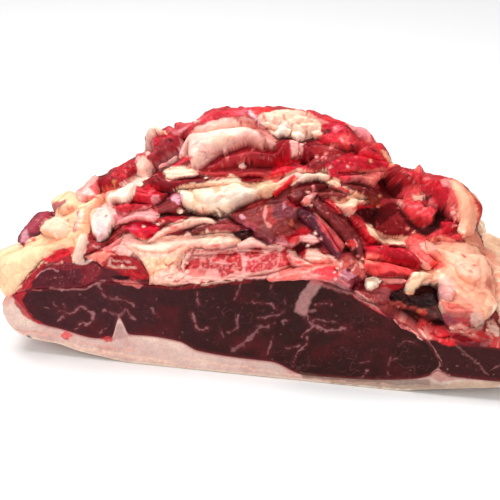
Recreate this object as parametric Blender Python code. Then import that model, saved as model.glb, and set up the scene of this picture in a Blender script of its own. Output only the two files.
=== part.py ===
"""Raw beef sirloin: one whole boned piece, cut across at the front and at the back.

A slab of white fat lies underneath, the dark lean muscles lie on it and show on both cuts, and
above the cuts the boned side climbs in torn folds of red meat with lumps and strips of fat on it.
X runs along the cut, Y from the front cut to the back cut, Z up. Sizes are in millimetres, and
MM turns them into metres.
"""

import math

import bpy
import numpy as np
from mathutils import Vector, noise

MM = 0.001

# Driving dimensions.
LENGTH = 360.0
DEPTH = 194.0
CAP_DEPTH_BACK = 0.92
GAP = 0.35
CUT_INSET = 0.3
CORE_UNDER = 6.0
CORE_FLOOR = 27.0
CORE_END = 166.0
CORE_STEP = 20.0
CLOSEST_COLUMNS = 3.6
SLAB_ROWS = 2
CORE_ROWS = 8
LUMP_ROUGH = 0.16
STRIP_ROUGH = 0.14
LUMP_SPACING = 17.0
STRIP_SPACING = 20.0
STRIP_SIDES = 6
BACK_FALL = 1.1
SHARP_ANGLE = math.radians(40)

FRONT = -DEPTH / 2
BACK = DEPTH / 2

# The back cut seen from above: it turns forward at both ends.
BACK_LINE = (
    (-180, 30), (-172, 55), (-155, 76), (-125, 90), (-60, 97), (70, 97), (125, 91), (155, 78),
    (172, 56), (180, 34),
)  # fmt: skip

# The front cut, as place along X and height, from the outside in.
CAP_UNDER = (
    (-180, 27), (-176, 19), (-168, 13), (-155, 10), (-143, 9), (-128, 5), (-108, 2), (-92, 0), (88, 0),
    (110, 3), (130, 6), (156, 10), (170, 14), (180, 19),
)  # fmt: skip
CAP_TOP = (
    (-180, 37), (-176, 43), (-172, 42), (-155, 24), (-139, 21), (-116, 16.6), (-104, 18), (-97.6, 34),
    (-91, 22), (-77, 22.4), (-56, 20.4), (-44, 15), (-16, 12.7), (6, 12.3), (28, 5), (59, 5.7), (99, 10),
    (110, 13.6), (115.5, 18.2), (124, 14.5), (155, 14.5), (168, 19), (176, 25), (180, 30),
)  # fmt: skip
EYE_TOP = (
    (-172, 43.6), (-154, 49.6), (-126, 53), (-110, 59), (-82, 60), (-55, 60), (-41, 65.5), (-24, 69.5),
    (2, 73), (32, 76), (42, 71), (55, 68.4), (67.5, 61), (82.5, 54), (94, 49.6), (103, 43), (109, 37),
    (116, 26), (119, 20.4),
)  # fmt: skip
EDGE_TOP = (
    (-172, 45), (-154, 66.5), (-139, 79), (-126, 83), (-119, 79), (-107, 82.5), (-95, 83), (-83, 77),
    (-74, 66), (-68, 62),
)  # fmt: skip
SIDE_TOP = ((103, 45.5), (112, 40.5), (127, 39.5), (153, 39), (167, 35), (176, 27.5))

LAYER_ENDS = {
    "fat_cap": (-LENGTH / 2, LENGTH / 2),
    "eye_muscle": (-171, 118),
    "edge_muscle": (-169, -69),
    "side_muscle": (105, 175),
}

# The boned side: height of its front edge, height and depth of its ridge, then its back edge.
SLOPE_FRONT = (
    (-180, 40), (-165, 55), (-150, 70), (-130, 82), (-105, 81), (-85, 68), (-60, 60), (-30, 67),
    (0, 72), (32, 76), (60, 67), (90, 51), (110, 42), (140, 40), (165, 34), (180, 24),
)  # fmt: skip
SLOPE_RIDGE = (
    (-180, 46), (-165, 72), (-140, 94), (-110, 111), (-90, 124), (-55, 139), (-20, 144), (20, 142),
    (45, 136), (58, 122), (78, 104), (105, 99), (125, 92), (137, 76), (150, 50), (168, 38), (180, 28),
)  # fmt: skip
RIDGE_PLACE = (
    (-180, -62), (-160, -48), (-110, -12), (-60, 2), (0, 6), (50, 4), (100, -4), (150, -20), (180, -30),
)  # fmt: skip

# Places where the boned side is hollow: along X, up the slope, half width, half rise, depth.
HOLLOWS = (
    ("roll_hollow", 80, 0.56, 21, 0.16, 17),
    ("corner_cavity", 94, 0.08, 20, 0.10, 18),
    ("flap_gap", 22, 0.12, 20, 0.06, 7),
    ("back_hollow", -20, 1.45, 30, 0.12, 9),
)  # fmt: skip

# Lumps: along X, up the slope (0 front edge, 1 ridge, 2 back edge), lift, turn in degrees, and
# half sizes along, up and out of the slope.
LUMPS = {
    "left_fat": (
        ("tip_lobe", -160, 0.20, 0, 10, 18, 21, 15),
        ("low_lobe", -150, 0.28, 0, 30, 17, 18, 14),
        ("mid_lobe", -141, 0.42, 0, 30, 16, 18, 14),
        ("peach_field", -122, 0.34, -4, 10, 18, 23, 12),
        ("outer_lobe", -161, 0.62, -3, 10, 15, 26, 13),
        ("nub", -121, 0.03, 3, -20, 6, 12, 7),
    ),
    "crown_fat": (
        ("crown", -38, 0.68, 1, -6, 33, 17, 15),
        ("crown_tail", -11, 0.63, 1, 25, 14, 9, 11),
        ("crown_back", -52, 0.86, 0, 10, 20, 12, 11),
    ),
    "centre_fat": (
        ("centre_left", -48, 0.33, 4, 0, 14, 10, 11),
        ("centre_mid", -31, 0.35, 4, 0, 16, 13, 13),
        ("centre_right", -8, 0.35, 4, -5, 18, 12, 12),
        ("centre_peak", -26, 0.42, 4, 0, 7, 7, 8),
        ("centre_low", -18, 0.28, 4, 0, 13, 6, 9),
        ("centre_tail", 12, 0.38, 3, -15, 12, 7, 9),
    ),
    "top_fat": (
        ("curd_a", -9, 0.82, 2, 0, 10, 11, 10),
        ("curd_b", 6, 0.84, 2, 0, 11, 12, 11),
        ("curd_c", 21, 0.80, 2, 0, 10, 11, 10),
        ("curd_d", 10, 0.68, 4, 0, 13, 8, 9),
        ("curd_f", 10, 1.02, 0, 0, 15, 12, 9),
    ),
    "inner_fat": (
        ("plate", -77, 0.10, -2, 0, 44, 18, 12),
        ("plate_top", -48, 0.18, 0, -4, 33, 9, 9),
        ("plate_ridge", -4, 0.15, 2, -2, 22, 6, 8),
    ),
    "marbled_layer": (
        ("window", -16, 0.07, 0, -6, 40, 12, 10),
        ("window_end", 13, 0.08, 0, -10, 22, 12, 9),
    ),
    "knuckle_fat": (
        ("knuckle", 59, 0.40, 8, 0, 11, 6, 7),
        ("knuckle_drop", 51, 0.33, 8, 0, 5, 7, 6),
    ),
    "corner_fat": (
        ("corner_top", 116, 0.37, 3, 10, 23, 14, 15),
        ("corner_out", 136, 0.42, 0, 0, 15, 24, 14),
        ("corner_bulge", 117, 0.19, 7, 10, 10, 13, 13),
        ("corner_low", 134, 0.20, 3, 0, 18, 13, 13),
        ("corner_pink", 101, 0.35, 3, 20, 12, 8, 11),
        ("corner_end", 156, 0.34, -2, 0, 13, 22, 11),
    ),
    "red_heart": (
        ("heart", 92, 0.53, 6, 20, 15, 14, 14),
    ),
    "back_fat_a": (
        ("back_plate_a", -70, 1.86, 0, 4, 44, 16, 12),
        ("back_plate_b", -25, 1.80, 0, -4, 30, 14, 11),
    ),
    "back_fat_b": (
        ("back_mid_a", 20, 1.42, 3, 10, 22, 15, 13),
        ("back_mid_b", 44, 1.36, 3, -10, 18, 13, 12),
    ),
    "back_fat_c": (
        ("back_end_a", 128, 1.40, 0, 0, 22, 22, 14),
        ("back_end_c", 110, 1.72, 1, 0, 22, 14, 12),
    ),
    "boned_side": (
        ("red_patch", -87, 0.20, 0, 0, 13, 9, 9),
        ("under_drip", -105, 0.08, -2, 0, 16, 9, 9),
        ("grain_b", 41, 0.74, 2, 0, 15, 12, 11),
        ("grain_c", 51, 0.88, 0, 0, 11, 15, 10),
        ("pink_patch", 57, 0.52, 3, 0, 15, 9, 9),
        ("dark_knob", 66, 0.54, 5, 0, 11, 9, 9),
        ("tangle_knob", 55, 0.10, 4, 0, 8, 7, 8),
        ("brown_mass", 70, 0.09, -2, 25, 16, 9, 8),
        ("torn_end", 146, 0.12, 0, -10, 16, 10, 9),
        ("ridge_left", -72, 1.02, -2, 0, 24, 16, 12),
        ("ridge_mid", -25, 1.05, -2, 0, 30, 14, 11),
        ("ridge_right", 92, 1.00, 0, 0, 26, 20, 12),
    ),
}  # fmt: skip

# Strips: width, thickness and lift, then their course as places along X and up the slope.
STRIPS = {
    "left_fat": (
        ("drip", 17, 13, 2, ((-98, 0.40), (-106, 0.27), (-110, 0.16), (-111, 0.04))),
        ("rim", 28, 24, -6, ((-166, -0.02), (-166, 0.5), (-166, 1.0), (-163, 1.5), (-152, 1.9))),
    ),
    "shoulder_band": (
        ("band", 18, 12, -3, ((-175, 0.40), (-167, 0.90), (-152, 1.02), (-136, 0.94))),
    ),
    "pink_flap": (("flap", 10, 6, 4, ((-105, 0.18), (-90, 0.25), (-75, 0.28))),),
    "twisted_band": (
        ("rope", 9, 7, 6, ((-78, 0.14), (-65, 0.21), (-44, 0.24), (-26, 0.21))),
    ),
    "red_roll": (
        ("roll", 21, 22, 2, ((-53, 0.52), (-32, 0.54), (-12, 0.55), (13, 0.58), (28, 0.60))),
    ),
    "cream_band": (("band", 9, 8, 5, ((12, 0.37), (31, 0.43), (52, 0.47))),),
    "coral_band": (("band", 13, 9, 1, ((13, 0.02), (31, 0.05), (52, 0.10))),),
    "brown_flap": (
        ("leaf", 33, 9, 9, ((-29, 0.21), (-12, 0.22), (7, 0.23), (28, 0.22))),
        ("leaf_tail", 13, 9, 10, ((17, 0.31), (31, 0.20), (46, 0.08))),
        ("leaf_right", 20, 10, 8, ((24, 0.34), (42, 0.32), (56, 0.26), (65, 0.12))),
        ("leaf_arc", 10, 8, 8, ((10, 0.32), (24, 0.36), (39, 0.39), (54, 0.38))),
    ),
    "crimson_roll": (
        ("upper", 16, 15, 4, ((60, 0.18), (80, 0.28), (96, 0.30), (111, 0.28))),
        ("lower", 12, 12, 5, ((60, 0.09), (81, 0.18), (103, 0.25))),
        ("shoulder", 9, 8, 3, ((52, 0.36), (66, 0.31), (82, 0.29))),
    ),
    "hollow_rim": (("rim", 8, 7, 4, ((68, 0.31), (83, 0.35), (97, 0.40))),),
    "shoulder_roll": (
        ("over", 22, 16, -2, ((70, 0.66), (86, 0.78), (104, 0.86), (118, 0.80))),
        ("cheek", 13, 11, 3, ((95, 0.66), (107, 0.63), (113, 0.52))),
        ("base", 11, 10, 4, ((86, 0.36), (103, 0.41), (120, 0.50))),
    ),
    "roll_fat": (
        ("crescent", 24, 20, 0, ((103, 0.84), (117, 0.84), (127, 0.72), (126, 0.56), (115, 0.45))),
        ("crescent_back", 22, 16, -1, ((110, 0.94), (118, 1.12), (112, 1.30))),
    ),
    "corner_prong": (("prong", 10, 9, 7, ((112, 0.30), (101, 0.21), (96, 0.11))),),
    "drop_nub": (("nub", 9, 9, 8, ((78, 0.12), (72, 0.05), (69, -0.01))),),
    "end_fat": (("rim", 27, 23, -4, ((163, 0.40), (164, 0.9), (162, 1.4), (151, 1.88))),),
    "back_band": (
        ("upper", 18, 13, 2, ((-110, 1.50), (-60, 1.42), (-10, 1.46), (30, 1.62))),
        ("lower", 14, 11, 2, ((30, 1.70), (66, 1.66), (96, 1.52))),
    ),
    "boned_side": (
        ("dark_shoulder", 24, 15, -2, ((-128, 0.76), (-110, 0.77), (-92, 0.80))),
        ("upper_left", 24, 16, 0, ((-88, 0.57), (-82, 0.77), (-69, 0.90), (-50, 0.98))),
        ("fold_a", 14, 12, 2, ((-107, 0.32), (-93, 0.43), (-78, 0.48), (-59, 0.48))),
        ("fold_b", 12, 12, 2, ((-96, 0.28), (-81, 0.37), (-64, 0.41))),
        ("long_band", 16, 14, 2, ((-80, 0.42), (-52, 0.46), (-21, 0.45), (9, 0.45), (37, 0.48))),
        ("wet_band", 25, 18, 1, ((12, 0.49), (34, 0.54), (54, 0.63), (77, 0.78))),
        ("side_band", 22, 15, -3, ((52, 0.86), (66, 0.90), (84, 0.84))),
        ("low_fringe", 10, 7, 5, ((2, 0.13), (20, 0.15), (38, 0.14))),
        ("maroon_folds", 12, 8, 1, ((-64, 0.20), (-43, 0.22), (-18, 0.19))),
        ("back_fold_a", 26, 15, 1, ((-120, 1.22), (-70, 1.20), (-20, 1.26), (20, 1.20))),
        ("back_fold_b", 22, 14, 1, ((20, 1.16), (60, 1.20), (100, 1.28))),
        ("back_fold_c", 20, 13, 1, ((-130, 1.70), (-95, 1.62), (-50, 1.62))),
        ("back_fold_d", 20, 13, 1, ((48, 1.52), (80, 1.42), (108, 1.50))),
    ),
}  # fmt: skip

# Nodes in the order they are made: each one is cut back where an earlier one already stands.
NODES = (
    ("inner_fat", "peach_fat"),
    ("marbled_layer", "marbled_lean"),
    ("back_fat_a", "peach_fat"),
    ("left_fat", "peach_fat"),
    ("crown_fat", "cream_fat"),
    ("centre_fat", "cream_fat"),
    ("top_fat", "cream_fat"),
    ("corner_fat", "cream_fat"),
    ("roll_fat", "cream_fat"),
    ("back_fat_b", "cream_fat"),
    ("back_fat_c", "cream_fat"),
    ("end_fat", "peach_fat"),
    ("brown_flap", "brown_lean"),
    ("knuckle_fat", "cream_fat"),
    ("red_roll", "bright_lean"),
    ("shoulder_roll", "bright_lean"),
    ("red_heart", "bright_lean"),
    ("crimson_roll", "bright_lean"),
    ("hollow_rim", "cream_fat"),
    ("corner_prong", "cream_fat"),
    ("drop_nub", "cream_fat"),
    ("cream_band", "pink_fat"),
    ("coral_band", "pink_fat"),
    ("twisted_band", "pink_fat"),
    ("pink_flap", "pink_fat"),
    ("shoulder_band", "dark_lean"),
    ("back_band", "bright_lean"),
    ("boned_side", "bright_lean"),
)  # fmt: skip

# Colours in linear light and roughness.
LOOKS = {
    "cap_fat": ((0.72, 0.50, 0.38), 0.45),
    "dark_lean": ((0.085, 0.012, 0.015), 0.38),
    "bright_lean": ((0.42, 0.025, 0.035), 0.35),
    "brown_lean": ((0.19, 0.035, 0.035), 0.38),
    "marbled_lean": ((0.55, 0.13, 0.12), 0.40),
    "pink_fat": ((0.80, 0.36, 0.30), 0.42),
    "peach_fat": ((0.88, 0.58, 0.42), 0.42),
    "cream_fat": ((0.92, 0.78, 0.62), 0.42),
}


def curve(stations, x):
    """Height at x on the smooth line through the stations, with no overshoot between them."""
    xs, zs = np.array(stations, float).T
    width = np.diff(xs)
    rise = np.diff(zs) / width
    slope = np.zeros(len(xs))
    both = rise[:-1] + rise[1:]
    same = rise[:-1] * rise[1:] > 0
    slope[1:-1][same] = (2 * rise[:-1] * rise[1:])[same] / both[same]
    slope[0] = rise[0]
    slope[-1] = rise[-1]
    x = np.clip(x, xs[0], xs[-1])
    i = np.clip(np.searchsorted(xs, x, side="right") - 1, 0, len(width) - 1)
    t = (x - xs[i]) / width[i]
    low = (2 * t**3 - 3 * t**2 + 1) * zs[i] + (t**3 - 2 * t**2 + t) * width[i] * slope[i]
    high = (3 * t**2 - 2 * t**3) * zs[i + 1] + (t**3 - t**2) * width[i] * slope[i + 1]
    return low + high


def back_y(x):
    return curve(BACK_LINE, x)


def cut_height(stations, x, y):
    """Height of a layer at x and y: the front cut's line, a little lower and longer at the back."""
    back = np.clip((y - FRONT) / DEPTH, 0, 1)
    lowered = 1 - (1 - CAP_DEPTH_BACK) * back
    return curve(stations, x * (1 + 0.04 * back)) * lowered


def slope_point(x, s, lift=0.0):
    """Place on the boned side. s is 0 at the front edge, 1 at the ridge and 2 at the back edge."""
    s = np.clip(s, -0.08, 2.05)
    ridge_y = curve(RIDGE_PLACE, x)
    ridge_z = curve(SLOPE_RIDGE, x)
    front_z = curve(SLOPE_FRONT, x)
    back_z = cut_height(SLOPE_FRONT, x, back_y(x))
    front = s <= 1
    past = np.maximum(s - 1, 0)
    y = np.where(front, FRONT + s * (ridge_y - FRONT), ridge_y + past * (back_y(x) - ridge_y))
    up = front_z + (ridge_z - front_z) * np.sin(math.pi / 2 * np.minimum(s, 1))
    down = back_z + (ridge_z - back_z) * (1 - past**BACK_FALL)
    return np.stack([x, y, np.where(front, up, down) + lift], -1)


def slope_axes(x, s):
    """Unit directions along, up and out of the boned side."""
    x = np.asarray(x, float)
    s = np.asarray(s, float)
    along = slope_point(x + 2, s) - slope_point(x - 2, s)
    rising = slope_point(x, s + 0.02) - slope_point(x, s - 0.02)
    along = along / np.linalg.norm(along, axis=-1, keepdims=True)
    out = np.cross(along, rising)
    out = out / np.linalg.norm(out, axis=-1, keepdims=True)
    return along, np.cross(out, along), out


def rough(points, size, seed):
    """Smooth noise from -1 to 1 at each point, with bumps about this size."""
    shift = Vector((seed * 17.3, seed * 5.1, seed * 9.7))
    return np.array([noise.noise(Vector(p) / size + shift) for p in points.tolist()])


def add_mesh(name, points, faces, hidden=False):
    mesh = bpy.data.meshes.new(name)
    mesh.from_pydata((points * MM).tolist(), [], faces)
    mesh.update()
    obj = bpy.data.objects.new(name, mesh)
    bpy.context.scene.collection.objects.link(obj)
    obj.hide_render = hidden
    if hidden:
        obj.display_type = "WIRE"
    return obj


def paint(obj, look):
    """Gives the object a material of its own in one of the named looks, and smooth shading."""
    colour, roughness = LOOKS[look]
    made = bpy.data.materials.new(obj.name)
    made.use_nodes = True
    shader = made.node_tree.nodes["Principled BSDF"]
    shader.inputs["Base Color"].default_value = (*colour, 1)
    shader.inputs["Roughness"].default_value = roughness
    made.diffuse_color = (*colour, 1)
    obj.data.materials.clear()
    obj.data.materials.append(made)
    obj.data.shade_smooth()
    obj.data.set_sharp_from_angle(angle=SHARP_ANGLE)


def ring_faces(rings, sides, first, last):
    """Faces of a tube of rings with a point at each end."""
    faces = []
    for i in range(sides):
        j = (i + 1) % sides
        faces.append((first, j, i))
        for r in range(rings - 1):
            a = r * sides
            faces.append((a + i, a + j, a + sides + j))
            faces.append((a + i, a + sides + j, a + sides + i))
        end = (rings - 1) * sides
        faces.append((end + i, end + j, last))
    return faces


def lump(name, seed, spec, grow=0.0, hidden=False):
    """Rounded lump of fat or meat lying on the boned side."""
    x, s, lift, turn, along_half, up_half, out_half = spec
    girth = math.pi * (along_half + up_half)
    sides = max(7, round(girth / LUMP_SPACING))
    rings = max(3, round(sides * 0.45))
    along, up, out = slope_axes(x, s)
    turned = math.radians(turn)
    first = along * math.cos(turned) + up * math.sin(turned)
    second = up * math.cos(turned) - along * math.sin(turned)
    around = np.arange(sides) * 2 * math.pi / sides
    down = (np.arange(rings) + 1) * math.pi / (rings + 1)
    unit = [
        (math.sin(d) * math.cos(a), math.sin(d) * math.sin(a), math.cos(d)) for d in down for a in around
    ]
    unit = np.array(unit + [(0, 0, 1), (0, 0, -1)])
    size = min(along_half, up_half, out_half)
    bumps = 1 + LUMP_ROUGH * rough(unit * (along_half, up_half, out_half), 0.75 * size, seed)
    local = unit * bumps[:, None] * (along_half + grow, up_half + grow, out_half + grow)
    centre = slope_point(x, s) + out * lift
    points = centre + local[:, :1] * first + local[:, 1:2] * second + local[:, 2:] * out
    faces = ring_faces(rings, sides, rings * sides, rings * sides + 1)
    return add_mesh(name, points, [face[::-1] for face in faces], hidden)


def strip(name, seed, spec, grow=0.0, hidden=False):
    """Strip of meat or fat that follows a course over the boned side and thins at its ends."""
    width, thick, lift, course = spec
    course = np.array(course, float)
    places = slope_point(course[:, 0], course[:, 1])
    reach = np.concatenate([[0], np.cumsum(np.linalg.norm(np.diff(places, axis=0), axis=1))])
    count = max(4, round(reach[-1] / STRIP_SPACING) + 1)
    t = np.linspace(0, reach[-1], count)
    x = curve(np.stack([reach, course[:, 0]], 1), t)
    s = curve(np.stack([reach, course[:, 1]], 1), t)
    along, up, out = slope_axes(x, s)
    middle = slope_point(x, s) + out * lift
    ahead = np.gradient(middle, axis=0)
    ahead /= np.linalg.norm(ahead, axis=1, keepdims=True)
    across = np.cross(out, ahead)
    across /= np.linalg.norm(across, axis=1, keepdims=True)
    over = np.cross(ahead, across)
    end = np.minimum(t, reach[-1] - t) / (0.6 * width)
    taper = np.sqrt(np.clip(0.3 + end * 1.4, 0, 1))
    around = np.arange(STRIP_SIDES) * 2 * math.pi / STRIP_SIDES
    points = []
    for i in range(count):
        wide = (width / 2) * taper[i] + grow
        high = (thick / 2) * taper[i] + grow
        for a in around:
            points.append(middle[i] + across[i] * wide * math.cos(a) + over[i] * high * math.sin(a))
    tip = 0.22 * width + grow
    points.append(middle[0] - ahead[0] * tip)
    points.append(middle[-1] + ahead[-1] * tip)
    points = np.array(points)
    centres = np.concatenate([np.repeat(middle, STRIP_SIDES, axis=0), middle[[0, -1]]])
    bumps = STRIP_ROUGH * rough(points, 0.6 * width, seed)
    points = points + (points - centres) * bumps[:, None]
    faces = ring_faces(count, STRIP_SIDES, len(points) - 2, len(points) - 1)
    return add_mesh(name, points, faces, hidden)


def shared_columns():
    """Places along X for the columns of every layer, so that neighbours meet on the same facets."""
    lines = (CAP_UNDER, CAP_TOP, EYE_TOP, EDGE_TOP, SIDE_TOP)
    ends = [x for pair in LAYER_ENDS.values() for x in pair]
    xs = sorted(ends)
    for line in lines:
        for x, _z in line:
            if min(abs(x - other) for other in xs) >= CLOSEST_COLUMNS:
                xs.append(x)
    return sorted(xs)


def slab(name, xs, top, bottom, rows, inset=0.0, grow=0.0, hidden=False):
    """Layer between two heights, running from the front cut to the back cut."""
    columns = len(xs) - 1
    held = np.repeat(np.array(xs, float), rows + 1)
    run = np.tile(np.linspace(0, 1, rows + 1), columns + 1)
    near = FRONT + inset
    y = near + run * (back_y(held) - inset - near)
    high = top(held, y) + grow
    low = bottom(held, y) - grow
    x = held + np.where(held == xs[0], -grow, 0) + np.where(held == xs[-1], grow, 0)
    y = y + np.where(run == 0, -grow, 0) + np.where(run == 1, grow, 0)
    points = np.concatenate([np.stack([x, y, high], 1), np.stack([x, y, low], 1)])
    across = rows + 1
    total = len(x)
    faces = []
    for i in range(columns):
        for j in range(rows):
            a = i * across + j
            b = a + across
            faces += [(a, b, b + 1), (a, b + 1, a + 1)]
            faces += [(total + a, total + b + 1, total + b), (total + a, total + a + 1, total + b + 1)]
    for i in range(columns):
        a = i * across
        b = a + across
        faces.append((a, total + a, total + b, b))
        faces.append((a + rows, b + rows, total + b + rows, total + a + rows))
    last = columns * across
    for j in range(rows):
        faces.append((j, j + 1, total + j + 1, total + j))
        faces.append((last + j, total + last + j, total + last + j + 1, last + j + 1))
    return add_mesh(name, points, faces, hidden)


def cap_top(x, y):
    return cut_height(CAP_TOP, x, y)


def cap_under(x, y):
    return cut_height(CAP_UNDER, x, y)


def eye_top(x, y):
    return cut_height(EYE_TOP, x, y)


def above(surface):
    """The underside that leaves the gap over this surface."""

    def lifted(x, y):
        return surface(x, y) + GAP

    return lifted


def edge_top(x, y):
    return np.maximum(cut_height(EDGE_TOP, x, y), eye_top(x, y) + 2 * GAP)


def side_under(x, y):
    over_eye = x <= LAYER_ENDS["eye_muscle"][1]
    return np.maximum(np.where(over_eye, eye_top(x, y), 0), cap_top(x, y)) + GAP


def side_top(x, y):
    return np.maximum(cut_height(SIDE_TOP, x, y), side_under(x, y) + GAP)


def core_floor(x, y):
    return np.full(np.shape(x), CORE_FLOOR)


def core_top(x, y):
    """Top of the meat that the folds lie on: below the slope, and deeper in its hollows."""
    ridge_y = curve(RIDGE_PLACE, x)
    rising = (y - FRONT) / (ridge_y - FRONT)
    s = np.where(y <= ridge_y, rising, 1 + (y - ridge_y) / (back_y(x) - ridge_y))
    height = slope_point(x, s)[..., 2] - CORE_UNDER
    for _name, at_x, at_s, half_x, half_s, deep in HOLLOWS:
        height = height - deep * np.exp(-(((x - at_x) / half_x) ** 2) - ((s - at_s) / half_s) ** 2)
    return np.maximum(height, CORE_FLOOR + 2)


def slabs(grow=0.0, hidden=False):
    """The four layers that show on the cuts."""
    surfaces = {
        "fat_cap": (cap_top, cap_under),
        "eye_muscle": (eye_top, above(cap_top)),
        "edge_muscle": (edge_top, above(eye_top)),
        "side_muscle": (side_top, side_under),
    }
    columns = shared_columns()
    made = []
    for name, (top, under) in surfaces.items():
        left, right = LAYER_ENDS[name]
        xs = [x for x in columns if left <= x <= right]
        title = name + ("_grown" if hidden else "")
        made.append(slab(title, xs, top, under, SLAB_ROWS, 0, grow, hidden))
    return made


def end_blocks():
    """Blocks in front of the front cut and behind the back cut, which trim what lies on the slope."""
    wide = LENGTH
    deep = 60.0
    tall = 260.0
    blocks = []
    for name, near in (("front_block", FRONT + CUT_INSET - deep), ("back_block", BACK - CUT_INSET)):
        corners = [(x, y, z) for x in (-wide, wide) for y in (near, near + deep) for z in (-50, tall)]
        faces = [(0, 1, 3, 2), (4, 6, 7, 5), (0, 4, 5, 1), (2, 3, 7, 6), (0, 2, 6, 4), (1, 5, 7, 3)]
        blocks.append(add_mesh(name, np.array(corners, float), faces, hidden=True))
    return blocks


def pieces(node, order, grow=0.0, hidden=False):
    """The lumps and strips of a node."""
    made = []
    for i, (name, *spec) in enumerate(LUMPS.get(node, ())):
        made.append(lump(f"{node}_{name}", order * 31 + i, spec, grow, hidden))
    for i, (name, *spec) in enumerate(STRIPS.get(node, ())):
        made.append(strip(f"{node}_{name}", order * 31 + 15 + i, spec, grow, hidden))
    if node == "boned_side":
        xs = np.linspace(-CORE_END, CORE_END, round(2 * CORE_END / CORE_STEP) + 1)
        core = slab("boned_core", xs, core_top, core_floor, CORE_ROWS, CUT_INSET)
        made.insert(0, core)
    return made


def collected(name, objects):
    group = bpy.data.collections.new(name)
    for obj in objects:
        group.objects.link(obj)
    return group


def combine(obj, operation, group):
    """Applies one Boolean between the object and every object of the group."""
    modifier = obj.modifiers.new(operation.lower(), "BOOLEAN")
    modifier.operation = operation
    modifier.operand_type = "COLLECTION"
    modifier.collection = group
    modifier.solver = "MANIFOLD"
    graph = bpy.context.evaluated_depsgraph_get()
    result = bpy.data.meshes.new_from_object(obj.evaluated_get(graph))
    obj.modifiers.clear()
    obj.data = result


def biggest_body(mesh):
    """Drops the loose scraps and inner shells: keeps the triangles of the body with the most volume."""
    mesh.calc_loop_triangles()
    triangles = [tuple(triangle.vertices) for triangle in mesh.loop_triangles]
    owner = list(range(len(triangles)))

    def root(i):
        while owner[i] != i:
            owner[i] = owner[owner[i]]
            i = owner[i]
        return i

    beside = {}
    for i, (a, b, c) in enumerate(triangles):
        for edge in ((a, b), (b, c), (c, a)):
            beside.setdefault(tuple(sorted(edge)), []).append(i)
    for shared in beside.values():
        if len(shared) == 2:
            owner[root(shared[0])] = root(shared[1])
    volume = {}
    for i, corners in enumerate(triangles):
        a, b, c = (mesh.vertices[k].co for k in corners)
        volume[root(i)] = volume.get(root(i), 0.0) + a.dot(b.cross(c))
    kept = max(volume, key=volume.get)
    faces = [corners for i, corners in enumerate(triangles) if root(i) == kept]
    used = sorted({k for corners in faces for k in corners})
    place = {k: n for n, k in enumerate(used)}
    clean = bpy.data.meshes.new(mesh.name)
    points = [tuple(mesh.vertices[k].co) for k in used]
    clean.from_pydata(points, [], [[place[k] for k in corners] for corners in faces])
    clean.update()
    return clean


def remove(objects):
    for obj in objects:
        bpy.data.objects.remove(obj, do_unlink=True)


def build():
    remove(list(bpy.data.objects))
    layers = slabs()
    for obj in layers:
        paint(obj, "cap_fat" if obj.name == "fat_cap" else "dark_lean")
    cutters = list(slabs(GAP, hidden=True)) + end_blocks()
    for order, (node, look) in enumerate(NODES):
        parts = pieces(node, order)
        body = parts[0]
        body.name = node
        if len(parts) > 1:
            combine(body, "UNION", collected(node + "_parts", parts[1:]))
        remove(parts[1:])
        combine(body, "DIFFERENCE", collected(node + "_cutters", cutters))
        body.data = biggest_body(body.data)
        body.data.name = node
        paint(body, look)
        if node != "boned_side":
            cutters += pieces(node, order, GAP, hidden=True)
    remove(cutters)


build()
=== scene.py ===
"""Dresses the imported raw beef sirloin: cut faces, torn lean, fat, floor, light and camera.

Lengths are millimetres until a mesh is made. The boned side is a grid of points, and every piece of
fat or lean is laid on it in order, so each one rests on what was laid before it. An outline is given
in the front picture, 500 by 500, and lands on whatever the eye sees there.
"""

import math

import bpy
import numpy as np
from mathutils import Matrix, Vector
from mathutils.geometry import tessellate_polygon


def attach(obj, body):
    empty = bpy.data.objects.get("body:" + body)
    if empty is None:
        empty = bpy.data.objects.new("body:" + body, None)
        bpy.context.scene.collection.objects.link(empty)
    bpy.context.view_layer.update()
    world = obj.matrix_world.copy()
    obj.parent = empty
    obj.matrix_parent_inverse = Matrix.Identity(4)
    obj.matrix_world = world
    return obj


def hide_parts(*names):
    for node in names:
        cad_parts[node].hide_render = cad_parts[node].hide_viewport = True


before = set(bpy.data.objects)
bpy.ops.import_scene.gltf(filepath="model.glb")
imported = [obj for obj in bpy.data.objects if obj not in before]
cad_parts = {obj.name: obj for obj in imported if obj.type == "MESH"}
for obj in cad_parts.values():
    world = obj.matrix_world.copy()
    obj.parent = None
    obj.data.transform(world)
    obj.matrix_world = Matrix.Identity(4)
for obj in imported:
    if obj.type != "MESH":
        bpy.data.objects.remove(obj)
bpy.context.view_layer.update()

bl_info = {
    "name": "Raw Beef Sirloin",
    "version": (1, 0, 0),
    "blender": (4, 5, 0),
    "location": "View3D > Sidebar > Sirloin",
    "description": "Builds the cut faces, torn lean and fat of a whole boned beef sirloin",
    "category": "Object",
}

MM = 0.001

# ---------------------------------------------------------------- sizes shared with the solids
DEPTH = 194.0
FRONT = -DEPTH / 2
CAP_DEPTH_BACK = 0.92
CORE_UNDER = 3.0

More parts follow.
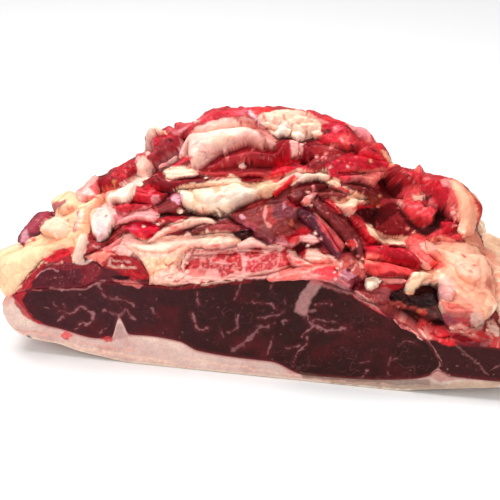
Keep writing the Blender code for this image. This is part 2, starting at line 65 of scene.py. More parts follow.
BACK_LINE = (
    (-180, 30), (-172, 55), (-155, 76), (-125, 90), (-60, 97), (70, 97), (125, 91), (155, 78),
    (172, 56), (180, 34),
)  # fmt: skip
CAP_UNDER = (
    (-180, 27), (-176, 19), (-168, 13), (-155, 10), (-143, 9), (-128, 5), (-108, 2), (-92, 0), (88, 0),
    (110, 3), (130, 6), (156, 10), (170, 14), (180, 19),
)  # fmt: skip
CAP_TOP = (
    (-180, 37), (-176, 43), (-172, 42), (-155, 24), (-139, 21), (-116, 16.6), (-104, 18), (-97.6, 34),
    (-91, 22), (-77, 22.4), (-56, 20.4), (-44, 15), (-16, 12.7), (6, 12.3), (28, 5), (59, 5.7), (99, 10),
    (110, 13.6), (115.5, 18.2), (124, 14.5), (155, 14.5), (168, 19), (176, 25), (180, 30),
)  # fmt: skip
EYE_TOP = (
    (-172, 43.6), (-154, 49.6), (-126, 53), (-110, 59), (-82, 60), (-55, 60), (-41, 65.5), (-24, 69.5),
    (2, 73), (32, 76), (42, 71), (55, 68.4), (67.5, 61), (82.5, 54), (94, 49.6), (103, 43), (109, 37),
    (116, 26), (119, 20.4),
)  # fmt: skip
EDGE_TOP = (
    (-172, 45), (-154, 66.5), (-139, 79), (-126, 83), (-119, 79), (-107, 82.5), (-95, 83), (-83, 77),
    (-74, 66), (-68, 62),
)  # fmt: skip
SIDE_TOP = ((103, 45.5), (112, 40.5), (127, 39.5), (153, 39), (167, 35), (176, 27.5))
SLOPE_FRONT = (
    (-180, 40), (-165, 55), (-150, 70), (-130, 82), (-105, 81), (-85, 68), (-60, 60), (-30, 67),
    (0, 72), (32, 76), (60, 67), (90, 51), (110, 42), (140, 40), (165, 34), (180, 24),
)  # fmt: skip
SLOPE_RIDGE = (
    (-180, 46), (-165, 72), (-140, 94), (-110, 111), (-90, 124), (-55, 139), (-20, 144), (20, 142),
    (45, 136), (58, 122), (78, 104), (105, 99), (125, 92), (137, 76), (150, 50), (168, 38), (180, 28),
)  # fmt: skip
RIDGE_PLACE = (
    (-180, -62), (-160, -48), (-110, -12), (-60, 2), (0, 6), (50, 4), (100, -4), (150, -20), (180, -30),
)  # fmt: skip
BACK_FALL = 1.1

# Places where the boned side is hollow: along X, up the slope, half width, half rise, depth.
HOLLOWS = (
    (80, 0.56, 21, 0.16, 17),
    (94, 0.08, 20, 0.10, 18),
    (22, 0.12, 20, 0.06, 7),
    (-20, 1.45, 30, 0.12, 9),
)

# ---------------------------------------------------------------- the eye of the front picture
AROUND = math.radians(12)
ABOVE = math.radians(24)
DISTANCE = 950.0
PIXEL = 0.665
HALF_PICTURE = 250
SENSOR = 36.0
# Where the middle of the front cut meets the floor, in the picture.
MIDDLE_U, MIDDLE_V = 262, 377
TOWARDS = np.array(
    (math.sin(AROUND) * math.cos(ABOVE), -math.cos(AROUND) * math.cos(ABOVE), math.sin(ABOVE))
)
RIGHTWARDS = np.array((math.cos(AROUND), math.sin(AROUND), 0.0))
UPWARDS = np.cross(TOWARDS, RIGHTWARDS)
AIM = (
    np.array((0.0, FRONT, 0.0))
    + RIGHTWARDS * (HALF_PICTURE - MIDDLE_U) * PIXEL
    + UPWARDS * (MIDDLE_V - HALF_PICTURE) * PIXEL
)
EYE = AIM + TOWARDS * DISTANCE

# Colours as seen in the picture, in 0 to 255.
TONES = {
    "white": (255, 246, 228),
    "cream": (253, 233, 203),
    "peach": (252, 205, 162),
    "amber": (245, 178, 130),
    "beige": (232, 196, 170),
    "blush": (243, 186, 172),
    "rose": (222, 112, 115),
    "coral": (236, 92, 84),
    "scarlet": (205, 20, 40),
    "crimson": (168, 18, 36),
    "wine": (128, 22, 32),
    "maroon": (90, 20, 27),
    "brown": (114, 36, 34),
    "umber": (78, 26, 26),
    "dark": (44, 9, 13),
    "mauve": (152, 88, 106),
    "purple": (94, 38, 60),
    "dusk": (176, 112, 104),
    "bone": (206, 176, 160),
    "rust": (160, 72, 54),
    "slate": (186, 142, 132),
}


def linear(rgb):
    """A colour of 0 to 255 as linear light."""
    c = np.array(rgb, float) / 255
    return np.where(c <= 0.04045, c / 12.92, ((c + 0.055) / 1.055) ** 2.4)


TONE = {name: linear(rgb) for name, rgb in TONES.items()}


# ---------------------------------------------------------------- number helpers
def curve(stations, x):
    """A smooth line through the stations that never swings past them."""
    px, py = np.array(stations, float).T
    h = np.diff(px)
    d = np.diff(py) / h
    m = np.zeros(len(px))
    same = d[:-1] * d[1:] > 0
    w1, w2 = 2 * h[1:] + h[:-1], h[1:] + 2 * h[:-1]
    m[1:-1][same] = (w1 + w2)[same] / (w1[same] / d[:-1][same] + w2[same] / d[1:][same])
    m[0], m[-1] = d[0], d[-1]
    x = np.clip(x, px[0], px[-1])
    i = np.clip(np.searchsorted(px, x, side="right") - 1, 0, len(px) - 2)
    t = (x - px[i]) / h[i]
    a, b = (1 + 2 * t) * (1 - t) ** 2, t * t * (3 - 2 * t)
    return a * py[i] + b * py[i + 1] + h[i] * t * (1 - t) * ((1 - t) * m[i] - t * m[i + 1])


def ramp(value, low, high):
    """0 at low, 1 at high, smooth between."""
    t = np.clip((value - low) / (high - low), 0, 1)
    return t * t * (3 - 2 * t)


def blend(a, b, share):
    """Colours a and b mixed, point by point."""
    return a + (b - a) * np.asarray(share)[..., None]


def hashed(cells, seed):
    """A number from 0 to 1 for each whole-number cell."""
    c = cells.astype(np.int64)
    h = c[..., 0] * 374761393 + c[..., 1] * 668265263 + c[..., 2] * 974634777 + int(seed) * 362437
    h = ((h ^ (h >> 13)) & 0xFFFFFFFF) * 1274126177 & 0xFFFFFFFF
    h = ((h ^ (h >> 15)) * 2246822519) & 0xFFFFFFFF
    return ((h ^ (h >> 16)) & 0xFFFFFF) / 0xFFFFFF


def bumps(points, size, seed):
    """Smooth noise from -1 to 1 with lumps of that size."""
    p = points / np.asarray(size, float) + seed * 7.31
    cell = np.floor(p)
    f = p - cell
    f = f * f * f * (f * (f * 6 - 15) + 10)
    total = 0
    for dx in (0, 1):
        for dy in (0, 1):
            for dz in (0, 1):
                weight = (
                    (f[..., 0] if dx else 1 - f[..., 0])
                    * (f[..., 1] if dy else 1 - f[..., 1])
                    * (f[..., 2] if dz else 1 - f[..., 2])
                )
                total = total + weight * hashed(cell + (dx, dy, dz), seed)
    return total * 2 - 1


def layered(points, size, seed, octaves=3, fade=0.5):
    total, share, whole = 0, 1.0, 0.0
    for k in range(octaves):
        total = total + share * bumps(points, np.asarray(size, float) / 2.03**k, seed + 11 * k)
        whole += share
        share *= fade
    return total / whole


def pebbles(points, size, seed):
    """Distance to the nearest and to the second nearest of scattered seeds, in seed spacings."""
    p = points / np.asarray(size, float)
    cell = np.floor(p)
    first = np.full(p.shape[:-1], 9.0)
    second = first.copy()
    for dx in (-1, 0, 1):
        for dy in (-1, 0, 1):
            for dz in (-1, 0, 1):
                c = cell + (dx, dy, dz)
                at = c + np.stack([hashed(c, seed), hashed(c, seed + 1), hashed(c, seed + 2)], -1)
                d = np.linalg.norm(at - p, axis=-1)
                second = np.minimum(second, np.maximum(first, d))
                first = np.minimum(first, d)
    return first, second


def soften(field, cells):
    """Blurs a grid over about that many cells."""
    width = max(1, int(round(cells)))
    for axis in (0, 1):
        for _ in range(2):
            pad = [(0, 0), (0, 0)]
            pad[axis] = (width, width)
            run = np.cumsum(np.pad(field, pad, mode="edge"), axis=axis)
            zero = np.zeros_like(np.take(run, [0], axis=axis))
            run = np.concatenate([zero, run], axis=axis)
            n = field.shape[axis]
            high = np.take(run, np.arange(2 * width, 2 * width + n) + 1, axis=axis)
            low = np.take(run, np.arange(0, n), axis=axis)
            field = (high - low) / (2 * width + 1)
    return field


# ---------------------------------------------------------------- the shapes that the solids have too
def back_y(x):
    return curve(BACK_LINE, x)


def cut_height(stations, x, y):
    """Height of a layer of the cut at a place between the front cut and the back cut."""
    back = np.clip((y - FRONT) / DEPTH, 0, 1)
    return curve(stations, x * (1 + 0.04 * back)) * (1 - (1 - CAP_DEPTH_BACK) * back)


def slope_point(x, s):
    """A point of the boned side: s is 0 at the front cut, 1 on the ridge and 2 at the back."""
    ridge_y, ridge_z = curve(RIDGE_PLACE, x), curve(SLOPE_RIDGE, x)
    front_z = curve(SLOPE_FRONT, x)
    y_front = FRONT + s * (ridge_y - FRONT)
    z_front = front_z + (ridge_z - front_z) * np.sin(math.pi / 2 * s)
    past = np.clip(s - 1, 0, 1.2)
    end_y = back_y(x)
    end_z = cut_height(SLOPE_FRONT, x, end_y)
    y_back = ridge_y + past * (end_y - ridge_y)
    z_back = end_z + (ridge_z - end_z) * (1 - past**BACK_FALL)
    front = s <= 1
    return np.stack([x, np.where(front, y_front, y_back), np.where(front, z_front, z_back)], -1)


def in_picture(points):
    """Where points fall in the front picture, and how far in front of the eye they are."""
    d = points - EYE
    depth = -(d @ TOWARDS)
    scale = DISTANCE / (PIXEL * depth)
    return HALF_PICTURE + (d @ RIGHTWARDS) * scale, HALF_PICTURE - (d @ UPWARDS) * scale, depth


# ---------------------------------------------------------------- the ground that pieces are laid on
class Ground:
    """A grid of points with an outward direction at each, and how high the meat stands on it so far."""

    def __init__(self, base, plan, known, height, cell):
        self.base, self.plan, self.known = base, plan, known
        self.height, self.cell = height, cell
        du = np.gradient(base, axis=0)
        dv = np.gradient(base, axis=1)
        out = np.cross(du, dv)
        length = np.linalg.norm(out, axis=-1, keepdims=True)
        out = out / np.maximum(length, 1e-6)
        valid = length[..., 0] > 1e-6
        last = valid.shape[1] - 1 - np.argmax(valid[:, ::-1], axis=1)
        for i, end in enumerate(last):
            out[i, end + 1:] = out[i, end]
        for k in range(3):
            out[..., k] = soften(out[..., k], 5.0 / cell)
        self.out = out / np.maximum(np.linalg.norm(out, axis=-1, keepdims=True), 1e-6)
        self.du, self.dv = du, dv

    def skin(self, lift):
        """Where the smoothed top of the meat falls in the picture."""
        points = self.base + self.out * (soften(self.height, 3.0 / self.cell) + lift)[..., None]
        u, v, depth = in_picture(points)
        blind = ~self.known
        u[blind] = 1e6
        return u, v, depth

    def place(self, seen, lift):
        """Grid places under points of the picture, nearest the eye."""
        u, v, depth = self.skin(lift)
        found = []
        for pu, pv in seen:
            away = (u - pu) ** 2 + (v - pv) ** 2
            close = away < 1.3
            if close.any():
                at = np.argmin(np.where(close, depth + away * 2, 1e9))
            else:
                at = np.argmin(away)
            found.append(np.unravel_index(at, away.shape))
        return np.array([self.plan[i, j] for i, j in found])


def outline_distance(points, corners):
    """Signed distance to a closed outline, below 0 inside."""
    a, b = corners, np.roll(corners, -1, axis=0)
    best = np.full(points.shape[:-1], 1e9)
    odd = np.zeros(points.shape[:-1], bool)
    px, py = points[..., 0], points[..., 1]
    for (ax, ay), (bx, by) in zip(a, b):
        ex, ey = bx - ax, by - ay
        t = np.clip(((px - ax) * ex + (py - ay) * ey) / max(ex * ex + ey * ey, 1e-9), 0, 1)
        best = np.minimum(best, (px - ax - t * ex) ** 2 + (py - ay - t * ey) ** 2)
        if ay != by:
            crosses = (ay > py) != (by > py)
            odd ^= crosses & (px < (py - ay) * ex / ey + ax)
    return np.where(odd, -1, 1) * np.sqrt(best)


def course_distance(points, course):
    """Distance from a course, and places along it and across it."""
    px, py = points[..., 0], points[..., 1]
    best = np.full(px.shape, 1e9)
    along = np.zeros(px.shape)
    across = np.zeros(px.shape)
    run = 0.0
    for (ax, ay), (bx, by) in zip(course[:-1], course[1:]):
        ex, ey = bx - ax, by - ay
        size = max(math.hypot(ex, ey), 1e-9)
        t = np.clip(((px - ax) * ex + (py - ay) * ey) / size**2, 0, 1)
        qx, qy = px - ax - t * ex, py - ay - t * ey
        d = np.hypot(qx, qy)
        nearer = d < best
        best = np.where(nearer, d, best)
        along = np.where(nearer, run + t * size, along)
        across = np.where(nearer, (ex * qy - ey * qx) / size, across)
        run += size
    return best, along, across, run


def open_loops(starts, ends, count):
    """The closed runs of edges that only one face uses, as lists of point numbers."""
    open_edge = ~np.isin(starts * count + ends, ends * count + starts)
    following = {}
    for start, end in zip(starts[open_edge].tolist(), ends[open_edge].tolist()):
        following.setdefault(start, []).append(end)
    loops = []
    while following:
        first = next(iter(following))
        loop, here = [first], first
        while True:
            after = following[here].pop()
            if not following[here]:
                del following[here]
            if after == first or after not in following:
                break
            loop.append(after)
            here = after
        if len(loop) > 2:
            loops.append(loop)
    return loops


def rounded(course, steps=4):
    """The course with points between, on a smooth line through them."""
    p = np.array(course, float)
    if len(p) < 3:
        return p
    p = np.vstack([2 * p[0] - p[1], p, 2 * p[-1] - p[-2]])
    line = []
    for k in range(1, len(p) - 2):
        for t in np.arange(steps) / steps:
            line.append(
                0.5
                * (
                    2 * p[k]
                    + (p[k + 1] - p[k - 1]) * t
                    + (2 * p[k - 1] - 5 * p[k] + 4 * p[k + 1] - p[k + 2]) * t**2
                    + (3 * p[k] - p[k - 1] - 3 * p[k + 1] + p[k + 2]) * t**3
                )
            )
    return np.array([*line, p[-2]])


# How a kind of surface is shaped. rag: how torn its outline is. swell: size and height of its broad
# lumps. crumb: size and height of its small lumps. strand: width and height of its fibres. ply: width
# and height of its overlapping layers. gap: how far a free edge stands off what it lies on.
SHAPES = {
    "plump": {"rag": 0.7, "swell": (12, 1.6), "crumb": (2.8, 0.5), "strand": (2.2, 0.08),
         "ply": (11, 0.5), "gap": 0.3},
    "curd": {"rag": 1.05, "swell": (10, 1.2), "crumb": (5.0, 1.7), "strand": (2.0, 0.1),
         "ply": (9, 0.4), "gap": 0.4},
    "smooth": {"rag": 0.42, "swell": (18, 1.0), "crumb": (3.0, 0.22), "strand": (2.6, 0.06),
         "ply": (15, 0.3), "gap": 0.2},
    "fold": {"rag": 0.98, "swell": (9, 1.3), "crumb": (3.0, 0.3), "strand": (1.7, 0.4),
         "ply": (4.6, 1.1), "gap": 0.5},
    "wet": {"rag": 0.91, "swell": (10, 1.2), "crumb": (3.6, 0.4), "strand": (2.4, 0.25),
         "ply": (6.2, 0.9), "gap": 0.2},
    "leaf": {"rag": 0.77, "swell": (11, 1.0), "crumb": (3.0, 0.25), "strand": (1.5, 0.25),
         "ply": (8.0, 0.6), "gap": 1.4},
    "torn": {"rag": 1.47, "swell": (7, 1.6), "crumb": (3.2, 0.8), "strand": (1.6, 0.4),
         "ply": (4.0, 1.3), "gap": 0.3},
    "mince": {"rag": 1.26, "swell": (6.5, 1.6), "crumb": (3.2, 1.4), "strand": (1.5, 0.2),
         "ply": (5, 0.5), "gap": 0.2},
    "rope": {"rag": 0.7, "swell": (9, 0.8), "crumb": (3.0, 0.25), "strand": (1.5, 0.4),
         "ply": (3.2, 0.8), "gap": 0.4},
    "skin": {"rag": 0.98, "swell": (9, 0.5), "crumb": (3.0, 0.2), "strand": (1.3, 0.2),
         "ply": (4, 0.3), "gap": 0.0},
}  # fmt: skip


class Patch:
    """One piece of fat or lean laid on a ground: its points, faces and colour."""

    UNDER = 3.0  # how far its underside lies below its rim
    FLAT_LUMP = 0.5  # lumps no higher than this have no clefts
    STAIN = 0.42  # how much of the third tone the rim takes

    def __init__(self, ground, number, shape, thick, edge, tones, where, fibre=0.0, coarse=1, rough=1.0):
        self.ground, self.coarse = ground, coarse
        form = SHAPES[shape]
        distance, along, across = self.cut_out(where, fibre)
        solid = ground.base[self.win]
        self.grain = np.stack([along, across, np.zeros_like(along)], -1)
        strand = form["strand"][0]
        warp = layered(solid, 9, number + 3, 2) * 1.6
        strand_at = self.grain / (strand * 9, strand, 1) + warp[..., None] * (0, 0.45, 0)
        free_edge = self.free_edge(distance, solid, number)
        distance, gx, gy = self.torn(distance, solid, strand_at, form["rag"] * rough, number)
        depth = np.maximum(-distance, 0)
        firm = ramp(depth, 0, max(1.0, 0.3 * edge))
        fibres = layered(strand_at, 1.0, number + 8, 3, 0.6)
        swell, swell_high = form["swell"]
        height = thick * self.dome(distance, depth, thick, edge, free_edge)
        height = height + swell_high * min(1.0, thick / 5) * firm * layered(solid, swell, number + 5, 2)
        more, creases = self.plies(across, solid, form["ply"], thick, firm, number)
        height = height + more
        more, clefts = self.lumps(solid, warp, form["crumb"], firm, number)
        height = height + more
        # creases and clefts together mark where painted shade goes
        creases = np.maximum(creases, clefts)
        height = height + firm * form["strand"][1] * fibres
        self.lift = self.floor() + form["gap"] * free_edge - 1.0 * (1 - free_edge)
        height = height + self.lift
        self.store(distance, gx, gy, height)
        self.paint_base(solid, strand_at, fibres, creases, depth, tones, number)
        self.pile_up(distance, height)

    def cut_out(self, where, fibre):
        """Finds the window around the outline: distance from it, places along and across the fibres."""
        course = where.get("course")
        if course is not None:
            corners = rounded(course)
            reach = where["width"] / 2 + 4
        else:
            corners = np.array(where["outline"], float)
            reach = 4.0
        low, high = corners.min(0) - reach, corners.max(0) + reach
        plan = self.ground.plan
        inside = (
            (plan[..., 0] >= low[0]) & (plan[..., 0] <= high[0])
            & (plan[..., 1] >= low[1]) & (plan[..., 1] <= high[1])
        )  # fmt: skip
        ii, jj = np.where(inside)
        i0, i1, j0, j1 = max(ii.min() - 1, 0), ii.max() + 2, max(jj.min() - 1, 0), jj.max() + 2
        self.box = (i0, i1, j0, j1)
        self.win = (slice(i0, i1, self.coarse), slice(j0, j1, self.coarse))
        at = plan[self.win]
        if course is not None:
            away, along, across, run = course_distance(at, corners)
            ends = np.clip(np.minimum(along, run - along) / (0.6 * where["width"]), 0, 1)
            return away - where["width"] / 2 * (0.35 + 0.65 * np.sqrt(ends)), along, across
        turn = math.radians(fibre)
        along = at[..., 0] * math.cos(turn) + at[..., 1] * math.sin(turn)
        across = -at[..., 0] * math.sin(turn) + at[..., 1] * math.cos(turn)
        return outline_distance(at, corners), along, across

    def free_edge(self, distance, solid, number):
        """1 where the rim looks down the slope and stands free, 0 where it looks up and sinks in."""
        cell, coarse = self.ground.cell, self.coarse
        slant = np.gradient(soften(distance, 2.5 / cell / coarse), axis=1) / (cell * coarse)
        free = 0.5 - 0.5 * np.clip(slant, -1, 1) + 0.35 * bumps(solid, 17, number + 9)
        return soften(ramp(free, 0.2, 0.75), 2.0 / cell / coarse)

    def torn(self, distance, solid, strand_at, rag, number):
        """The distance from a torn outline, and how it changes along both ways of the grid."""
        distance = distance + rag * (
            0.8 * bumps(solid, 7.5, number) + 0.5 * bumps(solid, 3.1, number + 1)
            + 0.25 * bumps(strand_at * (0.6, 1.0, 1), 1.0, number + 2)
        )  # fmt: skip
        gx = np.gradient(distance, axis=0) / (self.ground.cell * self.coarse)
        gy = np.gradient(distance, axis=1) / (self.ground.cell * self.coarse)
        return distance / np.maximum(np.hypot(gx, gy), 0.8), gx, gy

    def dome(self, distance, depth, thick, edge, free_edge):
        """How far the piece has risen, 0 to 1: steeply from a free rim, gently from a sunk one."""
        width = edge * (1.7 - 1.15 * free_edge) * (0.78 if thick < 8 else 1.0)
        body = np.maximum(-soften(distance, 1.7 / self.ground.cell / self.coarse), 0.3 * depth)
        t = np.clip(body / width, 0, 1)
        return free_edge * (1 - (1 - t) ** 2.5) ** 0.45 + (1 - free_edge) * ramp(t, 0, 1)

    def plies(self, across, solid, form, thick, firm, number):
        """Overlapping layers: the height that they add and the creases under them."""
        ply, ply_high = form
        ply_high = ply_high * min(1.0, 0.25 + thick / 8)
        bent = across / ply + 0.9 * bumps(solid, 13, number + 12) + 0.3 * bumps(solid, 4.4, number + 13)
        tooth = bent - np.floor(bent)
        some = ramp(bumps(solid, 15, number + 14), -0.55, 0.25)
        # pale: the crest of each layer, painted lighter later, partly as pale fascia and partly as a
        # painted highlight
        self.pale = some * (1 - ramp(tooth, 0.0, 0.3))
        # creases: under each layer, where painted shade goes later
        creases = some * ramp(tooth, 0.72, 0.98) * (1 - ramp(tooth, 0.98, 1.0))
        return firm * some * ply_high * (0.55 - ramp(tooth, 0.1, 1.0)), creases

    def lumps(self, solid, warp, form, firm, number):
        """Small lumps: the height that they add and the clefts between the high ones."""
        crumb, crumb_high = form
        if crumb_high <= self.FLAT_LUMP:
            return firm * crumb_high * layered(solid, crumb, number + 6, 2), 0.0
        near, second = pebbles(solid + warp[..., None] * 0.8, crumb, number + 6)
        near2, second2 = pebbles(solid + warp[..., None] * 0.5, crumb * 0.5, number + 7)
        pillow = 1 - near**2 * 1.4
        high = firm * crumb_high * (pillow - 0.45 + 0.35 * (1 - near2**2 * 1.4))
        # the clefts between high lumps, which get painted shade later
        wide = 0.7 * (1 - ramp(second - near, 0.0, 0.3))
        fine = 0.4 * (1 - ramp(second2 - near2, 0.0, 0.3))
        return high, np.maximum(wide, fine)

    def floor(self):
        """The smoothed height of what lies there already."""
        i0, i1, j0, j1 = self.box
        smooth = soften(self.ground.height[i0:i1, j0:j1], 4.0 / self.ground.cell)
        return smooth[::self.coarse, ::self.coarse]

    def pile_up(self, distance, height):
        """Raises the ground to the top of the piece, for what is laid on it later."""
        i0, i1, j0, j1 = self.box
        ground, coarse = self.ground, self.coarse
        covered = (distance < 0) & ground.known[self.win]
        for di in range(coarse):
            for dj in range(coarse):
                view = ground.height[i0 + di:i1:coarse, j0 + dj:j1:coarse]
                n, m = view.shape
                hit = covered[:n, :m]
                view[hit] = np.maximum(view[hit], height[:n, :m][hit])

    def store(self, distance, gx, gy, height):
        """Keeps the cells that lie in the outline, with the rim's points drawn onto it."""
        ground, win = self.ground, self.win
        known = ground.known[win]
        inner = (distance < 0) & known
        cells = inner[:-1, :-1] | inner[1:, :-1] | inner[:-1, 1:] | inner[1:, 1:]
        cells &= known[:-1, :-1] & known[1:, :-1] & known[:-1, 1:] & known[1:, 1:]
        used = np.zeros(inner.shape, bool)
        used[:-1, :-1] |= cells
        used[1:, :-1] |= cells
        used[:-1, 1:] |= cells
        used[1:, 1:] |= cells
        rim = used & ~inner
        size2 = np.maximum(gx**2 + gy**2, 0.3)
        slide = np.where(rim, np.clip(distance, 0, 1.2 * ground.cell * self.coarse), 0)
        sx = -slide * gx / np.sqrt(size2) / ground.cell
        sy = -slide * gy / np.sqrt(size2) / ground.cell
        self.base = ground.base[win] + ground.du[win] * sx[..., None] + ground.dv[win] * sy[..., None]
        self.high = np.where(rim, self.lift, height)
        self.used, self.cells = used, cells
        self.inward = np.stack([-gx, -gy], -1) / np.sqrt(size2)[..., None]
        self.out = ground.out[win]
        self.plan = ground.plan[win] + np.stack([sx, sy], -1) * ground.cell

    def paint_base(self, solid, strand_at, fibres, creases, depth, tones, number):
        """Body colour, streaks of the second tone along the fibres, the third at the rim, and painted
        shade in the creases.
        """
        body, other, rim = (TONE[t] for t in tones)
        drift = layered(solid, 13, number + 20, 3)
        streak = layered(strand_at * (0.7, 0.8, 1), 1.0, number + 21, 3, 0.65)
        mottle = layered(solid, 4.2, number + 24, 3, 0.65)
        share = ramp(0.5 * drift + 0.55 * streak + 0.45 * mottle, -0.15, 0.6)
        tone = blend(np.broadcast_to(body, solid.shape), other, share)
        tone = blend(tone, rim, ramp(mottle - 0.5 * drift, 0.25, 0.75) * 0.5)
        near_rim = np.exp(-depth / 1.6) * (0.5 + 0.5 * ramp(bumps(solid, 6, number + 22), -0.5, 0.5))
        tone = blend(tone, rim, near_rim * self.STAIN)
        # a paler crest on each layer: partly pale fascia, partly a painted highlight
        tone = blend(tone, np.maximum(other, body) * 1.15, self.pale * 0.35)
        # painted shade: darker in the creases and clefts
        tone = blend(tone, tone * rim**0.35 * 0.75, creases * 0.8 * ramp(depth, 0, 1.5))
        fine = layered(solid, 2.4, number + 23, 2)
        tone = tone * (1 + 0.16 * fibres[..., None] + 0.14 * fine[..., None])
        self.tone = np.clip(tone, 0.002, 1)
        # touch: lighter on the crests (partly fascia, partly painted highlight), darker in the creases
        # (painted shade)
        touch = 1 + (0.14 * fibres + 0.12 * fine + 0.08 * mottle + 0.06 * self.pale)[..., None]
        redder = np.array((0.02, 0.10, 0.09)) * (streak + 0.6 * drift)[..., None]
        self.touch = (touch - redder) * (1 - creases[..., None] * (0.12, 0.28, 0.26))

    def mesh_parts(self, whole):
        """Points, colours and faces, closed by a wall under the rim and a floor, which are painted dark
        as shade.
        """
        used, cells = self.used, self.cells
        index = -np.ones(used.shape, int)
        index[used] = np.arange(used.sum())
        points = (self.base + self.out * self.high[..., None])[used]
        tone = self.shade(whole)[used]
        grain = self.grain[used]
        a, b = index[:-1, :-1][cells], index[1:, :-1][cells]
        c, d = index[1:, 1:][cells], index[:-1, 1:][cells]
        quads = np.stack([a, b, c, d], 1)
        starts = np.concatenate([a, b, c, d])
        ends = np.concatenate([b, c, d, a])
        n = len(points)
        loops = open_loops(starts, ends, n)
        set_in = min(1.4, self.UNDER * 0.5)
        inward = self.inward[used]
        out = self.out[used]
        plan = self.plan[used]
        win_du, win_dv = self.ground.du[self.win][used], self.ground.dv[self.win][used]
        extra, wall_shade_tone, extra_grain, walls, floors = [], [], [], [], []
        at = n
        kept = []
        for loop in loops:
            ids = np.array(loop)
            size = len(ids)
            drop = points[ids] - out[ids] * self.UNDER + (
                win_du[ids] * inward[ids, :1] + win_dv[ids] * inward[ids, 1:]
            ) * (set_in / self.ground.cell)
            extra.append(drop)
            # painted shade: the wall and floor under the rim take a third of the rim's colour
            wall_shade_tone.append(tone[ids] * 0.35)
            extra_grain.append(grain[ids] + (0, 0, self.UNDER))
            ring = np.arange(at, at + size)
            after = np.roll(ids, -1)
            walls.append(np.stack([after, ids, ring, np.roll(ring, -1)], 1))
            flat = plan[ids] + inward[ids] * set_in
            kept.append((ring, flat))
            at += size
        if kept:
            order = np.concatenate([r for r, _ in kept])
            flat = [[Vector((x, y, 0)) for x, y in f] for _, f in kept]
            where = np.concatenate([f for _, f in kept])
            for x, y, z in tessellate_polygon(flat):
                p, q, r = where[x], where[y], where[z]
                turn = (q[0] - p[0]) * (r[1] - p[1]) - (q[1] - p[1]) * (r[0] - p[0])
                corners = (order[x], order[z], order[y]) if turn > 0 else (order[x], order[y], order[z])
                floors.append(corners)
            points = np.concatenate([points, *extra])
            tone = np.concatenate([tone, *wall_shade_tone])
            grain = np.concatenate([grain, *extra_grain])
            quads = np.concatenate([quads, *walls])
        triangles = np.array(floors, int).reshape(-1, 3)
        return points, tone, grain, quads, triangles

    def shade(self, whole):
        """Painted shade: deepens and darkens the colour where neighbours stand higher, as if they shade
        it.
        """
        near = whole[self.win]
        # painted shade: the lower a point lies under its neighbours, the darker and deeper red it is
        # painted
        sunk = ramp(near - self.high, 0.8, 7.0)
        deep = self.tone * np.array((0.55, 0.26, 0.30))
        tone = blend(self.tone, deep, sunk * 0.7)
        shade_dim = 1 - sunk[..., None] * (0.18, 0.34, 0.32)
        tone = blend(tone, TONE["dusk"], 0.12)
        at = self.base + self.out * self.high[..., None]
        return np.clip(painted(at, tone, self.touch * shade_dim, VEIL), 0.002, 1)


def make_mesh(name, parts, material, nodes):
    """One object from closed parts, with its colour and fibre direction kept on its points."""
    points, tones, grains, quads, triangles = [], [], [], [], []
    start = 0
    for p, t, g, q, r in parts:
        points.append(p)
        tones.append(t)
        grains.append(g)
        quads.append(q + start)
        triangles.append(r + start)
        start += len(p)
    points, tones, grains = (np.concatenate(x) for x in (points, tones, grains))
    quads = np.concatenate(quads).astype(np.int32)
    triangles = np.concatenate(triangles).astype(np.int32)
    mesh = bpy.data.meshes.new(name)
    mesh.vertices.add(len(points))
    mesh.vertices.foreach_set("co", (points * MM).astype(np.float32).ravel())
    corners = np.concatenate([quads.ravel(), triangles.ravel()])
    mesh.loops.add(len(corners))
    mesh.loops.foreach_set("vertex_index", corners)
    sizes = np.concatenate([np.full(len(quads), 4), np.full(len(triangles), 3)])
    mesh.polygons.add(len(sizes))
    first_corners = np.concatenate([[0], np.cumsum(sizes)[:-1]])
    mesh.polygons.foreach_set("loop_start", first_corners.astype(np.int32))
    mesh.polygons.foreach_set("use_smooth", np.ones(len(sizes), bool))
    colour = mesh.attributes.new("tone", "FLOAT_COLOR", "POINT")
    colour.data.foreach_set("color", np.c_[tones, np.ones(len(tones))].astype(np.float32).ravel())
    fibre = mesh.attributes.new("grain", "FLOAT_VECTOR", "POINT")
    fibre.data.foreach_set("vector", grains.astype(np.float32).ravel())
    mesh.update(calc_edges=True)
    mesh.validate()
    mesh.set_sharp_from_angle(angle=math.radians(70))
    mesh.materials.append(material)
    obj = bpy.data.objects.new(name, mesh)
    bpy.context.scene.collection.objects.link(obj)
    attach(obj, "root")
    if nodes:
        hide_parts(*nodes)
    print(name, 2 * len(quads) + len(triangles))
    return obj


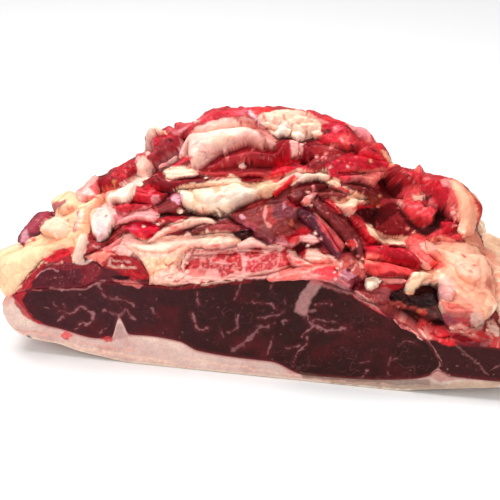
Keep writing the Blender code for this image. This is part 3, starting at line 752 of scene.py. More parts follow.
class Slope(Ground):
    """The boned side, and the top of the front cut below its edge, where things hang over."""

    CELL = 0.65
    HALF_LENGTH = 179.0
    LAST_RISE = 2.03
    RISES = 500
    HANG = 36.0
    TURN = 1.6

    def __init__(self):
        cell = self.CELL
        xs = np.arange(-self.HALF_LENGTH, self.HALF_LENGTH + 0.1, cell)
        rise = np.linspace(0, self.LAST_RISE, self.RISES)
        side = slope_point(np.repeat(xs[:, None], self.RISES, 1), np.repeat(rise[None], len(xs), 0))
        steps = np.linalg.norm(np.diff(side, axis=1), axis=-1)
        run = np.concatenate([np.zeros((len(xs), 1)), np.cumsum(steps, axis=1)], axis=1)
        ts = np.arange(-self.HANG, run[:, -1].max(), cell)
        x = np.repeat(xs[:, None], len(ts), 1)
        t = np.repeat(ts[None], len(xs), 0)
        self.xs, self.ts, self.run, self.rise = xs, ts, run, rise
        s = np.stack([np.interp(ts, run[i], rise) for i in range(len(xs))])
        base = slope_point(x, s)
        angle = np.clip(-t / self.TURN, 0, math.pi / 2)
        over = np.maximum(-t - self.TURN * math.pi / 2, 0)
        hang_y = FRONT - self.TURN * np.sin(angle)
        hang_z = curve(SLOPE_FRONT, x) - self.TURN * (1 - np.cos(angle)) - over
        base = np.where((t < 0)[..., None], np.stack([x, hang_y, hang_z], -1), base)
        known = t <= run[:, -1:] + 1.999 * cell
        height = -CORE_UNDER - np.zeros_like(x)
        for hx, hs, half_x, half_s, deep in HOLLOWS:
            height -= deep * np.exp(-(((x - hx) / half_x) ** 2 + ((s - hs) / half_s) ** 2) * 1.3)
        height = np.where(t < -0.5, -self.TURN - 0.6, height)
        super().__init__(base, np.stack([x, t], -1), known, height, cell)
        relief = 1.5 * layered(base, 11, 900, 2) + 0.8 * layered(base * (1, 1.6, 1.6), 4.6, 903, 3)
        self.height = self.height + np.where(t < -0.5, 0, relief)

    def at(self, x, s):
        """The place in the plan of a point given along X and up the slope."""
        i = int(np.clip(round((x - self.xs[0]) / self.cell), 0, len(self.xs) - 1))
        return x, float(np.interp(s, self.rise, self.run[i]))


# ---------------------------------------------------------------- what lies on the boned side
# Tones that many rows share: body, streaks, rim.
RED_LEAN = ("crimson", "scarlet", "wine")
BRIGHT_LEAN = ("scarlet", "crimson", "wine")
ROSY_LEAN = ("crimson", "rose", "wine")
WINE_LEAN = ("wine", "crimson", "maroon")
DARK_LEAN = ("maroon", "wine", "umber")
ROSE_MEAT = ("rose", "blush", "crimson")
PINK_FAT = ("blush", "cream", "rose")
CREAM_FAT = ("cream", "blush", "rose")
WHITE_FAT = ("white", "cream", "blush")
PALE_FAT = ("cream", "white", "blush")
PEACH_FAT = ("cream", "peach", "blush")
CORAL_FAT = ("blush", "rose", "coral")
AMBER_FAT = ("peach", "amber", "blush")

# Every row: piece, kind of surface, thickness, width of the rounded rim, three tones (body, streaks,
# rim), outline in the picture, options. A strip has no outline but a course, along X and up the slope
# (0 at the front cut, 1 on the ridge, 2 at the back), and a width. fibre is the direction of the
# fibres in degrees, rough how much more torn the rim is, and coarse its step on the grid of points.
# A row's place in the list sets its random numbers, so rows stay where they are.
LAID = [
    # the two ends and the side that faces away
    ("fat_left", "curd", 10, 8, ("peach", "cream", "blush"),
        (), {"strip": ((-168, 0.05), (-168, 0.5), (-167, 1), (-164, 1.5), (-152, 1.92)), "width": 24,
        "coarse": 2}),
    ("fat_end", "curd", 9, 7, ("peach", "cream", "blush"),
        (), {"strip": ((164, 0.42), (162, 0.9), (157, 1.4), (149, 1.9)), "width": 41, "coarse": 2,
        "rough": 1.7}),
    ("fat_end", "mince", 3, 3, PINK_FAT,
        (), {"strip": ((166, 0.56), (168, 0.7), (167, 0.86)), "width": 9, "coarse": 2, "rough": 1.5}),
    ("fat_end", "plump", 5, 5, ("cream", "amber", "blush"),
        (), {"strip": ((157, 0.62), (163, 0.95), (160, 1.2)), "width": 17, "coarse": 2, "rough": 1.5}),
    ("fat_end", "mince", 4, 4, CORAL_FAT,
        (), {"strip": ((160, 1.3), (154, 1.5), (156, 1.7)), "width": 13, "coarse": 2, "rough": 1.5}),
    ("lean_back", "fold", 6.5, 8, WINE_LEAN,
        (), {"strip": ((-72, 1.14), (-40, 1.12), (0, 1.14), (40, 1.12)), "width": 26, "coarse": 2}),
    ("lean_back", "fold", 6.5, 7, ("crimson", "wine", "maroon"),
        (), {"strip": ((-130, 1.24), (-70, 1.24), (-20, 1.28), (24, 1.24)), "width": 24, "coarse": 2}),
    ("lean_back", "fold", 6.5, 7, ("brown", "wine", "maroon"),
        (), {"strip": ((16, 1.2), (60, 1.24), (108, 1.3)), "width": 22, "coarse": 2}),
    ("lean_back", "torn", 6, 7, WINE_LEAN,
        (), {"strip": ((-134, 1.7), (-95, 1.62), (-44, 1.62)), "width": 22, "coarse": 2}),
    ("lean_back", "fold", 6.5, 7, ("crimson", "rose", "maroon"),
        (), {"strip": ((44, 1.56), (80, 1.46), (116, 1.52)), "width": 20, "coarse": 2}),
    ("lean_back", "torn", 6, 7, ("wine", "brown", "umber"),
        (), {"strip": ((-140, 1.45), (-110, 1.5), (-80, 1.52)), "width": 18, "coarse": 2}),
    ("lean_back_band", "rope", 6.5, 7, BRIGHT_LEAN,
        (), {"strip": ((-112, 1.5), (-60, 1.42), (-10, 1.46), (32, 1.64)), "width": 17, "coarse": 2}),
    ("lean_back_band", "rope", 6, 6, RED_LEAN,
        (), {"strip": ((28, 1.7), (66, 1.66), (98, 1.52)), "width": 13, "coarse": 2}),
    ("fat_back_left", "curd", 9.5, 9, ("peach", "cream", "blush"),
        (), {"strip": ((-112, 1.88), (-90, 1.84), (-60, 1.87), (-34, 1.82), (0, 1.8)), "width": 27,
        "coarse": 2}),
    ("fat_back_middle", "curd", 10, 9, PALE_FAT,
        (), {"strip": ((2, 1.44), (20, 1.4), (44, 1.37), (62, 1.33)), "width": 25, "coarse": 2}),
    ("fat_back_right", "plump", 6, 8, PEACH_FAT,
        (), {"strip": ((108, 1.36), (122, 1.46), (130, 1.6)), "width": 30, "coarse": 2}),
    ("fat_back_right", "curd", 8.5, 8, PALE_FAT,
        (), {"strip": ((90, 1.75), (110, 1.71), (131, 1.7)), "width": 22, "coarse": 2}),
    ("lean_back", "leaf", 3.5, 4, DARK_LEAN,
        (), {"strip": ((-120, 1.12), (-96, 1.2), (-70, 1.18)), "width": 13, "coarse": 2}),
    ("lean_back", "leaf", 3.5, 4, ROSE_MEAT,
        (), {"strip": ((-60, 1.3), (-30, 1.34), (0, 1.3)), "width": 8, "coarse": 2, "rough": 1.6}),
    ("fat_back_left", "skin", 2, 3, CORAL_FAT,
        (), {"strip": ((-130, 1.6), (-100, 1.7), (-76, 1.72)), "width": 11, "coarse": 2, "rough": 1.8}),
    ("fat_back_middle", "skin", 2, 3, CREAM_FAT,
        (), {"strip": ((-30, 1.2), (0, 1.25), (26, 1.22)), "width": 10, "coarse": 2, "rough": 1.8}),
    ("fat_back_middle", "leaf", 3, 4, WHITE_FAT,
        (), {"strip": ((60, 1.2), (76, 1.3), (84, 1.42)), "width": 11, "coarse": 2, "rough": 1.6}),
    ("lean_back", "fold", 4, 4, ("umber", "maroon", "wine"),
        (), {"strip": ((-20, 1.55), (10, 1.6), (40, 1.5)), "width": 13, "coarse": 2}),
    ("lean_back", "torn", 4, 4, ("scarlet", "coral", "wine"),
        (), {"strip": ((90, 1.2), (110, 1.3), (124, 1.2)), "width": 14, "coarse": 2}),
    ("fat_back_right", "skin", 2, 3, PINK_FAT,
        (), {"strip": ((60, 1.8), (80, 1.85), (100, 1.86)), "width": 9, "coarse": 2, "rough": 1.8}),
    ("lean_back", "leaf", 3.5, 4, ("wine", "maroon", "umber"),
        (), {"strip": ((-40, 1.72), (0, 1.7), (40, 1.75)), "width": 15, "coarse": 2}),
    ("lean_back", "rope", 3, 3, ("rose", "coral", "crimson"),
        (), {"strip": ((-100, 1.32), (-70, 1.38), (-40, 1.35)), "width": 6, "coarse": 2}),
    ("fat_back_left", "leaf", 3, 4, PEACH_FAT,
        (), {"strip": ((-140, 1.3), (-126, 1.4), (-118, 1.5)), "width": 13, "coarse": 2, "rough": 1.6}),
    # the lean under everything, left
    ("lean_shoulder", "torn", 3.5, 6, ("purple", "wine", "umber"),
        (), {"strip": ((-170, 0.98), (-160, 1.08), (-148, 1.12), (-134, 1.08)), "width": 17}),
    ("lean_shoulder", "fold", 5, 4, ("purple", "wine", "umber"),
        (19, 241, 21, 232, 28, 221, 40, 211, 55, 202, 66, 198, 67, 203, 57, 208, 55, 214, 51, 220,
         44, 225, 40, 230, 34, 235, 30, 240, 25, 246, 20, 246), {"fibre": 35}),
    ("lean_left", "torn", 8, 7, DARK_LEAN,
        (96, 191, 97, 181, 112, 173, 120, 163, 132, 155, 146, 150, 147, 160, 141, 168, 138, 176,
         130, 183, 122, 190, 112, 191, 104, 192), {"fibre": 30, "rough": 0.5}),
    ("lean_left", "torn", 13, 6, ("crimson", "wine", "maroon"),
        (150, 151, 150, 138, 157, 132, 170, 130, 185, 126, 191, 130, 184, 141, 180, 148, 182, 155,
         170, 161, 160, 168, 152, 172, 149, 165, 155, 156), {"fibre": 50}),
    ("lean_left", "wet", 3.5, 3, ROSY_LEAN,
        (150, 144, 151, 136, 157, 133, 161, 137, 160, 143, 155, 146), {}),
    ("lean_left", "rope", 2.5, 2, ROSE_MEAT,
        (182, 148, 185, 153, 176, 160, 166, 166, 157, 169, 158, 165, 166, 160, 175, 154),
         {"fibre": 35}),
    ("lean_ridge", "wet", 9.5, 10, RED_LEAN,
        (), {"strip": ((-76, 1.0), (-60, 1.02), (-40, 1.03), (-15, 1.03), (10, 1.03)), "width": 26,
        "rough": 0.6}),
    ("lean_ridge", "wet", 3.5, 5, RED_LEAN,
        (163, 130, 180, 121, 200, 114, 225, 109, 250, 107, 275, 108, 292, 110, 280, 114, 262, 116,
         250, 114, 240, 118, 225, 120, 210, 122, 198, 126, 190, 133, 178, 136, 166, 136), {"fibre": 12,
         "rough": 0.5}),
    ("lean_ridge", "wet", 10, 9, BRIGHT_LEAN,
        (), {"strip": ((10, 1.03), (30, 1.02), (46, 1.0), (62, 0.97)), "width": 24, "rough": 0.6}),
    ("lean_ridge", "mince", 4.5, 4, ("scarlet", "coral", "wine"),
        (318, 124, 328, 120, 345, 121, 352, 128, 360, 138, 356, 149, 345, 151, 334, 148, 324, 144,
         316, 137), {"rough": 0.5}),
    ("lean_ridge", "wet", 7, 8, BRIGHT_LEAN,
        (360, 150, 365, 145, 378, 145, 390, 158, 402, 171, 400, 181, 388, 180, 372, 166, 358, 158),
         {"fibre": -40, "rough": 0.5}),
    ("lean_ridge", "plump", 7, 6, CORAL_FAT,
        (344, 121, 360, 123, 371, 129, 377, 138, 379, 147, 373, 147, 366, 142, 358, 138, 352, 131),
         {"fibre": -30, "rough": 0.5}),
    ("lean_ridge", "wet", 10, 9, WINE_LEAN,
        (296, 170, 304, 160, 312, 150, 330, 144, 352, 146, 370, 149, 381, 152, 392, 165, 402, 175,
         396, 183, 385, 180, 372, 173, 352, 171, 330, 174, 312, 174, 300, 174), {"fibre": -8}),
    ("lean_ridge", "wet", 3.5, 5, ("scarlet", "crimson", "crimson"),
        (325, 166, 335, 158, 352, 157, 372, 158, 385, 164, 390, 176, 375, 174, 360, 172, 345, 173,
         330, 175), {"fibre": -6}),
    ("lean_ridge", "skin", 1.5, 2, ("cream", "amber", "coral"),
        (382, 151, 388, 154, 396, 164, 393, 168, 386, 160), {"fibre": -50}),
    ("lean_middle", "wet", 9, 6, DARK_LEAN,
        (150, 178, 158, 171, 163, 170, 166, 177, 172, 179, 185, 176, 200, 175, 225, 178, 245, 177,
         255, 175, 264, 176, 258, 184, 248, 186, 240, 184, 225, 184, 208, 186, 195, 188, 183, 190,
         172, 194, 160, 192, 150, 186), {"fibre": 4}),
    ("lean_middle", "mince", 6.5, 6, ("rose", "coral", "crimson"),
        (338, 176, 350, 172, 365, 170, 385, 168, 388, 177, 375, 183, 373, 188, 365, 187, 355, 184,
         345, 182), {}),
    ("lean_middle", "wet", 8.5, 6, RED_LEAN,
        (133, 202, 132, 192, 137, 185, 146, 182, 152, 185, 160, 189, 168, 190, 165, 198, 158, 205,
         150, 207, 142, 204), {"fibre": 15}),
    ("lean_middle", "wet", 8.5, 6, WINE_LEAN,
        (154, 206, 162, 198, 170, 192, 178, 189, 184, 191, 186, 200, 185, 209, 178, 214, 168, 216,
         160, 215, 155, 210), {"fibre": 30}),
    ("lean_middle", "skin", 2, 2, ("mauve", "rose", "wine"),
        (169, 199, 172, 193, 180, 190, 184, 193, 184, 202, 178, 205, 172, 203), {"fibre": 30}),
    # dark torn lean in the gap around the twisted band, coloured as painted shade
    ("lean_middle", "torn", 5, 5, ("umber", "dark", "dark"),
        (152, 219, 160, 214, 172, 211, 185, 210, 200, 213, 218, 214, 230, 215, 234, 222, 246, 226,
         252, 232, 248, 239, 240, 240, 236, 233, 226, 228, 205, 226, 180, 226, 160, 226), {"fibre": 3}),
    ("lean_left", "fold", 5, 4, WINE_LEAN,
        (110, 207, 122, 202, 135, 199, 145, 203, 151, 205, 141, 210, 130, 213, 124, 216, 116, 213),
         {"fibre": 10}),
    ("lean_left", "fold", 6, 5, DARK_LEAN,
        (106, 236, 114, 228, 122, 220, 134, 222, 130, 232, 120, 236, 112, 243, 102, 249, 92, 254,
         82, 256, 84, 240, 90, 230, 96, 238), {"fibre": 35}),
    ("lean_left", "mince", 6, 6, RED_LEAN,
        (124, 230, 130, 224, 140, 221, 150, 222, 162, 224, 157, 233, 148, 240, 142, 241, 136, 238,
         130, 234), {}),
    ("lean_left", "rope", 3, 2.5, ROSE_MEAT,
        (99, 250, 108, 243, 116, 237, 123, 235, 118, 245, 111, 252), {"fibre": 35}),
    # the long lean folds between the fats
    ("lean_middle", "fold", 6, 4, ("brown", "wine", "maroon"),
        (158, 237, 175, 230, 190, 225, 205, 221, 218, 220, 235, 221, 247, 224, 240, 230, 230, 232,
         210, 234, 195, 236, 180, 237), {"fibre": 18}),
    ("lean_right", "wet", 8.5, 6, ROSY_LEAN,
        (262, 178, 262, 170, 275, 163, 283, 159, 295, 158, 303, 164, 313, 171, 300, 170, 290, 174,
         283, 176, 275, 178), {"fibre": 12}),
    ("lean_right", "torn", 6.5, 6, ("brown", "wine", "umber"),
        (345, 186, 352, 181, 360, 183, 370, 183, 378, 187, 383, 195, 381, 206, 372, 208, 366, 202,
         358, 198, 350, 194), {"fibre": 0}),
    ("lean_hollow", "smooth", 4.5, 7, DARK_LEAN,
        (379, 204, 396, 203, 403, 217, 409, 232, 400, 239, 385, 238, 376, 234, 369, 226, 374, 214),
         {"fibre": -60}),
    ("lean_right", "torn", 5, 5, ("maroon", "wine", "dark"),
        (351, 290, 360, 283, 368, 289, 380, 286, 393, 287, 392, 298, 390, 310, 378, 306, 366, 302,
         356, 298), {"fibre": -25}),
    # dark torn lean in the hollow below the prong, coloured as painted shade
    ("lean_right", "torn", 3.5, 4, ("umber", "dark", "dark"),
        (390, 290, 404, 286, 415, 289, 425, 285, 437, 285, 440, 300, 444, 312, 450, 323, 430, 322,
         418, 317, 405, 314, 392, 312), {"fibre": -20}),
    ("lean_right", "torn", 6.5, 5, WINE_LEAN,
        (442, 312, 455, 310, 470, 312, 488, 308, 499, 300, 499, 318, 492, 324, 480, 328, 465, 332,
         450, 330), {"fibre": -10}),
    ("lean_right", "rope", 2.5, 2.5, ROSY_LEAN,
        (350, 291, 365, 299, 380, 307, 395, 315, 410, 323, 425, 331, 432, 339, 420, 336, 405, 328,
         388, 318, 370, 308, 354, 298), {"fibre": -28}),
    # the peach fat of the left end
    ("fat_left", "plump", 11, 8, AMBER_FAT,
        (), {"strip": ((-179, 0.28), (-174, 0.5), (-170, 0.74)), "width": 20}),
    ("fat_left", "plump", 9, 8, AMBER_FAT,
        (0, 253, 8, 248, 20, 250, 25, 245, 27, 238, 40, 232, 42, 225, 52, 214, 57, 207, 66, 200,
         78, 194, 88, 198, 98, 190, 112, 188, 121, 190, 108, 198, 100, 208, 93, 220, 89, 232, 86, 245,
         83, 256, 74, 263, 72, 251, 60, 251, 48, 259, 38, 267, 28, 279, 18, 291, 10, 297, 0, 292),
         {"fibre": 25}),
    ("fat_left", "plump", 7, 6, AMBER_FAT,
        (25, 246, 28, 238, 38, 242, 50, 239, 65, 239, 74, 245, 62, 249, 50, 256, 38, 263, 22, 272,
         7, 287, 1, 278, 2, 258, 12, 250), {"fibre": 25}),
    ("fat_left", "plump", 7, 6, ("cream", "peach", "peach"),
        (41, 226, 49, 216, 58, 212, 67, 214, 72, 225, 67, 237, 56, 241, 46, 237, 41, 231), {}),
    ("fat_left", "plump", 6, 5, ("peach", "cream", "amber"),
        (64, 201, 76, 194, 84, 197, 82, 206, 73, 212, 62, 214, 56, 210), {}),
    ("fat_left", "plump", 5, 6, ("amber", "peach", "blush"),
        (76, 212, 84, 206, 94, 208, 92, 222, 87, 236, 84, 250, 76, 250, 72, 240, 76, 226),
         {"fibre": 70}),
    ("fat_left", "skin", 1.5, 1.5, ("rose", "coral", "crimson"),
        (77, 211, 80, 208, 81, 216, 78, 226, 75, 232, 73, 227, 76, 218), {"fibre": 75}),
    ("fat_left", "plump", 6, 4, CORAL_FAT,
        (77, 196, 82, 187, 90, 181, 98, 178, 100, 190, 95, 199, 86, 201, 79, 201), {"fibre": 30}),
    ("fat_left", "plump", 7, 5, PEACH_FAT,
        (147, 172, 156, 170, 151, 176, 143, 182, 138, 187, 135, 194, 132, 202, 124, 205, 116, 204,
         111, 208, 107, 204, 107, 195, 115, 189, 122, 187, 128, 182, 134, 177, 142, 174),
         {"fibre": 35}),
    ("fat_left", "plump", 7.5, 6, ("white", "cream", "peach"),
        (106, 198, 113, 202, 117, 211, 119, 219, 115, 226, 111, 231, 109, 237, 105, 242, 98, 243,
         94, 238, 93, 230, 90, 223, 92, 213, 97, 206), {"fibre": 70}),
    ("fat_left", "plump", 8, 5, ("bone", "blush", "rose"),
        (143, 152, 144, 136, 150, 125, 156, 124, 163, 128, 166, 135, 158, 136, 154, 139, 151, 147,
         148, 153), {}),
    ("fat_left", "smooth", 6, 4, ("blush", "bone", "rose"),
        (145, 150, 153, 154, 154, 163, 150, 173, 143, 177, 137, 174, 138, 165, 136, 157),
         {"fibre": 70}),
    # the crown
    ("fat_crown", "torn", 8, 5, PINK_FAT,
        (188, 162, 200, 154, 212, 149, 224, 150, 216, 159, 205, 167, 198, 172, 188, 167),
         {"fibre": 30}),
    ("fat_crown", "smooth", 12, 10, PINK_FAT,
        (179, 158, 179, 150, 182, 141, 190, 132, 198, 124, 210, 119, 225, 117, 238, 118, 250, 122,
         262, 128, 271, 135, 278, 144, 277, 151, 270, 151, 266, 147, 263, 152, 258, 150, 250, 146,
         243, 148, 236, 151, 229, 153, 226, 160, 223, 153, 215, 157, 207, 162, 200, 167, 193, 169,
         190, 160, 192, 152, 186, 154, 182, 158), {"fibre": 20, "rough": 0.5}),
    ("fat_crown", "plump", 3, 5, WHITE_FAT,
        (196, 146, 200, 136, 210, 130, 222, 129, 232, 134, 236, 142, 228, 149, 216, 152, 206, 157,
         198, 156), {"fibre": 20}),
    # the popcorn fat on the ridge
    ("fat_top", "curd", 9, 7, PALE_FAT,
        (260, 114, 275, 111, 295, 112, 310, 115, 319, 121, 324, 128, 321, 135, 313, 137, 304, 140,
         296, 139, 288, 135, 278, 138, 272, 134, 278, 129, 270, 125, 261, 123, 257, 117),
         {"rough": 0.5}),
    ("fat_top", "plump", 6, 4, WHITE_FAT,
        (278, 122, 286, 120, 292, 126, 291, 134, 284, 138, 276, 137, 274, 132, 280, 128), {}),
    ("fat_top", "plump", 6, 4, WHITE_FAT,
        (292, 130, 299, 126, 305, 131, 304, 139, 298, 142, 292, 137), {}),
    ("fat_top", "plump", 5, 4, PEACH_FAT, (309, 128, 318, 122, 325, 127, 322, 135, 313, 137), {}),
    ("fat_top", "plump", 5, 4, WHITE_FAT,
        (266, 117, 272, 111, 282, 111, 288, 116, 282, 121, 272, 122), {}),
    ("fat_top", "plump", 5, 4, PALE_FAT,
        (290, 118, 296, 113, 306, 113, 314, 118, 306, 124, 296, 124), {}),
    # the red roll under the crown
    ("roll_red", "wet", 17, 10, BRIGHT_LEAN,
        (199, 173, 208, 163, 215, 158, 225, 153, 236, 149, 250, 145, 262, 147, 275, 147, 283, 139,
         290, 136, 298, 138, 306, 140, 312, 148, 315, 157, 308, 163, 300, 160, 292, 163, 283, 162,
         275, 167, 262, 168, 250, 168, 235, 169, 220, 170, 205, 172), {"fibre": 10}),
    ("roll_red", "wet", 6.5, 5, ROSY_LEAN,
        (164, 168, 175, 164, 190, 162, 200, 167, 215, 168, 235, 167, 250, 166, 262, 166, 275, 166,
         286, 165, 291, 170, 282, 175, 270, 178, 255, 177, 240, 177, 225, 177, 205, 176, 197, 175,
         180, 173, 170, 171), {"fibre": 3}),
    ("roll_red", "plump", 3.5, 4, CREAM_FAT,
        (289, 141, 295, 139, 299, 145, 298, 155, 292, 159, 290, 150), {"fibre": 75}),
    ("roll_red", "plump", 3.5, 3, PINK_FAT,
        (299, 143, 306, 139, 304, 150, 299, 157), {"fibre": 75}),
    ("roll_red", "plump", 3.5, 3, ("bone", "blush", "rose"),
        (162, 170, 170, 166, 180, 165, 190, 166, 200, 171, 199, 175, 190, 178, 180, 179, 172, 181,
         166, 178), {"fibre": 5}),
    ("roll_red", "skin", 1.5, 1.2, ("white", "blush", "rose"),
        (239, 165, 243, 163, 246, 166, 243, 169), {}),
    # the crumbly plate and the marbled window in it
    ("fat_plate", "curd", 7.5, 7, ("peach", "cream", "rose"),
        (110, 252, 118, 244, 122, 236, 135, 235, 147, 239, 160, 235, 180, 233, 190, 235, 198, 232,
         210, 230, 232, 231, 239, 236, 241, 243, 232, 248, 222, 251, 210, 251, 200, 250, 192, 251,
         186, 257, 182, 264, 183, 276, 192, 284, 175, 286, 160, 285, 149, 284, 147, 277, 142, 268,
         135, 260, 127, 255), {"fibre": 10}),
    ("window", "wet", 3, 6, ("coral", "rose", "crimson"),
        (163, 279, 169, 272, 177, 267, 183, 260, 190, 255, 197, 250, 206, 250, 222, 248, 232, 247,
         240, 243, 250, 245, 264, 247, 275, 245, 285, 249, 293, 255, 298, 263, 285, 268, 275, 272,
         265, 273, 255, 275, 245, 279, 230, 281, 215, 283, 200, 285, 186, 284, 172, 284),
         {"fibre": -8}),
    ("fat_plate", "plump", 5, 4, PINK_FAT,
        (237, 243, 245, 236, 252, 233, 260, 237, 266, 242, 277, 246, 268, 249, 255, 248, 245, 249,
         238, 249), {"fibre": -15}),
    ("window", "plump", 2, 2, CREAM_FAT,
        (183, 252, 192, 247, 206, 249, 222, 250, 238, 246, 252, 248, 270, 249, 284, 252, 292, 258,
         286, 258, 272, 253, 256, 252, 240, 251, 224, 254, 206, 254, 192, 254, 186, 262, 184, 274,
         181, 268), {"fibre": 0}),
    ("window", "plump", 2, 2, CREAM_FAT,
        (188, 283, 204, 281, 222, 278, 240, 273, 258, 270, 274, 267, 290, 262, 296, 264, 280, 272,
         260, 275, 244, 279, 226, 283, 206, 286), {"fibre": -8}),
    ("band_coral", "rope", 5, 5, ("coral", "blush", "rose"),
        (262, 278, 270, 271, 278, 267, 290, 265, 300, 261, 312, 259, 325, 256, 334, 256, 337, 262,
         337, 270, 341, 276, 347, 281, 332, 283, 318, 281, 305, 280, 285, 281, 270, 281),
         {"fibre": 24}),
    ("fat_plate", "torn", 4, 3, ("cream", "blush", "coral"),
        (287, 258, 289, 250, 295, 249, 297, 254, 303, 256, 313, 259, 317, 266, 300, 267, 292, 264),
         {"fibre": -30}),
    ("fat_plate", "torn", 5, 3, ("cream", "blush", "coral"),
        (304, 259, 305, 249, 312, 247, 319, 251, 331, 255, 335, 262, 320, 264, 310, 263),
         {"fibre": -20}),
    ("fat_plate", "plump", 3.5, 3, ("cream", "peach", "rose"),
        (122, 244, 132, 240, 146, 243, 160, 240, 176, 238, 186, 241, 178, 249, 164, 252, 148, 252,
         134, 250), {"fibre": 5}),
    # ropes and flaps at the left of the middle
    ("flap_pink", "leaf", 5, 3.5, ("blush", "rose", "wine"),
        (111, 224, 121, 216, 130, 211, 140, 207, 150, 205, 157, 209, 159, 215, 157, 221, 150, 223,
         143, 221, 136, 219, 128, 222, 120, 224, 114, 228), {"fibre": 18}),
    ("band_twisted", "rope", 6.5, 4, ("blush", "rose", "crimson"),
        (146, 241, 155, 232, 163, 225, 175, 219, 184, 218, 188, 215, 200, 216, 208, 215, 218, 221,
         215, 226, 205, 223, 195, 226, 180, 230, 168, 234, 157, 238, 150, 242), {"fibre": 35}),
    # the fat in the middle
    ("fat_centre", "plump", 13, 7, PEACH_FAT,
        (173, 190, 180, 186, 186, 182, 190, 184, 200, 183, 207, 180, 213, 179, 226, 179, 229, 174,
         234, 173, 239, 176, 241, 180, 247, 180, 250, 183, 256, 184, 261, 181, 268, 180, 276, 182,
         281, 185, 275, 191, 270, 197, 262, 199, 252, 203, 245, 207, 238, 210, 232, 214, 228, 215,
         222, 213, 224, 217, 220, 218, 217, 214, 210, 215, 203, 215, 198, 212, 190, 211, 184, 207,
         182, 200, 182, 193, 177, 192), {"fibre": 0}),
    ("fat_centre", "plump", 3.5, 5, WHITE_FAT,
        (192, 190, 202, 186, 214, 184, 224, 186, 226, 194, 220, 203, 208, 206, 197, 202), {}),
    ("fat_centre", "plump", 3.5, 5, WHITE_FAT,
        (228, 186, 240, 184, 252, 187, 258, 192, 248, 200, 236, 205, 226, 204, 224, 194), {}),
    ("fat_centre", "plump", 7, 5, AMBER_FAT,
        (256, 183, 270, 181, 283, 175, 292, 172, 288, 181, 280, 189, 272, 195, 264, 199, 258, 192),
         {"fibre": 15}),
    ("lean_right", "wet", 4.5, 3, RED_LEAN,
        (272, 193, 280, 186, 288, 179, 294, 173, 298, 177, 291, 185, 284, 191, 276, 198),
         {"fibre": 40}),
    ("band_cream", "plump", 6.5, 4, PINK_FAT,
        (283, 175, 292, 169, 298, 167, 305, 170, 312, 171, 320, 169, 328, 171, 332, 175, 329, 180,
         322, 182, 315, 180, 308, 182, 300, 185, 293, 187, 299, 177, 293, 178, 286, 184, 280, 189,
         275, 191, 278, 184), {"fibre": 8}),
    ("band_cream", "torn", 3.5, 3, ("cream", "peach", "rose"),
        (320, 183, 330, 177, 338, 179, 341, 185, 348, 189, 354, 192, 351, 197, 343, 194, 335, 190,
         329, 188), {"fibre": -20}),
    # the brown flap in the middle
    ("flap_brown", "leaf", 6, 4, ("umber", "wine", "maroon"),
        (286, 187, 298, 182, 310, 180, 320, 181, 331, 185, 318, 191, 309, 192, 306, 199, 303, 205,
         296, 205, 289, 202, 287, 196), {"fibre": 15}),
    ("flap_brown", "leaf", 7, 5, ("brown", "dusk", "purple"),
        (229, 215, 236, 208, 245, 204, 255, 199, 265, 197, 275, 196, 284, 194, 291, 199, 298, 205,
         301, 212, 298, 220, 293, 228, 301, 232, 297, 235, 285, 238, 275, 240, 271, 242, 262, 236,
         250, 229, 238, 223), {"fibre": 20}),
    ("flap_brown", "rope", 4.5, 4, ("purple", "brown", "mauve"),
        (296, 204, 305, 204, 312, 206, 318, 213, 326, 223, 332, 233, 337, 243, 342, 251, 339, 258,
         330, 252, 322, 242, 312, 230, 302, 222, 296, 215), {"fibre": -52}),
    ("flap_brown", "rope", 3.5, 3, ("rust", "wine", "maroon"),
        (314, 204, 322, 213, 332, 223, 340, 233, 345, 246, 343, 253, 336, 244, 329, 232, 319, 222,
         312, 213), {"fibre": -52}),
    ("flap_brown", "fold", 6, 5, ("brown", "wine", "umber"),
        (309, 191, 318, 195, 326, 201, 333, 209, 343, 213, 351, 220, 358, 230, 365, 240, 367, 250,
         366, 263, 360, 263, 350, 252, 344, 242, 335, 231, 324, 219, 315, 209, 308, 200),
         {"fibre": -50}),
    ("flap_brown", "leaf", 5, 4, ("brown", "rust", "maroon"),
        (317, 189, 330, 186, 342, 188, 352, 194, 350, 200, 340, 200, 330, 198, 320, 197),
         {"fibre": -10}),
    ("flap_pink", "fold", 3.5, 2, ("rose", "blush", "wine"),
        (271, 242, 285, 238, 297, 232, 306, 236, 301, 243, 292, 249, 281, 246), {"fibre": 15}),
    ("flap_brown", "plump", 3.5, 3, ("rose", "blush", "purple"),
        (301, 202, 305, 194, 308, 192, 312, 189, 317, 193, 314, 201, 309, 206, 303, 206),
         {"fibre": 50}),
    ("lean_right", "wet", 5, 4, RED_LEAN,
        (324, 199, 332, 196, 339, 206, 346, 213, 340, 215, 330, 206), {"fibre": -40}),
    ("flap_brown", "skin", 1.5, 1.5, ("rose", "blush", "wine"),
        (299, 238, 308, 234, 318, 235, 326, 240, 318, 244, 310, 244, 303, 242), {"fibre": -5}),
    ("flap_brown", "skin", 1.5, 1.5, ("blush", "rose", "wine"),
        (312, 232, 318, 228, 321, 234, 316, 237), {}),
    ("fat_knuckle", "plump", 11, 4, PALE_FAT,
        (331, 200, 338, 197, 344, 199, 350, 196, 355, 193, 362, 195, 367, 197, 371, 202, 366, 205,
         358, 206, 353, 209, 353, 215, 347, 217, 342, 213, 337, 207, 333, 204), {"fibre": 10}),
    # rolls at the mouth of the hollow
    ("roll_crimson", "wet", 6.5, 5, RED_LEAN,
        (349, 214, 356, 211, 363, 220, 369, 228, 377, 238, 381, 244, 372, 245, 364, 240, 357, 230,
         350, 221), {"fibre": -55}),
    ("rim_of_hollow", "rope", 3.5, 3, CREAM_FAT,
        (362, 222, 368, 225, 375, 231, 382, 238, 380, 244, 374, 240, 366, 231), {"fibre": -45}),
    ("roll_crimson", "fold", 6.5, 5, ("brown", "wine", "umber"),
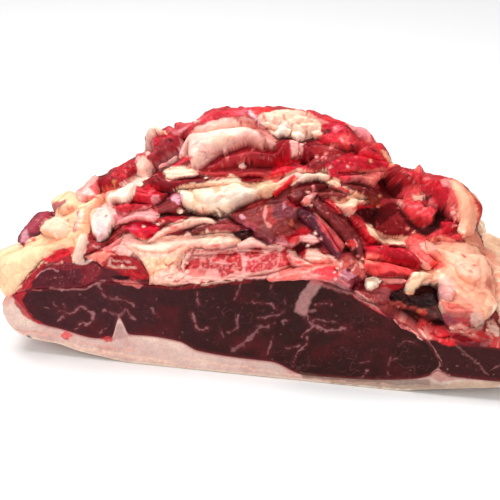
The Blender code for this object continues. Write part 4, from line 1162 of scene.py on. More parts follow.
        (340, 262, 346, 256, 352, 255, 360, 257, 367, 262, 367, 272, 361, 281, 352, 285, 344, 281,
         340, 272), {"fibre": -70}),
    ("roll_crimson", "torn", 2.5, 2, CREAM_FAT,
        (358, 260, 363, 259, 367, 264, 363, 269, 359, 266), {}),
    ("roll_crimson", "fold", 3.5, 3, ("mauve", "rose", "wine"),
        (339, 270, 350, 271, 358, 278, 351, 291, 340, 287, 329, 282), {"fibre": -30}),
    ("roll_crimson", "wet", 7, 6, ("coral", "rose", "crimson"),
        (365, 257, 372, 254, 382, 257, 395, 261, 410, 264, 418, 270, 411, 280, 398, 279, 385, 280,
         372, 278, 365, 270), {"fibre": -12}),
    ("roll_crimson", "wet", 11, 7, RED_LEAN,
        (365, 245, 372, 242, 385, 242, 400, 245, 411, 249, 419, 258, 424, 266, 418, 270, 408, 266,
         395, 264, 380, 260, 367, 259), {"fibre": -14}),
    ("rim_of_hollow", "plump", 6, 4, PALE_FAT,
        (378, 241, 383, 236, 392, 235, 405, 237, 415, 240, 411, 247, 402, 246, 390, 244, 382, 244),
         {"fibre": 0}),
    # the shoulder roll, its granular heart and the fat around it
    ("roll_shoulder", "wet", 19, 13, RED_LEAN,
        (), {"strip": ((68, 0.96), (80, 0.99), (92, 1.0), (104, 1.0), (116, 0.98), (125, 0.96)),
        "width": 34, "rough": 0.6}),
    ("roll_shoulder", "wet", 4, 5, RED_LEAN,
        (397, 198, 399, 189, 396, 180, 405, 171, 420, 170, 440, 176, 445, 187, 451, 196, 446, 207,
         439, 204, 432, 197, 425, 199, 415, 195, 408, 192, 401, 200), {"fibre": -12, "rough": 0.5}),
    ("roll_shoulder", "mince", 6.5, 7, ("coral", "scarlet", "crimson"),
        (396, 199, 403, 199, 412, 197, 425, 199, 431, 198, 438, 207, 436, 216, 433, 224, 425, 227,
         417, 223, 409, 220, 402, 213), {}),
    ("roll_shoulder", "wet", 3.5, 5, ROSY_LEAN,
        (440, 180, 451, 178, 454, 187, 459, 205, 461, 222, 455, 222, 449, 206, 449, 191, 441, 187),
         {"fibre": -75}),
    ("roll_shoulder", "wet", 6.5, 5, RED_LEAN,
        (440, 220, 447, 216, 457, 219, 459, 227, 450, 233, 442, 233), {"fibre": 20}),
    ("roll_shoulder", "wet", 6, 5, BRIGHT_LEAN,
        (424, 239, 433, 229, 440, 228, 450, 231, 461, 229, 463, 238, 450, 242, 440, 240, 430, 242),
         {"fibre": 5}),
    ("fat_roll", "plump", 5, 7, PEACH_FAT,
        (450, 177, 458, 177, 466, 184, 473, 192, 479, 203, 482, 215, 480, 226, 473, 236, 462, 239,
         457, 230, 460, 220, 458, 205, 455, 195, 452, 185), {"fibre": -60, "rough": 0.5}),
    ("fat_roll", "skin", 3, 2.5, ROSY_LEAN,
        (465, 183, 472, 189, 481, 203, 485, 215, 483, 225, 478, 227, 480, 212, 476, 200, 468, 191),
         {"fibre": -60}),
    ("fat_roll", "plump", 3, 2, CREAM_FAT, (412, 195, 420, 193, 426, 194, 422, 200, 414, 200), {}),
    # the corner
    ("fat_corner", "plump", 13, 9, PEACH_FAT,
        (431, 244, 442, 240, 455, 242, 463, 240, 473, 244, 483, 250, 491, 262, 495, 275, 497, 292,
         496, 306, 491, 311, 488, 319, 478, 326, 470, 323, 455, 323, 445, 319, 439, 308, 438, 300,
         437, 291, 430, 285, 420, 287, 414, 293, 406, 293, 403, 288, 410, 278, 411, 271, 420, 267,
         430, 268, 436, 262, 428, 256, 423, 248), {"fibre": -50, "rough": 0.5}),
    ("fat_corner", "mince", 5, 4, ("blush", "coral", "rose"),
        (403, 244, 405, 236, 412, 232, 420, 234, 427, 239, 425, 248, 431, 255, 438, 262, 430, 270,
         421, 268, 414, 258, 408, 249), {"fibre": -40}),
    ("fat_corner", "plump", 6, 5, ("bone", "blush", "rose"),
        (437, 286, 444, 279, 452, 283, 457, 292, 453, 301, 444, 304, 438, 299), {"fibre": -60}),
    ("fat_corner", "plump", 4, 4, ("amber", "blush", "rose"),
        (439, 303, 452, 299, 460, 294, 470, 299, 479, 308, 470, 314, 455, 311, 445, 313),
         {"fibre": -20}),
    ("fat_corner", "plump", 5, 4, WHITE_FAT,
        (452, 262, 462, 256, 474, 258, 482, 268, 480, 280, 470, 282, 458, 276), {"fibre": -50}),
    ("fat_corner", "plump", 5, 3, ("slate", "bone", "mauve"),
        (469, 319, 474, 312, 481, 315, 485, 322, 477, 327), {}),
    ("fat_corner", "skin", 2.5, 2, ("mauve", "rose", "wine"),
        (441, 313, 455, 310, 468, 312, 471, 322, 460, 329, 447, 326), {"fibre": -10}),
    ("prong", "plump", 10, 4, CREAM_FAT,
        (411, 269, 421, 268, 433, 272, 433, 279, 424, 284, 417, 290, 410, 294, 403, 292, 404, 284,
         409, 277), {"fibre": 50}),
    ("nub", "plump", 8, 3.5, PALE_FAT,
        (365, 284, 368, 276, 373, 273, 380, 274, 383, 280, 378, 287, 371, 291, 366, 290),
         {"fibre": 50}),
    ("nub", "skin", 2, 1.5, ROSE_MEAT,
        (380, 279, 390, 277, 402, 278, 411, 280, 402, 283, 390, 284), {"fibre": -5}),
    ("lean_right", "torn", 3.5, 3, ("rust", "dusk", "umber"),
        (390, 300, 402, 299, 413, 304, 405, 311, 396, 313, 390, 308), {"fibre": 10}),
    ("lean_right", "torn", 3.5, 2.5, ("rust", "dusk", "umber"),
        (417, 307, 424, 305, 428, 310, 422, 315), {}),
    ("lean_right", "rope", 3.5, 2.5, ROSY_LEAN,
        (415, 318, 425, 315, 432, 324, 444, 329, 451, 335, 436, 338, 428, 331, 420, 326),
         {"fibre": -25}),
    # along the edge of the front cut
    ("lean_left", "torn", 3.5, 3, WINE_LEAN,
        (107, 256, 118, 252, 128, 255, 136, 261, 143, 269, 149, 277, 140, 281, 130, 279, 118, 268),
         {"fibre": -35}),
    ("lean_left", "wet", 3.5, 4, RED_LEAN,
        (15, 292, 25, 280, 35, 267, 45, 257, 55, 249, 68, 246, 75, 247, 73, 256, 75, 263, 65, 266,
         50, 263, 42, 269, 36, 277, 28, 289, 18, 294), {"fibre": 30}),
    ("fat_left", "plump", 5, 3, ("cream", "white", "rose"),
        (72, 258, 74, 250, 78, 241, 81, 233, 86, 232, 89, 240, 87, 248, 84, 256, 85, 261, 78, 264,
         72, 263), {"fibre": 75}),
    ("fat_left", "leaf", 3.5, 2.5, ("coral", "blush", "wine"),
        (83, 257, 92, 252, 100, 249, 112, 251, 119, 255, 112, 259, 108, 263, 103, 266, 98, 261,
         90, 261), {"fibre": 5}),
    ("lean_right", "mince", 3, 2.5, ROSE_MEAT,
        (388, 311, 398, 315, 410, 319, 422, 322, 431, 330, 438, 341, 428, 342, 416, 334, 402, 327,
         392, 319), {"fibre": -28}),
    ("lean_right", "rope", 2.5, 2, PINK_FAT,
        (404, 320, 412, 322, 421, 328, 430, 338, 426, 339, 417, 331, 409, 326), {"fibre": -35}),
]

# What each piece is finished with and which solids it stands for.
PIECES = {
    "lean_core": ("bright_lean", "deep", ("boned_side",)),
    "lean_back": ("bright_lean", "lean", ("boned_side",)),
    "lean_left": ("bright_lean", "lean", ("boned_side",)),
    "lean_middle": ("bright_lean", "lean", ("boned_side",)),
    "lean_right": ("bright_lean", "lean", ("boned_side",)),
    "lean_ridge": ("bright_lean", "lean", ("boned_side",)),
    "lean_shoulder": ("dark_lean", "lean", ("shoulder_band",)),
    "lean_back_band": ("bright_lean", "lean", ("back_band",)),
    "roll_red": ("bright_lean", "lean", ("red_roll",)),
    "lean_hollow": ("bright_lean", "deep", ("red_heart",)),
    "roll_crimson": ("bright_lean", "lean", ("crimson_roll",)),
    "roll_shoulder": ("bright_lean", "lean", ("shoulder_roll",)),
    "flap_brown": ("brown_lean", "lean", ("brown_flap",)),
    "window": ("marbled_lean", "lean", ("marbled_layer",)),
    "fat_left": ("peach_fat", "fat", ("left_fat",)),
    "fat_plate": ("peach_fat", "fat", ("inner_fat",)),
    "fat_end": ("peach_fat", "fat", ("end_fat",)),
    "fat_back_left": ("peach_fat", "fat", ("back_fat_a",)),
    "fat_back_middle": ("cream_fat", "fat", ("back_fat_b",)),
    "fat_back_right": ("cream_fat", "fat", ("back_fat_c",)),
    "fat_crown": ("cream_fat", "fat", ("crown_fat",)),
    "fat_centre": ("cream_fat", "fat", ("centre_fat",)),
    "fat_top": ("cream_fat", "fat", ("top_fat",)),
    "fat_roll": ("cream_fat", "fat", ("roll_fat",)),
    "fat_corner": ("cream_fat", "fat", ("corner_fat",)),
    "fat_knuckle": ("cream_fat", "fat", ("knuckle_fat",)),
    "prong": ("cream_fat", "fat", ("corner_prong",)),
    "rim_of_hollow": ("cream_fat", "fat", ("hollow_rim",)),
    "crumbs": ("cream_fat", "fat", ()),
    "nub": ("cream_fat", "fat", ("drop_nub",)),
    "band_cream": ("pink_fat", "fat", ("cream_band",)),
    "band_coral": ("pink_fat", "fat", ("coral_band",)),
    "band_twisted": ("pink_fat", "fat", ("twisted_band",)),
    "flap_pink": ("pink_fat", "fat", ("pink_flap",)),
}

# Colour areas painted over the pieces that face the picture: colour, outline in the picture, and
# strength and softness where they are not 1.
# Their colours hold painted light: the darkest, in gaps, slits and hollows, are painted shade.
AREAS = (
    # the cap's thin right part
    ((150, 128, 110), (330, 379, 372, 381, 410, 383, 450, 384, 500, 384, 500, 391, 440, 392, 380, 387,
        330, 384), 0.7, 2.0),
    # what the far right turns away from the eye
    ((232, 176, 146), (466, 183, 480, 188, 494, 208, 498, 242, 500, 300, 490, 300, 478, 262, 466, 244,
        464, 215)),
    # left end
    ((158, 60, 78), (24, 231, 28, 221, 40, 212, 55, 203, 66, 199, 66, 203, 58, 208, 56, 212, 52, 218,
        45, 222, 41, 228, 35, 232, 28, 234)),
    ((110, 25, 35), (46, 220, 56, 212, 55, 216, 50, 220)),
    ((205, 150, 165), (19, 240, 22, 232, 26, 229, 28, 234, 30, 239, 26, 243, 25, 245, 20, 246)),
    ((130, 40, 60), (20, 242, 24, 240, 25, 245, 20, 247)),
    ((254, 218, 178), (0, 252, 8, 248, 20, 250, 26, 246, 40, 248, 52, 250, 44, 262, 34, 270, 24, 284,
        14, 296, 0, 294)),
    ((252, 235, 208), (42, 226, 46, 221, 52, 219, 56, 213, 62, 213, 66, 222, 68, 232, 66, 237, 58, 239,
        50, 237, 45, 233)),
    ((250, 196, 155), (50, 240, 60, 238, 72, 240, 76, 246, 66, 247, 58, 248, 50, 252, 42, 248,
        44, 243)),
    ((252, 214, 174), (66, 203, 74, 195, 80, 196, 84, 206, 76, 212, 74, 224, 70, 232, 68, 222,
        64, 212)),
    ((246, 182, 148), (84, 208, 92, 204, 100, 196, 107, 195, 104, 206, 96, 212, 90, 222, 89, 232,
        84, 227, 83, 216)),
    ((252, 224, 208), (76, 224, 80, 210, 83, 208, 84, 214, 82, 222, 78, 228, 74, 232)),
    ((242, 150, 132), (66, 210, 68, 207, 75, 206, 75, 209, 69, 212)),
    ((240, 110, 92), (66, 220, 68, 218, 70, 220, 68, 222)),
    ((200, 50, 60), (31, 240, 32, 238, 36, 238, 36, 242, 32, 242)),
    ((250, 205, 202), (78, 197, 84, 188, 90, 184, 92, 192, 90, 199, 84, 203, 79, 201)),
    ((236, 88, 90), (88, 188, 96, 181, 99, 183, 99, 193, 93, 191)),
    ((235, 90, 92), (86, 199, 87, 196, 98, 196, 98, 198)),
    ((238, 138, 122), (99, 194, 100, 190, 104, 187, 112, 187, 119, 190, 113, 194, 103, 197)),
    ((165, 30, 45), (98, 180, 112, 173, 119, 177, 116, 186, 104, 188, 99, 189)),
    ((196, 34, 50), (110, 174, 122, 164, 134, 162, 139, 168, 136, 175, 130, 181, 122, 187, 114, 186,
        116, 178)),
    ((186, 28, 45), (112, 172, 120, 163, 132, 156, 145, 151, 147, 156, 141, 158, 137, 163, 130, 162,
        123, 168, 117, 173)),
    ((140, 15, 32), (126, 173, 133, 168, 137, 173, 129, 180)),
    ((250, 190, 130), (112, 182, 114, 180, 116, 182, 114, 184)),
    ((252, 234, 230), (92, 226, 93, 214, 99, 207, 107, 202, 115, 203, 118, 211, 117, 219, 112, 226,
        108, 232, 104, 240, 98, 240, 94, 235)),
    ((246, 224, 228), (93, 224, 98, 218, 106, 226, 106, 235, 102, 240, 97, 240, 94, 234)),
    ((226, 50, 65), (104, 216, 105, 214, 107, 216, 105, 218)),
    ((252, 228, 216), (107, 202, 108, 195, 116, 191, 123, 188, 129, 182, 134, 177, 143, 172, 156, 170,
        150, 175, 143, 181, 137, 186, 134, 193, 130, 200, 122, 203, 114, 204)),
    ((215, 60, 75), (112, 206, 120, 203, 130, 200, 131, 212, 124, 213, 118, 208)),
    ((60, 10, 15), (119, 205, 125, 202, 124, 207)),
    ((226, 150, 160), (112, 215, 120, 212, 131, 214, 131, 219, 120, 223, 114, 222)),
    ((90, 15, 20), (98, 243, 104, 239, 110, 233, 116, 226, 117, 230, 110, 238, 103, 244)),
    ((172, 30, 42), (118, 223, 131, 218, 131, 231, 122, 233, 114, 231)),
    ((165, 48, 52), (93, 233, 98, 242, 104, 244, 112, 238, 116, 232, 112, 242, 106, 248, 96, 252,
        87, 256, 85, 252, 87, 240, 90, 232)),
    ((226, 130, 130), (99, 250, 106, 245, 114, 240, 122, 236, 118, 245, 111, 251)),
    ((240, 188, 178), (112, 251, 118, 243, 124, 235, 134, 234, 140, 240, 134, 250, 128, 260, 120, 257)),
    ((226, 45, 60), (40, 262, 47, 256, 58, 250, 66, 248, 75, 247, 73, 255, 60, 259, 50, 262)),
    ((176, 40, 50), (18, 292, 30, 276, 42, 266, 58, 260, 73, 257, 72, 262, 60, 266, 48, 266, 38, 274,
        28, 288)),
    ((253, 228, 208), (72, 259, 75, 250, 79, 241, 82, 233, 86, 233, 88, 241, 86, 249, 83, 257, 84, 261,
        78, 263)),
    ((246, 150, 132), (84, 255, 92, 253, 104, 252, 118, 254, 112, 258, 104, 263, 98, 260)),
    # nub and the lean behind the crown
    ((244, 214, 196), (145, 150, 144, 136, 149, 127, 155, 125, 162, 129, 160, 134, 154, 138, 149, 147)),
    ((170, 130, 110), (152, 130, 154, 129, 155, 130, 154, 131)),
    ((248, 190, 160), (159, 131, 166, 130, 168, 134, 161, 136)),
    ((205, 90, 95), (165, 129, 175, 124, 190, 119, 205, 114, 218, 110, 222, 115, 210, 119, 200, 122,
        190, 127, 178, 131, 168, 132)),
    ((215, 40, 60), (200, 122, 206, 117, 220, 111, 228, 111, 224, 118, 210, 121)),
    ((244, 190, 190), (194, 121, 205, 118, 213, 115, 203, 120, 197, 123)),
    ((228, 155, 162), (172, 132, 182, 127, 190, 125, 185, 131, 175, 135)),
    ((192, 25, 48), (150, 147, 148, 143, 152, 138, 155, 133, 161, 134, 161, 140, 158, 145, 152, 147)),
    ((226, 66, 78), (158, 135, 166, 134, 178, 134, 190, 128, 187, 134, 172, 138, 162, 138)),
    ((165, 48, 60), (160, 142, 170, 139, 180, 134, 187, 131, 184, 138, 180, 146, 180, 154, 172, 158,
        160, 164, 154, 160, 156, 150)),
    ((85, 15, 25), (166, 142, 170, 139, 173, 141, 170, 143)),
    ((115, 22, 32), (182, 132, 188, 129, 187, 134, 182, 138)),
    ((236, 208, 222), (179, 148, 183, 141, 188, 147, 186, 154, 180, 157)),
    ((250, 212, 204), (167, 159, 172, 155, 176, 157, 183, 155, 178, 161, 170, 162)),
    ((246, 180, 182), (157, 168, 166, 162, 176, 160, 186, 156, 181, 163, 170, 167, 160, 170)),
    ((226, 70, 84), (169, 164, 180, 159, 188, 152, 193, 152, 192, 158, 184, 162, 176, 166, 169, 168)),
    ((242, 192, 176), (138, 159, 143, 155, 150, 160, 153, 165, 150, 170, 145, 175, 139, 173, 137, 168)),
    ((236, 160, 156), (137, 155, 141, 156, 141, 160, 136, 160)),
    ((253, 226, 204), (163, 170, 170, 167, 180, 166, 190, 167, 199, 171, 197, 174, 188, 176, 178, 178,
        170, 179, 165, 177)),
    ((244, 192, 178), (164, 178, 170, 178, 176, 178, 170, 181)),
    ((218, 152, 142), (189, 165, 200, 158, 212, 153, 221, 152, 214, 160, 202, 168, 195, 171, 187, 168)),
    ((140, 26, 38), (147, 179, 158, 171, 163, 173, 166, 180, 182, 178, 200, 177, 196, 183, 182, 188,
        166, 191, 150, 187)),
    ((206, 36, 52), (134, 202, 138, 191, 148, 184, 160, 187, 163, 195, 154, 203, 142, 203)),
    ((230, 90, 100), (148, 190, 154, 186, 156, 190, 150, 193)),
    ((212, 96, 110), (166, 199, 176, 192, 184, 190, 184, 201, 172, 201)),
    ((226, 180, 200), (170, 200, 173, 196, 178, 193, 183, 195, 183, 203, 176, 204)),
    ((238, 152, 162), (151, 198, 154, 194, 159, 195, 160, 200, 156, 204, 152, 203)),
    # crown
    ((250, 216, 205), (182, 156, 181, 147, 187, 138, 195, 129, 206, 122, 220, 118, 238, 118, 250, 123,
        262, 129, 271, 136, 277, 145, 270, 151, 258, 148, 246, 147, 230, 150, 214, 157, 200, 166,
        192, 168, 192, 156)),
    ((255, 240, 226), (203, 132, 212, 125, 226, 121, 238, 123, 246, 130, 240, 137, 230, 142, 216, 146,
        205, 143)),
    ((251, 220, 194), (212, 135, 224, 132, 236, 137, 232, 143, 220, 147, 212, 143)),
    ((216, 158, 148), (232, 118, 245, 117, 252, 120, 260, 126, 270, 132, 278, 139, 274, 143, 266, 140,
        257, 133, 247, 126, 240, 122)),
    ((246, 208, 194), (240, 139, 254, 136, 268, 142, 276, 147, 270, 151, 262, 151, 250, 147, 240, 148,
        230, 150, 228, 146)),
    ((216, 56, 76), (200, 120, 210, 113, 222, 110, 240, 109, 250, 108, 258, 109, 262, 113, 255, 116,
        248, 112, 240, 115, 228, 117, 215, 119, 205, 123)),
    ((188, 24, 48), (211, 119, 218, 112, 230, 112, 227, 117, 216, 120)),
    ((228, 115, 128), (232, 110, 246, 109, 250, 113, 240, 116)),
    ((236, 50, 50), (250, 108, 262, 106, 273, 110, 268, 113, 262, 112, 256, 115)),
    ((240, 214, 224), (247, 112, 251, 110, 256, 115, 262, 117, 268, 123, 277, 131, 278, 136, 271, 132,
        262, 126, 254, 119)),
    ((105, 42, 42), (266, 128, 272, 129, 279, 136, 275, 138)),
    # popcorn fat
    ((253, 228, 204), (262, 113, 276, 110, 296, 110, 312, 114, 322, 121, 326, 128, 321, 136, 312, 136,
        303, 140, 295, 138, 287, 136, 277, 138, 272, 133, 264, 124, 258, 117)),
    ((255, 251, 240), (277, 122, 286, 120, 291, 126, 290, 133, 284, 137, 276, 137, 274, 133, 280, 128)),
    ((255, 250, 236), (293, 130, 299, 126, 304, 131, 303, 138, 298, 140, 293, 136)),
    ((255, 246, 228), (264, 117, 270, 112, 274, 118, 276, 123, 268, 123, 264, 121)),
    ((252, 208, 184), (284, 112, 300, 111, 306, 116, 300, 122, 290, 120, 284, 118)),
    ((216, 142, 132), (305, 113, 314, 116, 322, 119, 331, 123, 331, 128, 324, 126, 316, 120, 308, 118)),
    # red roll and long band
    ((166, 46, 56), (200, 172, 210, 162, 225, 154, 236, 149, 250, 146, 262, 149, 276, 148, 284, 140,
        290, 141, 291, 158, 282, 163, 268, 167, 250, 168, 230, 168, 212, 170)),
    ((150, 26, 36), (262, 150, 270, 150, 276, 144, 288, 142, 290, 152, 288, 159, 278, 164, 266, 166,
        262, 160)),
    ((230, 140, 132), (222, 152, 225, 151, 229, 158, 227, 161, 224, 157)),
    ((251, 208, 202), (290, 141, 296, 139, 298, 146, 298, 156, 294, 158, 291, 150)),
    ((246, 192, 182), (299, 143, 306, 139, 304, 150, 299, 156)),
    ((226, 92, 88), (291, 155, 300, 153, 305, 156, 297, 160)),
    ((128, 20, 32), (301, 146, 312, 141, 322, 146, 329, 152, 323, 162, 312, 169, 304, 166, 300, 160,
        304, 152)),
    # painted shadows in the gaps under the red roll
    ((40, 8, 12), (283, 160, 290, 157, 299, 157, 297, 161, 288, 163)),
    ((35, 10, 12), (244, 163, 252, 161, 258, 164, 251, 166, 244, 166)),
    ((250, 202, 192), (239, 164, 243, 163, 245, 166, 242, 168, 239, 167)),
    ((186, 60, 63), (200, 170, 215, 168, 235, 168, 262, 168, 275, 166, 285, 170, 276, 176, 262, 177,
        244, 175, 238, 177, 222, 179, 206, 176, 198, 175)),
    ((236, 38, 56), (272, 170, 276, 165, 283, 160, 292, 159, 301, 162, 307, 167, 300, 170, 294, 173,
        286, 175, 278, 179, 270, 178)),
    ((240, 76, 94), (290, 161, 300, 164, 312, 170, 320, 173, 310, 173, 300, 170, 293, 167)),
    ((140, 25, 32), (240, 177, 252, 175, 261, 177, 259, 182, 250, 184, 245, 181)),
    ((242, 122, 112), (258, 180, 270, 177, 283, 175, 277, 183, 268, 182)),
    ((253, 224, 202), (284, 177, 292, 170, 300, 168, 305, 171, 314, 173, 326, 170, 332, 175, 328, 180,
        318, 180, 308, 182, 300, 181, 296, 185, 290, 185)),
    ((248, 200, 192), (296, 170, 303, 172, 303, 179, 296, 180)),
    ((251, 216, 198), (273, 192, 279, 184, 286, 177, 291, 175, 288, 181, 280, 188)),
    ((236, 45, 50), (272, 194, 280, 187, 288, 180, 294, 173, 297, 176, 290, 184, 282, 191, 275, 197)),
    # right upper
    ((190, 25, 48), (320, 124, 332, 121, 346, 122, 352, 129, 346, 135, 330, 135, 322, 132)),
    ((236, 92, 112), (330, 127, 338, 124, 343, 128, 336, 132)),
    ((85, 5, 20), (325, 129, 332, 128, 330, 134, 324, 133)),
    ((226, 50, 66), (314, 138, 328, 133, 342, 134, 352, 138, 357, 145, 350, 150, 340, 149, 330, 146,
        320, 143)),
    ((241, 112, 106), (338, 136, 348, 136, 350, 143, 342, 145)),
    ((60, 15, 25), (350, 144, 354, 144, 355, 150, 351, 149)),
    ((241, 142, 152), (348, 124, 358, 123, 366, 127, 372, 132, 369, 139, 362, 139, 356, 132)),
    ((251, 194, 184), (344, 121, 352, 121, 356, 124, 350, 126)),
    ((192, 30, 42), (370, 131, 376, 136, 378, 145, 371, 141)),
    ((200, 50, 60), (361, 139, 372, 141, 379, 148, 375, 153, 366, 149, 359, 145)),
    ((251, 194, 158), (382, 150, 387, 152, 396, 164, 392, 167, 386, 160)),
    ((150, 40, 45), (310, 148, 322, 144, 340, 145, 353, 150, 346, 156, 335, 160, 326, 165, 318, 171,
        310, 169)),
    ((168, 72, 72), (318, 145, 338, 144, 353, 150, 338, 151, 322, 149)),
    ((216, 36, 56), (330, 168, 336, 160, 350, 152, 366, 150, 380, 155, 390, 165, 396, 174, 386, 172,
        370, 169, 356, 166, 344, 169)),
    ((222, 40, 66), (325, 164, 336, 160, 348, 164, 353, 169, 344, 173, 332, 173, 326, 169)),
    ((236, 82, 92), (338, 170, 356, 166, 368, 170, 360, 175, 346, 174)),
    ((226, 122, 112), (354, 171, 370, 170, 384, 167, 388, 174, 378, 181, 366, 180, 357, 177)),
    ((246, 152, 136), (365, 176, 374, 179, 373, 187, 366, 183)),
    ((236, 62, 82), (329, 173, 345, 174, 353, 177, 348, 181, 338, 178, 330, 177)),
    ((253, 208, 178), (321, 182, 334, 177, 341, 180, 339, 187, 330, 185)),
    ((253, 216, 192), (337, 188, 346, 187, 353, 192, 350, 196, 342, 193)),
    ((226, 40, 56), (329, 185, 340, 187, 348, 191, 353, 197, 344, 197, 334, 191)),
    ((118, 34, 34), (349, 183, 358, 180, 366, 184, 373, 186, 381, 190, 385, 197, 380, 200, 370, 198,
        360, 193, 351, 191)),
    ((80, 5, 15), (376, 181, 386, 177, 400, 177, 405, 184, 400, 193, 394, 199, 384, 199, 380, 190)),
    ((152, 15, 30), (384, 171, 396, 171, 405, 178, 396, 183, 386, 180)),
    ((215, 26, 50), (402, 173, 420, 171, 438, 176, 444, 186, 437, 191, 424, 189, 414, 187, 411, 179)),
    ((152, 10, 30), (398, 167, 404, 171, 412, 176, 417, 184, 404, 187, 397, 179)),
    ((236, 92, 97), (402, 191, 412, 188, 418, 192, 412, 197, 404, 197)),
    ((250, 202, 172), (412, 195, 424, 193, 425, 198, 415, 200)),
    # middle left
    ((200, 46, 60), (112, 208, 122, 204, 132, 200, 148, 200, 153, 204, 141, 208, 130, 212, 120, 213)),
    ((242, 168, 168), (112, 224, 124, 217, 132, 212, 142, 207, 150, 207, 157, 210, 159, 216, 154, 223,
        146, 223, 140, 220, 130, 221, 118, 226)),
    ((240, 112, 112), (148, 205, 156, 205, 158, 213, 151, 209)),
    # painted shade in the dark gap above the twisted band
    ((66, 14, 20), (156, 216, 166, 212, 180, 213, 192, 211, 206, 215, 217, 214, 223, 217, 218, 222,
        208, 218, 192, 216, 178, 216, 164, 217)),
    ((190, 36, 50), (156, 220, 168, 216, 188, 216, 182, 219, 170, 223, 160, 227, 156, 224)),
    ((226, 36, 66), (125, 229, 132, 224, 142, 221, 152, 221, 160, 226, 157, 234, 148, 241, 140, 239,
        134, 235, 130, 231)),
    ((232, 84, 112), (126, 229, 134, 224, 139, 228, 130, 233)),
    ((150, 50, 50), (104, 245, 112, 235, 122, 228, 129, 232, 120, 235, 114, 241, 108, 247)),
    ((241, 206, 188), (148, 240, 158, 232, 168, 226, 178, 220, 190, 218, 200, 216, 210, 218, 217, 222,
        204, 224, 190, 227, 176, 229, 164, 234, 156, 239)),
    ((222, 164, 150), (160, 235, 176, 230, 192, 226, 206, 223, 204, 226, 190, 229, 174, 232, 162, 237)),
    ((236, 134, 124), (169, 227, 178, 225, 177, 230, 170, 230)),
    # painted shade under the twisted band
    ((118, 54, 58), (184, 231, 198, 228, 207, 227, 200, 232, 192, 235)),
    ((176, 76, 80), (204, 228, 216, 222, 228, 220, 240, 220, 251, 226, 240, 230, 228, 232, 214, 232,
        205, 231)),
    ((253, 224, 204), (128, 246, 140, 240, 156, 238, 176, 235, 190, 236, 206, 233, 220, 231, 233, 233,
        237, 240, 226, 245, 212, 245, 200, 247, 190, 251, 180, 255, 166, 257, 150, 259, 138, 259,
        128, 254)),
    ((255, 237, 218), (140, 245, 160, 240, 180, 238, 176, 244, 160, 248, 144, 251)),
    ((246, 192, 168), (167, 247, 182, 244, 191, 248, 181, 255, 168, 255)),
    ((255, 236, 224), (183, 237, 187, 232, 192, 236, 188, 240)),
    ((255, 234, 220), (204, 232, 206, 228, 210, 234, 205, 235)),
    # centre fat
    ((254, 240, 216), (174, 190, 181, 186, 187, 183, 200, 184, 212, 180, 226, 180, 230, 174, 238, 177,
        242, 181, 250, 184, 258, 183, 270, 180, 280, 183, 276, 190, 268, 197, 252, 203, 238, 209,
        230, 214, 222, 216, 212, 214, 200, 213, 188, 210, 182, 202, 182, 194)),
    ((255, 248, 232), (204, 190, 226, 186, 244, 186, 253, 192, 244, 202, 228, 206, 212, 206, 204, 200)),
    ((252, 218, 184), (193, 190, 200, 193, 199, 204, 192, 207)),
    ((247, 208, 168), (212, 187, 218, 185, 221, 190, 215, 193)),
    ((252, 217, 178), (258, 183, 272, 181, 279, 184, 272, 192, 264, 198, 258, 196)),
    ((246, 206, 188), (193, 208, 204, 209, 215, 212, 206, 215, 197, 213)),
    ((236, 82, 90), (200, 209, 202, 207, 204, 209, 202, 211)),
    ((150, 110, 105), (218, 216, 226, 214, 233, 217, 226, 220, 220, 221)),
    # the brown flap
    ((142, 50, 50), (231, 214, 240, 208, 250, 203, 262, 199, 271, 200, 266, 206, 264, 214, 264, 222,
        256, 227, 246, 223, 237, 218)),
    ((202, 72, 72), (244, 207, 255, 201, 265, 197, 273, 199, 262, 203, 250, 208)),
    ((182, 82, 92), (244, 220, 256, 224, 261, 231, 250, 229)),
    # painted highlight on the brown flap
    ((226, 188, 208), (240, 214, 243, 213, 246, 219, 241, 219)),
    ((172, 52, 52), (268, 207, 275, 205, 273, 216, 279, 222, 272, 226, 267, 222)),
    ((232, 164, 154), (264, 206, 268, 204, 267, 212, 266, 220, 270, 225, 277, 226, 275, 230, 266, 227,
        263, 216)),
    ((120, 50, 66), (273, 203, 284, 201, 293, 206, 295, 214, 286, 221, 276, 220, 273, 212)),
    ((136, 50, 48), (272, 226, 280, 218, 296, 218, 298, 227, 288, 233, 276, 237, 270, 232)),
    # painted highlight on the purple part of the flap
    ((198, 152, 172), (282, 203, 285, 201, 286, 207, 283, 209)),
    ((172, 46, 56), (284, 201, 296, 199, 307, 204, 302, 209, 290, 206)),
    ((88, 38, 52), (296, 209, 306, 206, 313, 212, 313, 221, 304, 225, 298, 219)),
    ((206, 122, 142), (236, 218, 248, 224, 256, 230, 264, 234, 273, 240, 271, 244, 260, 239, 248, 231,
        238, 223)),
    ((228, 154, 168), (252, 229, 262, 233, 271, 239, 262, 237)),
    # painted shade in the gap below the flap's pale rim
    ((60, 20, 22), (232, 232, 240, 230, 250, 229, 256, 233, 248, 236, 242, 240, 236, 238)),
    ((110, 54, 54), (253, 232, 262, 238, 271, 243, 266, 247, 258, 241, 251, 235)),
    ((228, 142, 118), (288, 222, 292, 219, 297, 226, 299, 230, 292, 227)),
    ((242, 168, 178), (274, 241, 284, 236, 291, 240, 286, 245, 278, 247)),
    ((222, 40, 50), (284, 237, 294, 233, 301, 236, 296, 243, 288, 243)),
    ((251, 194, 188), (299, 237, 308, 234, 316, 236, 321, 240, 314, 244, 304, 243)),
    ((251, 208, 194), (312, 231, 318, 227, 321, 233, 316, 238)),
    # painted shade under the pink fold
    ((60, 8, 15), (292, 247, 302, 241, 314, 243, 327, 244, 318, 251, 306, 251, 298, 253)),
    ((192, 40, 50), (296, 229, 312, 226, 313, 232, 302, 236, 295, 234)),
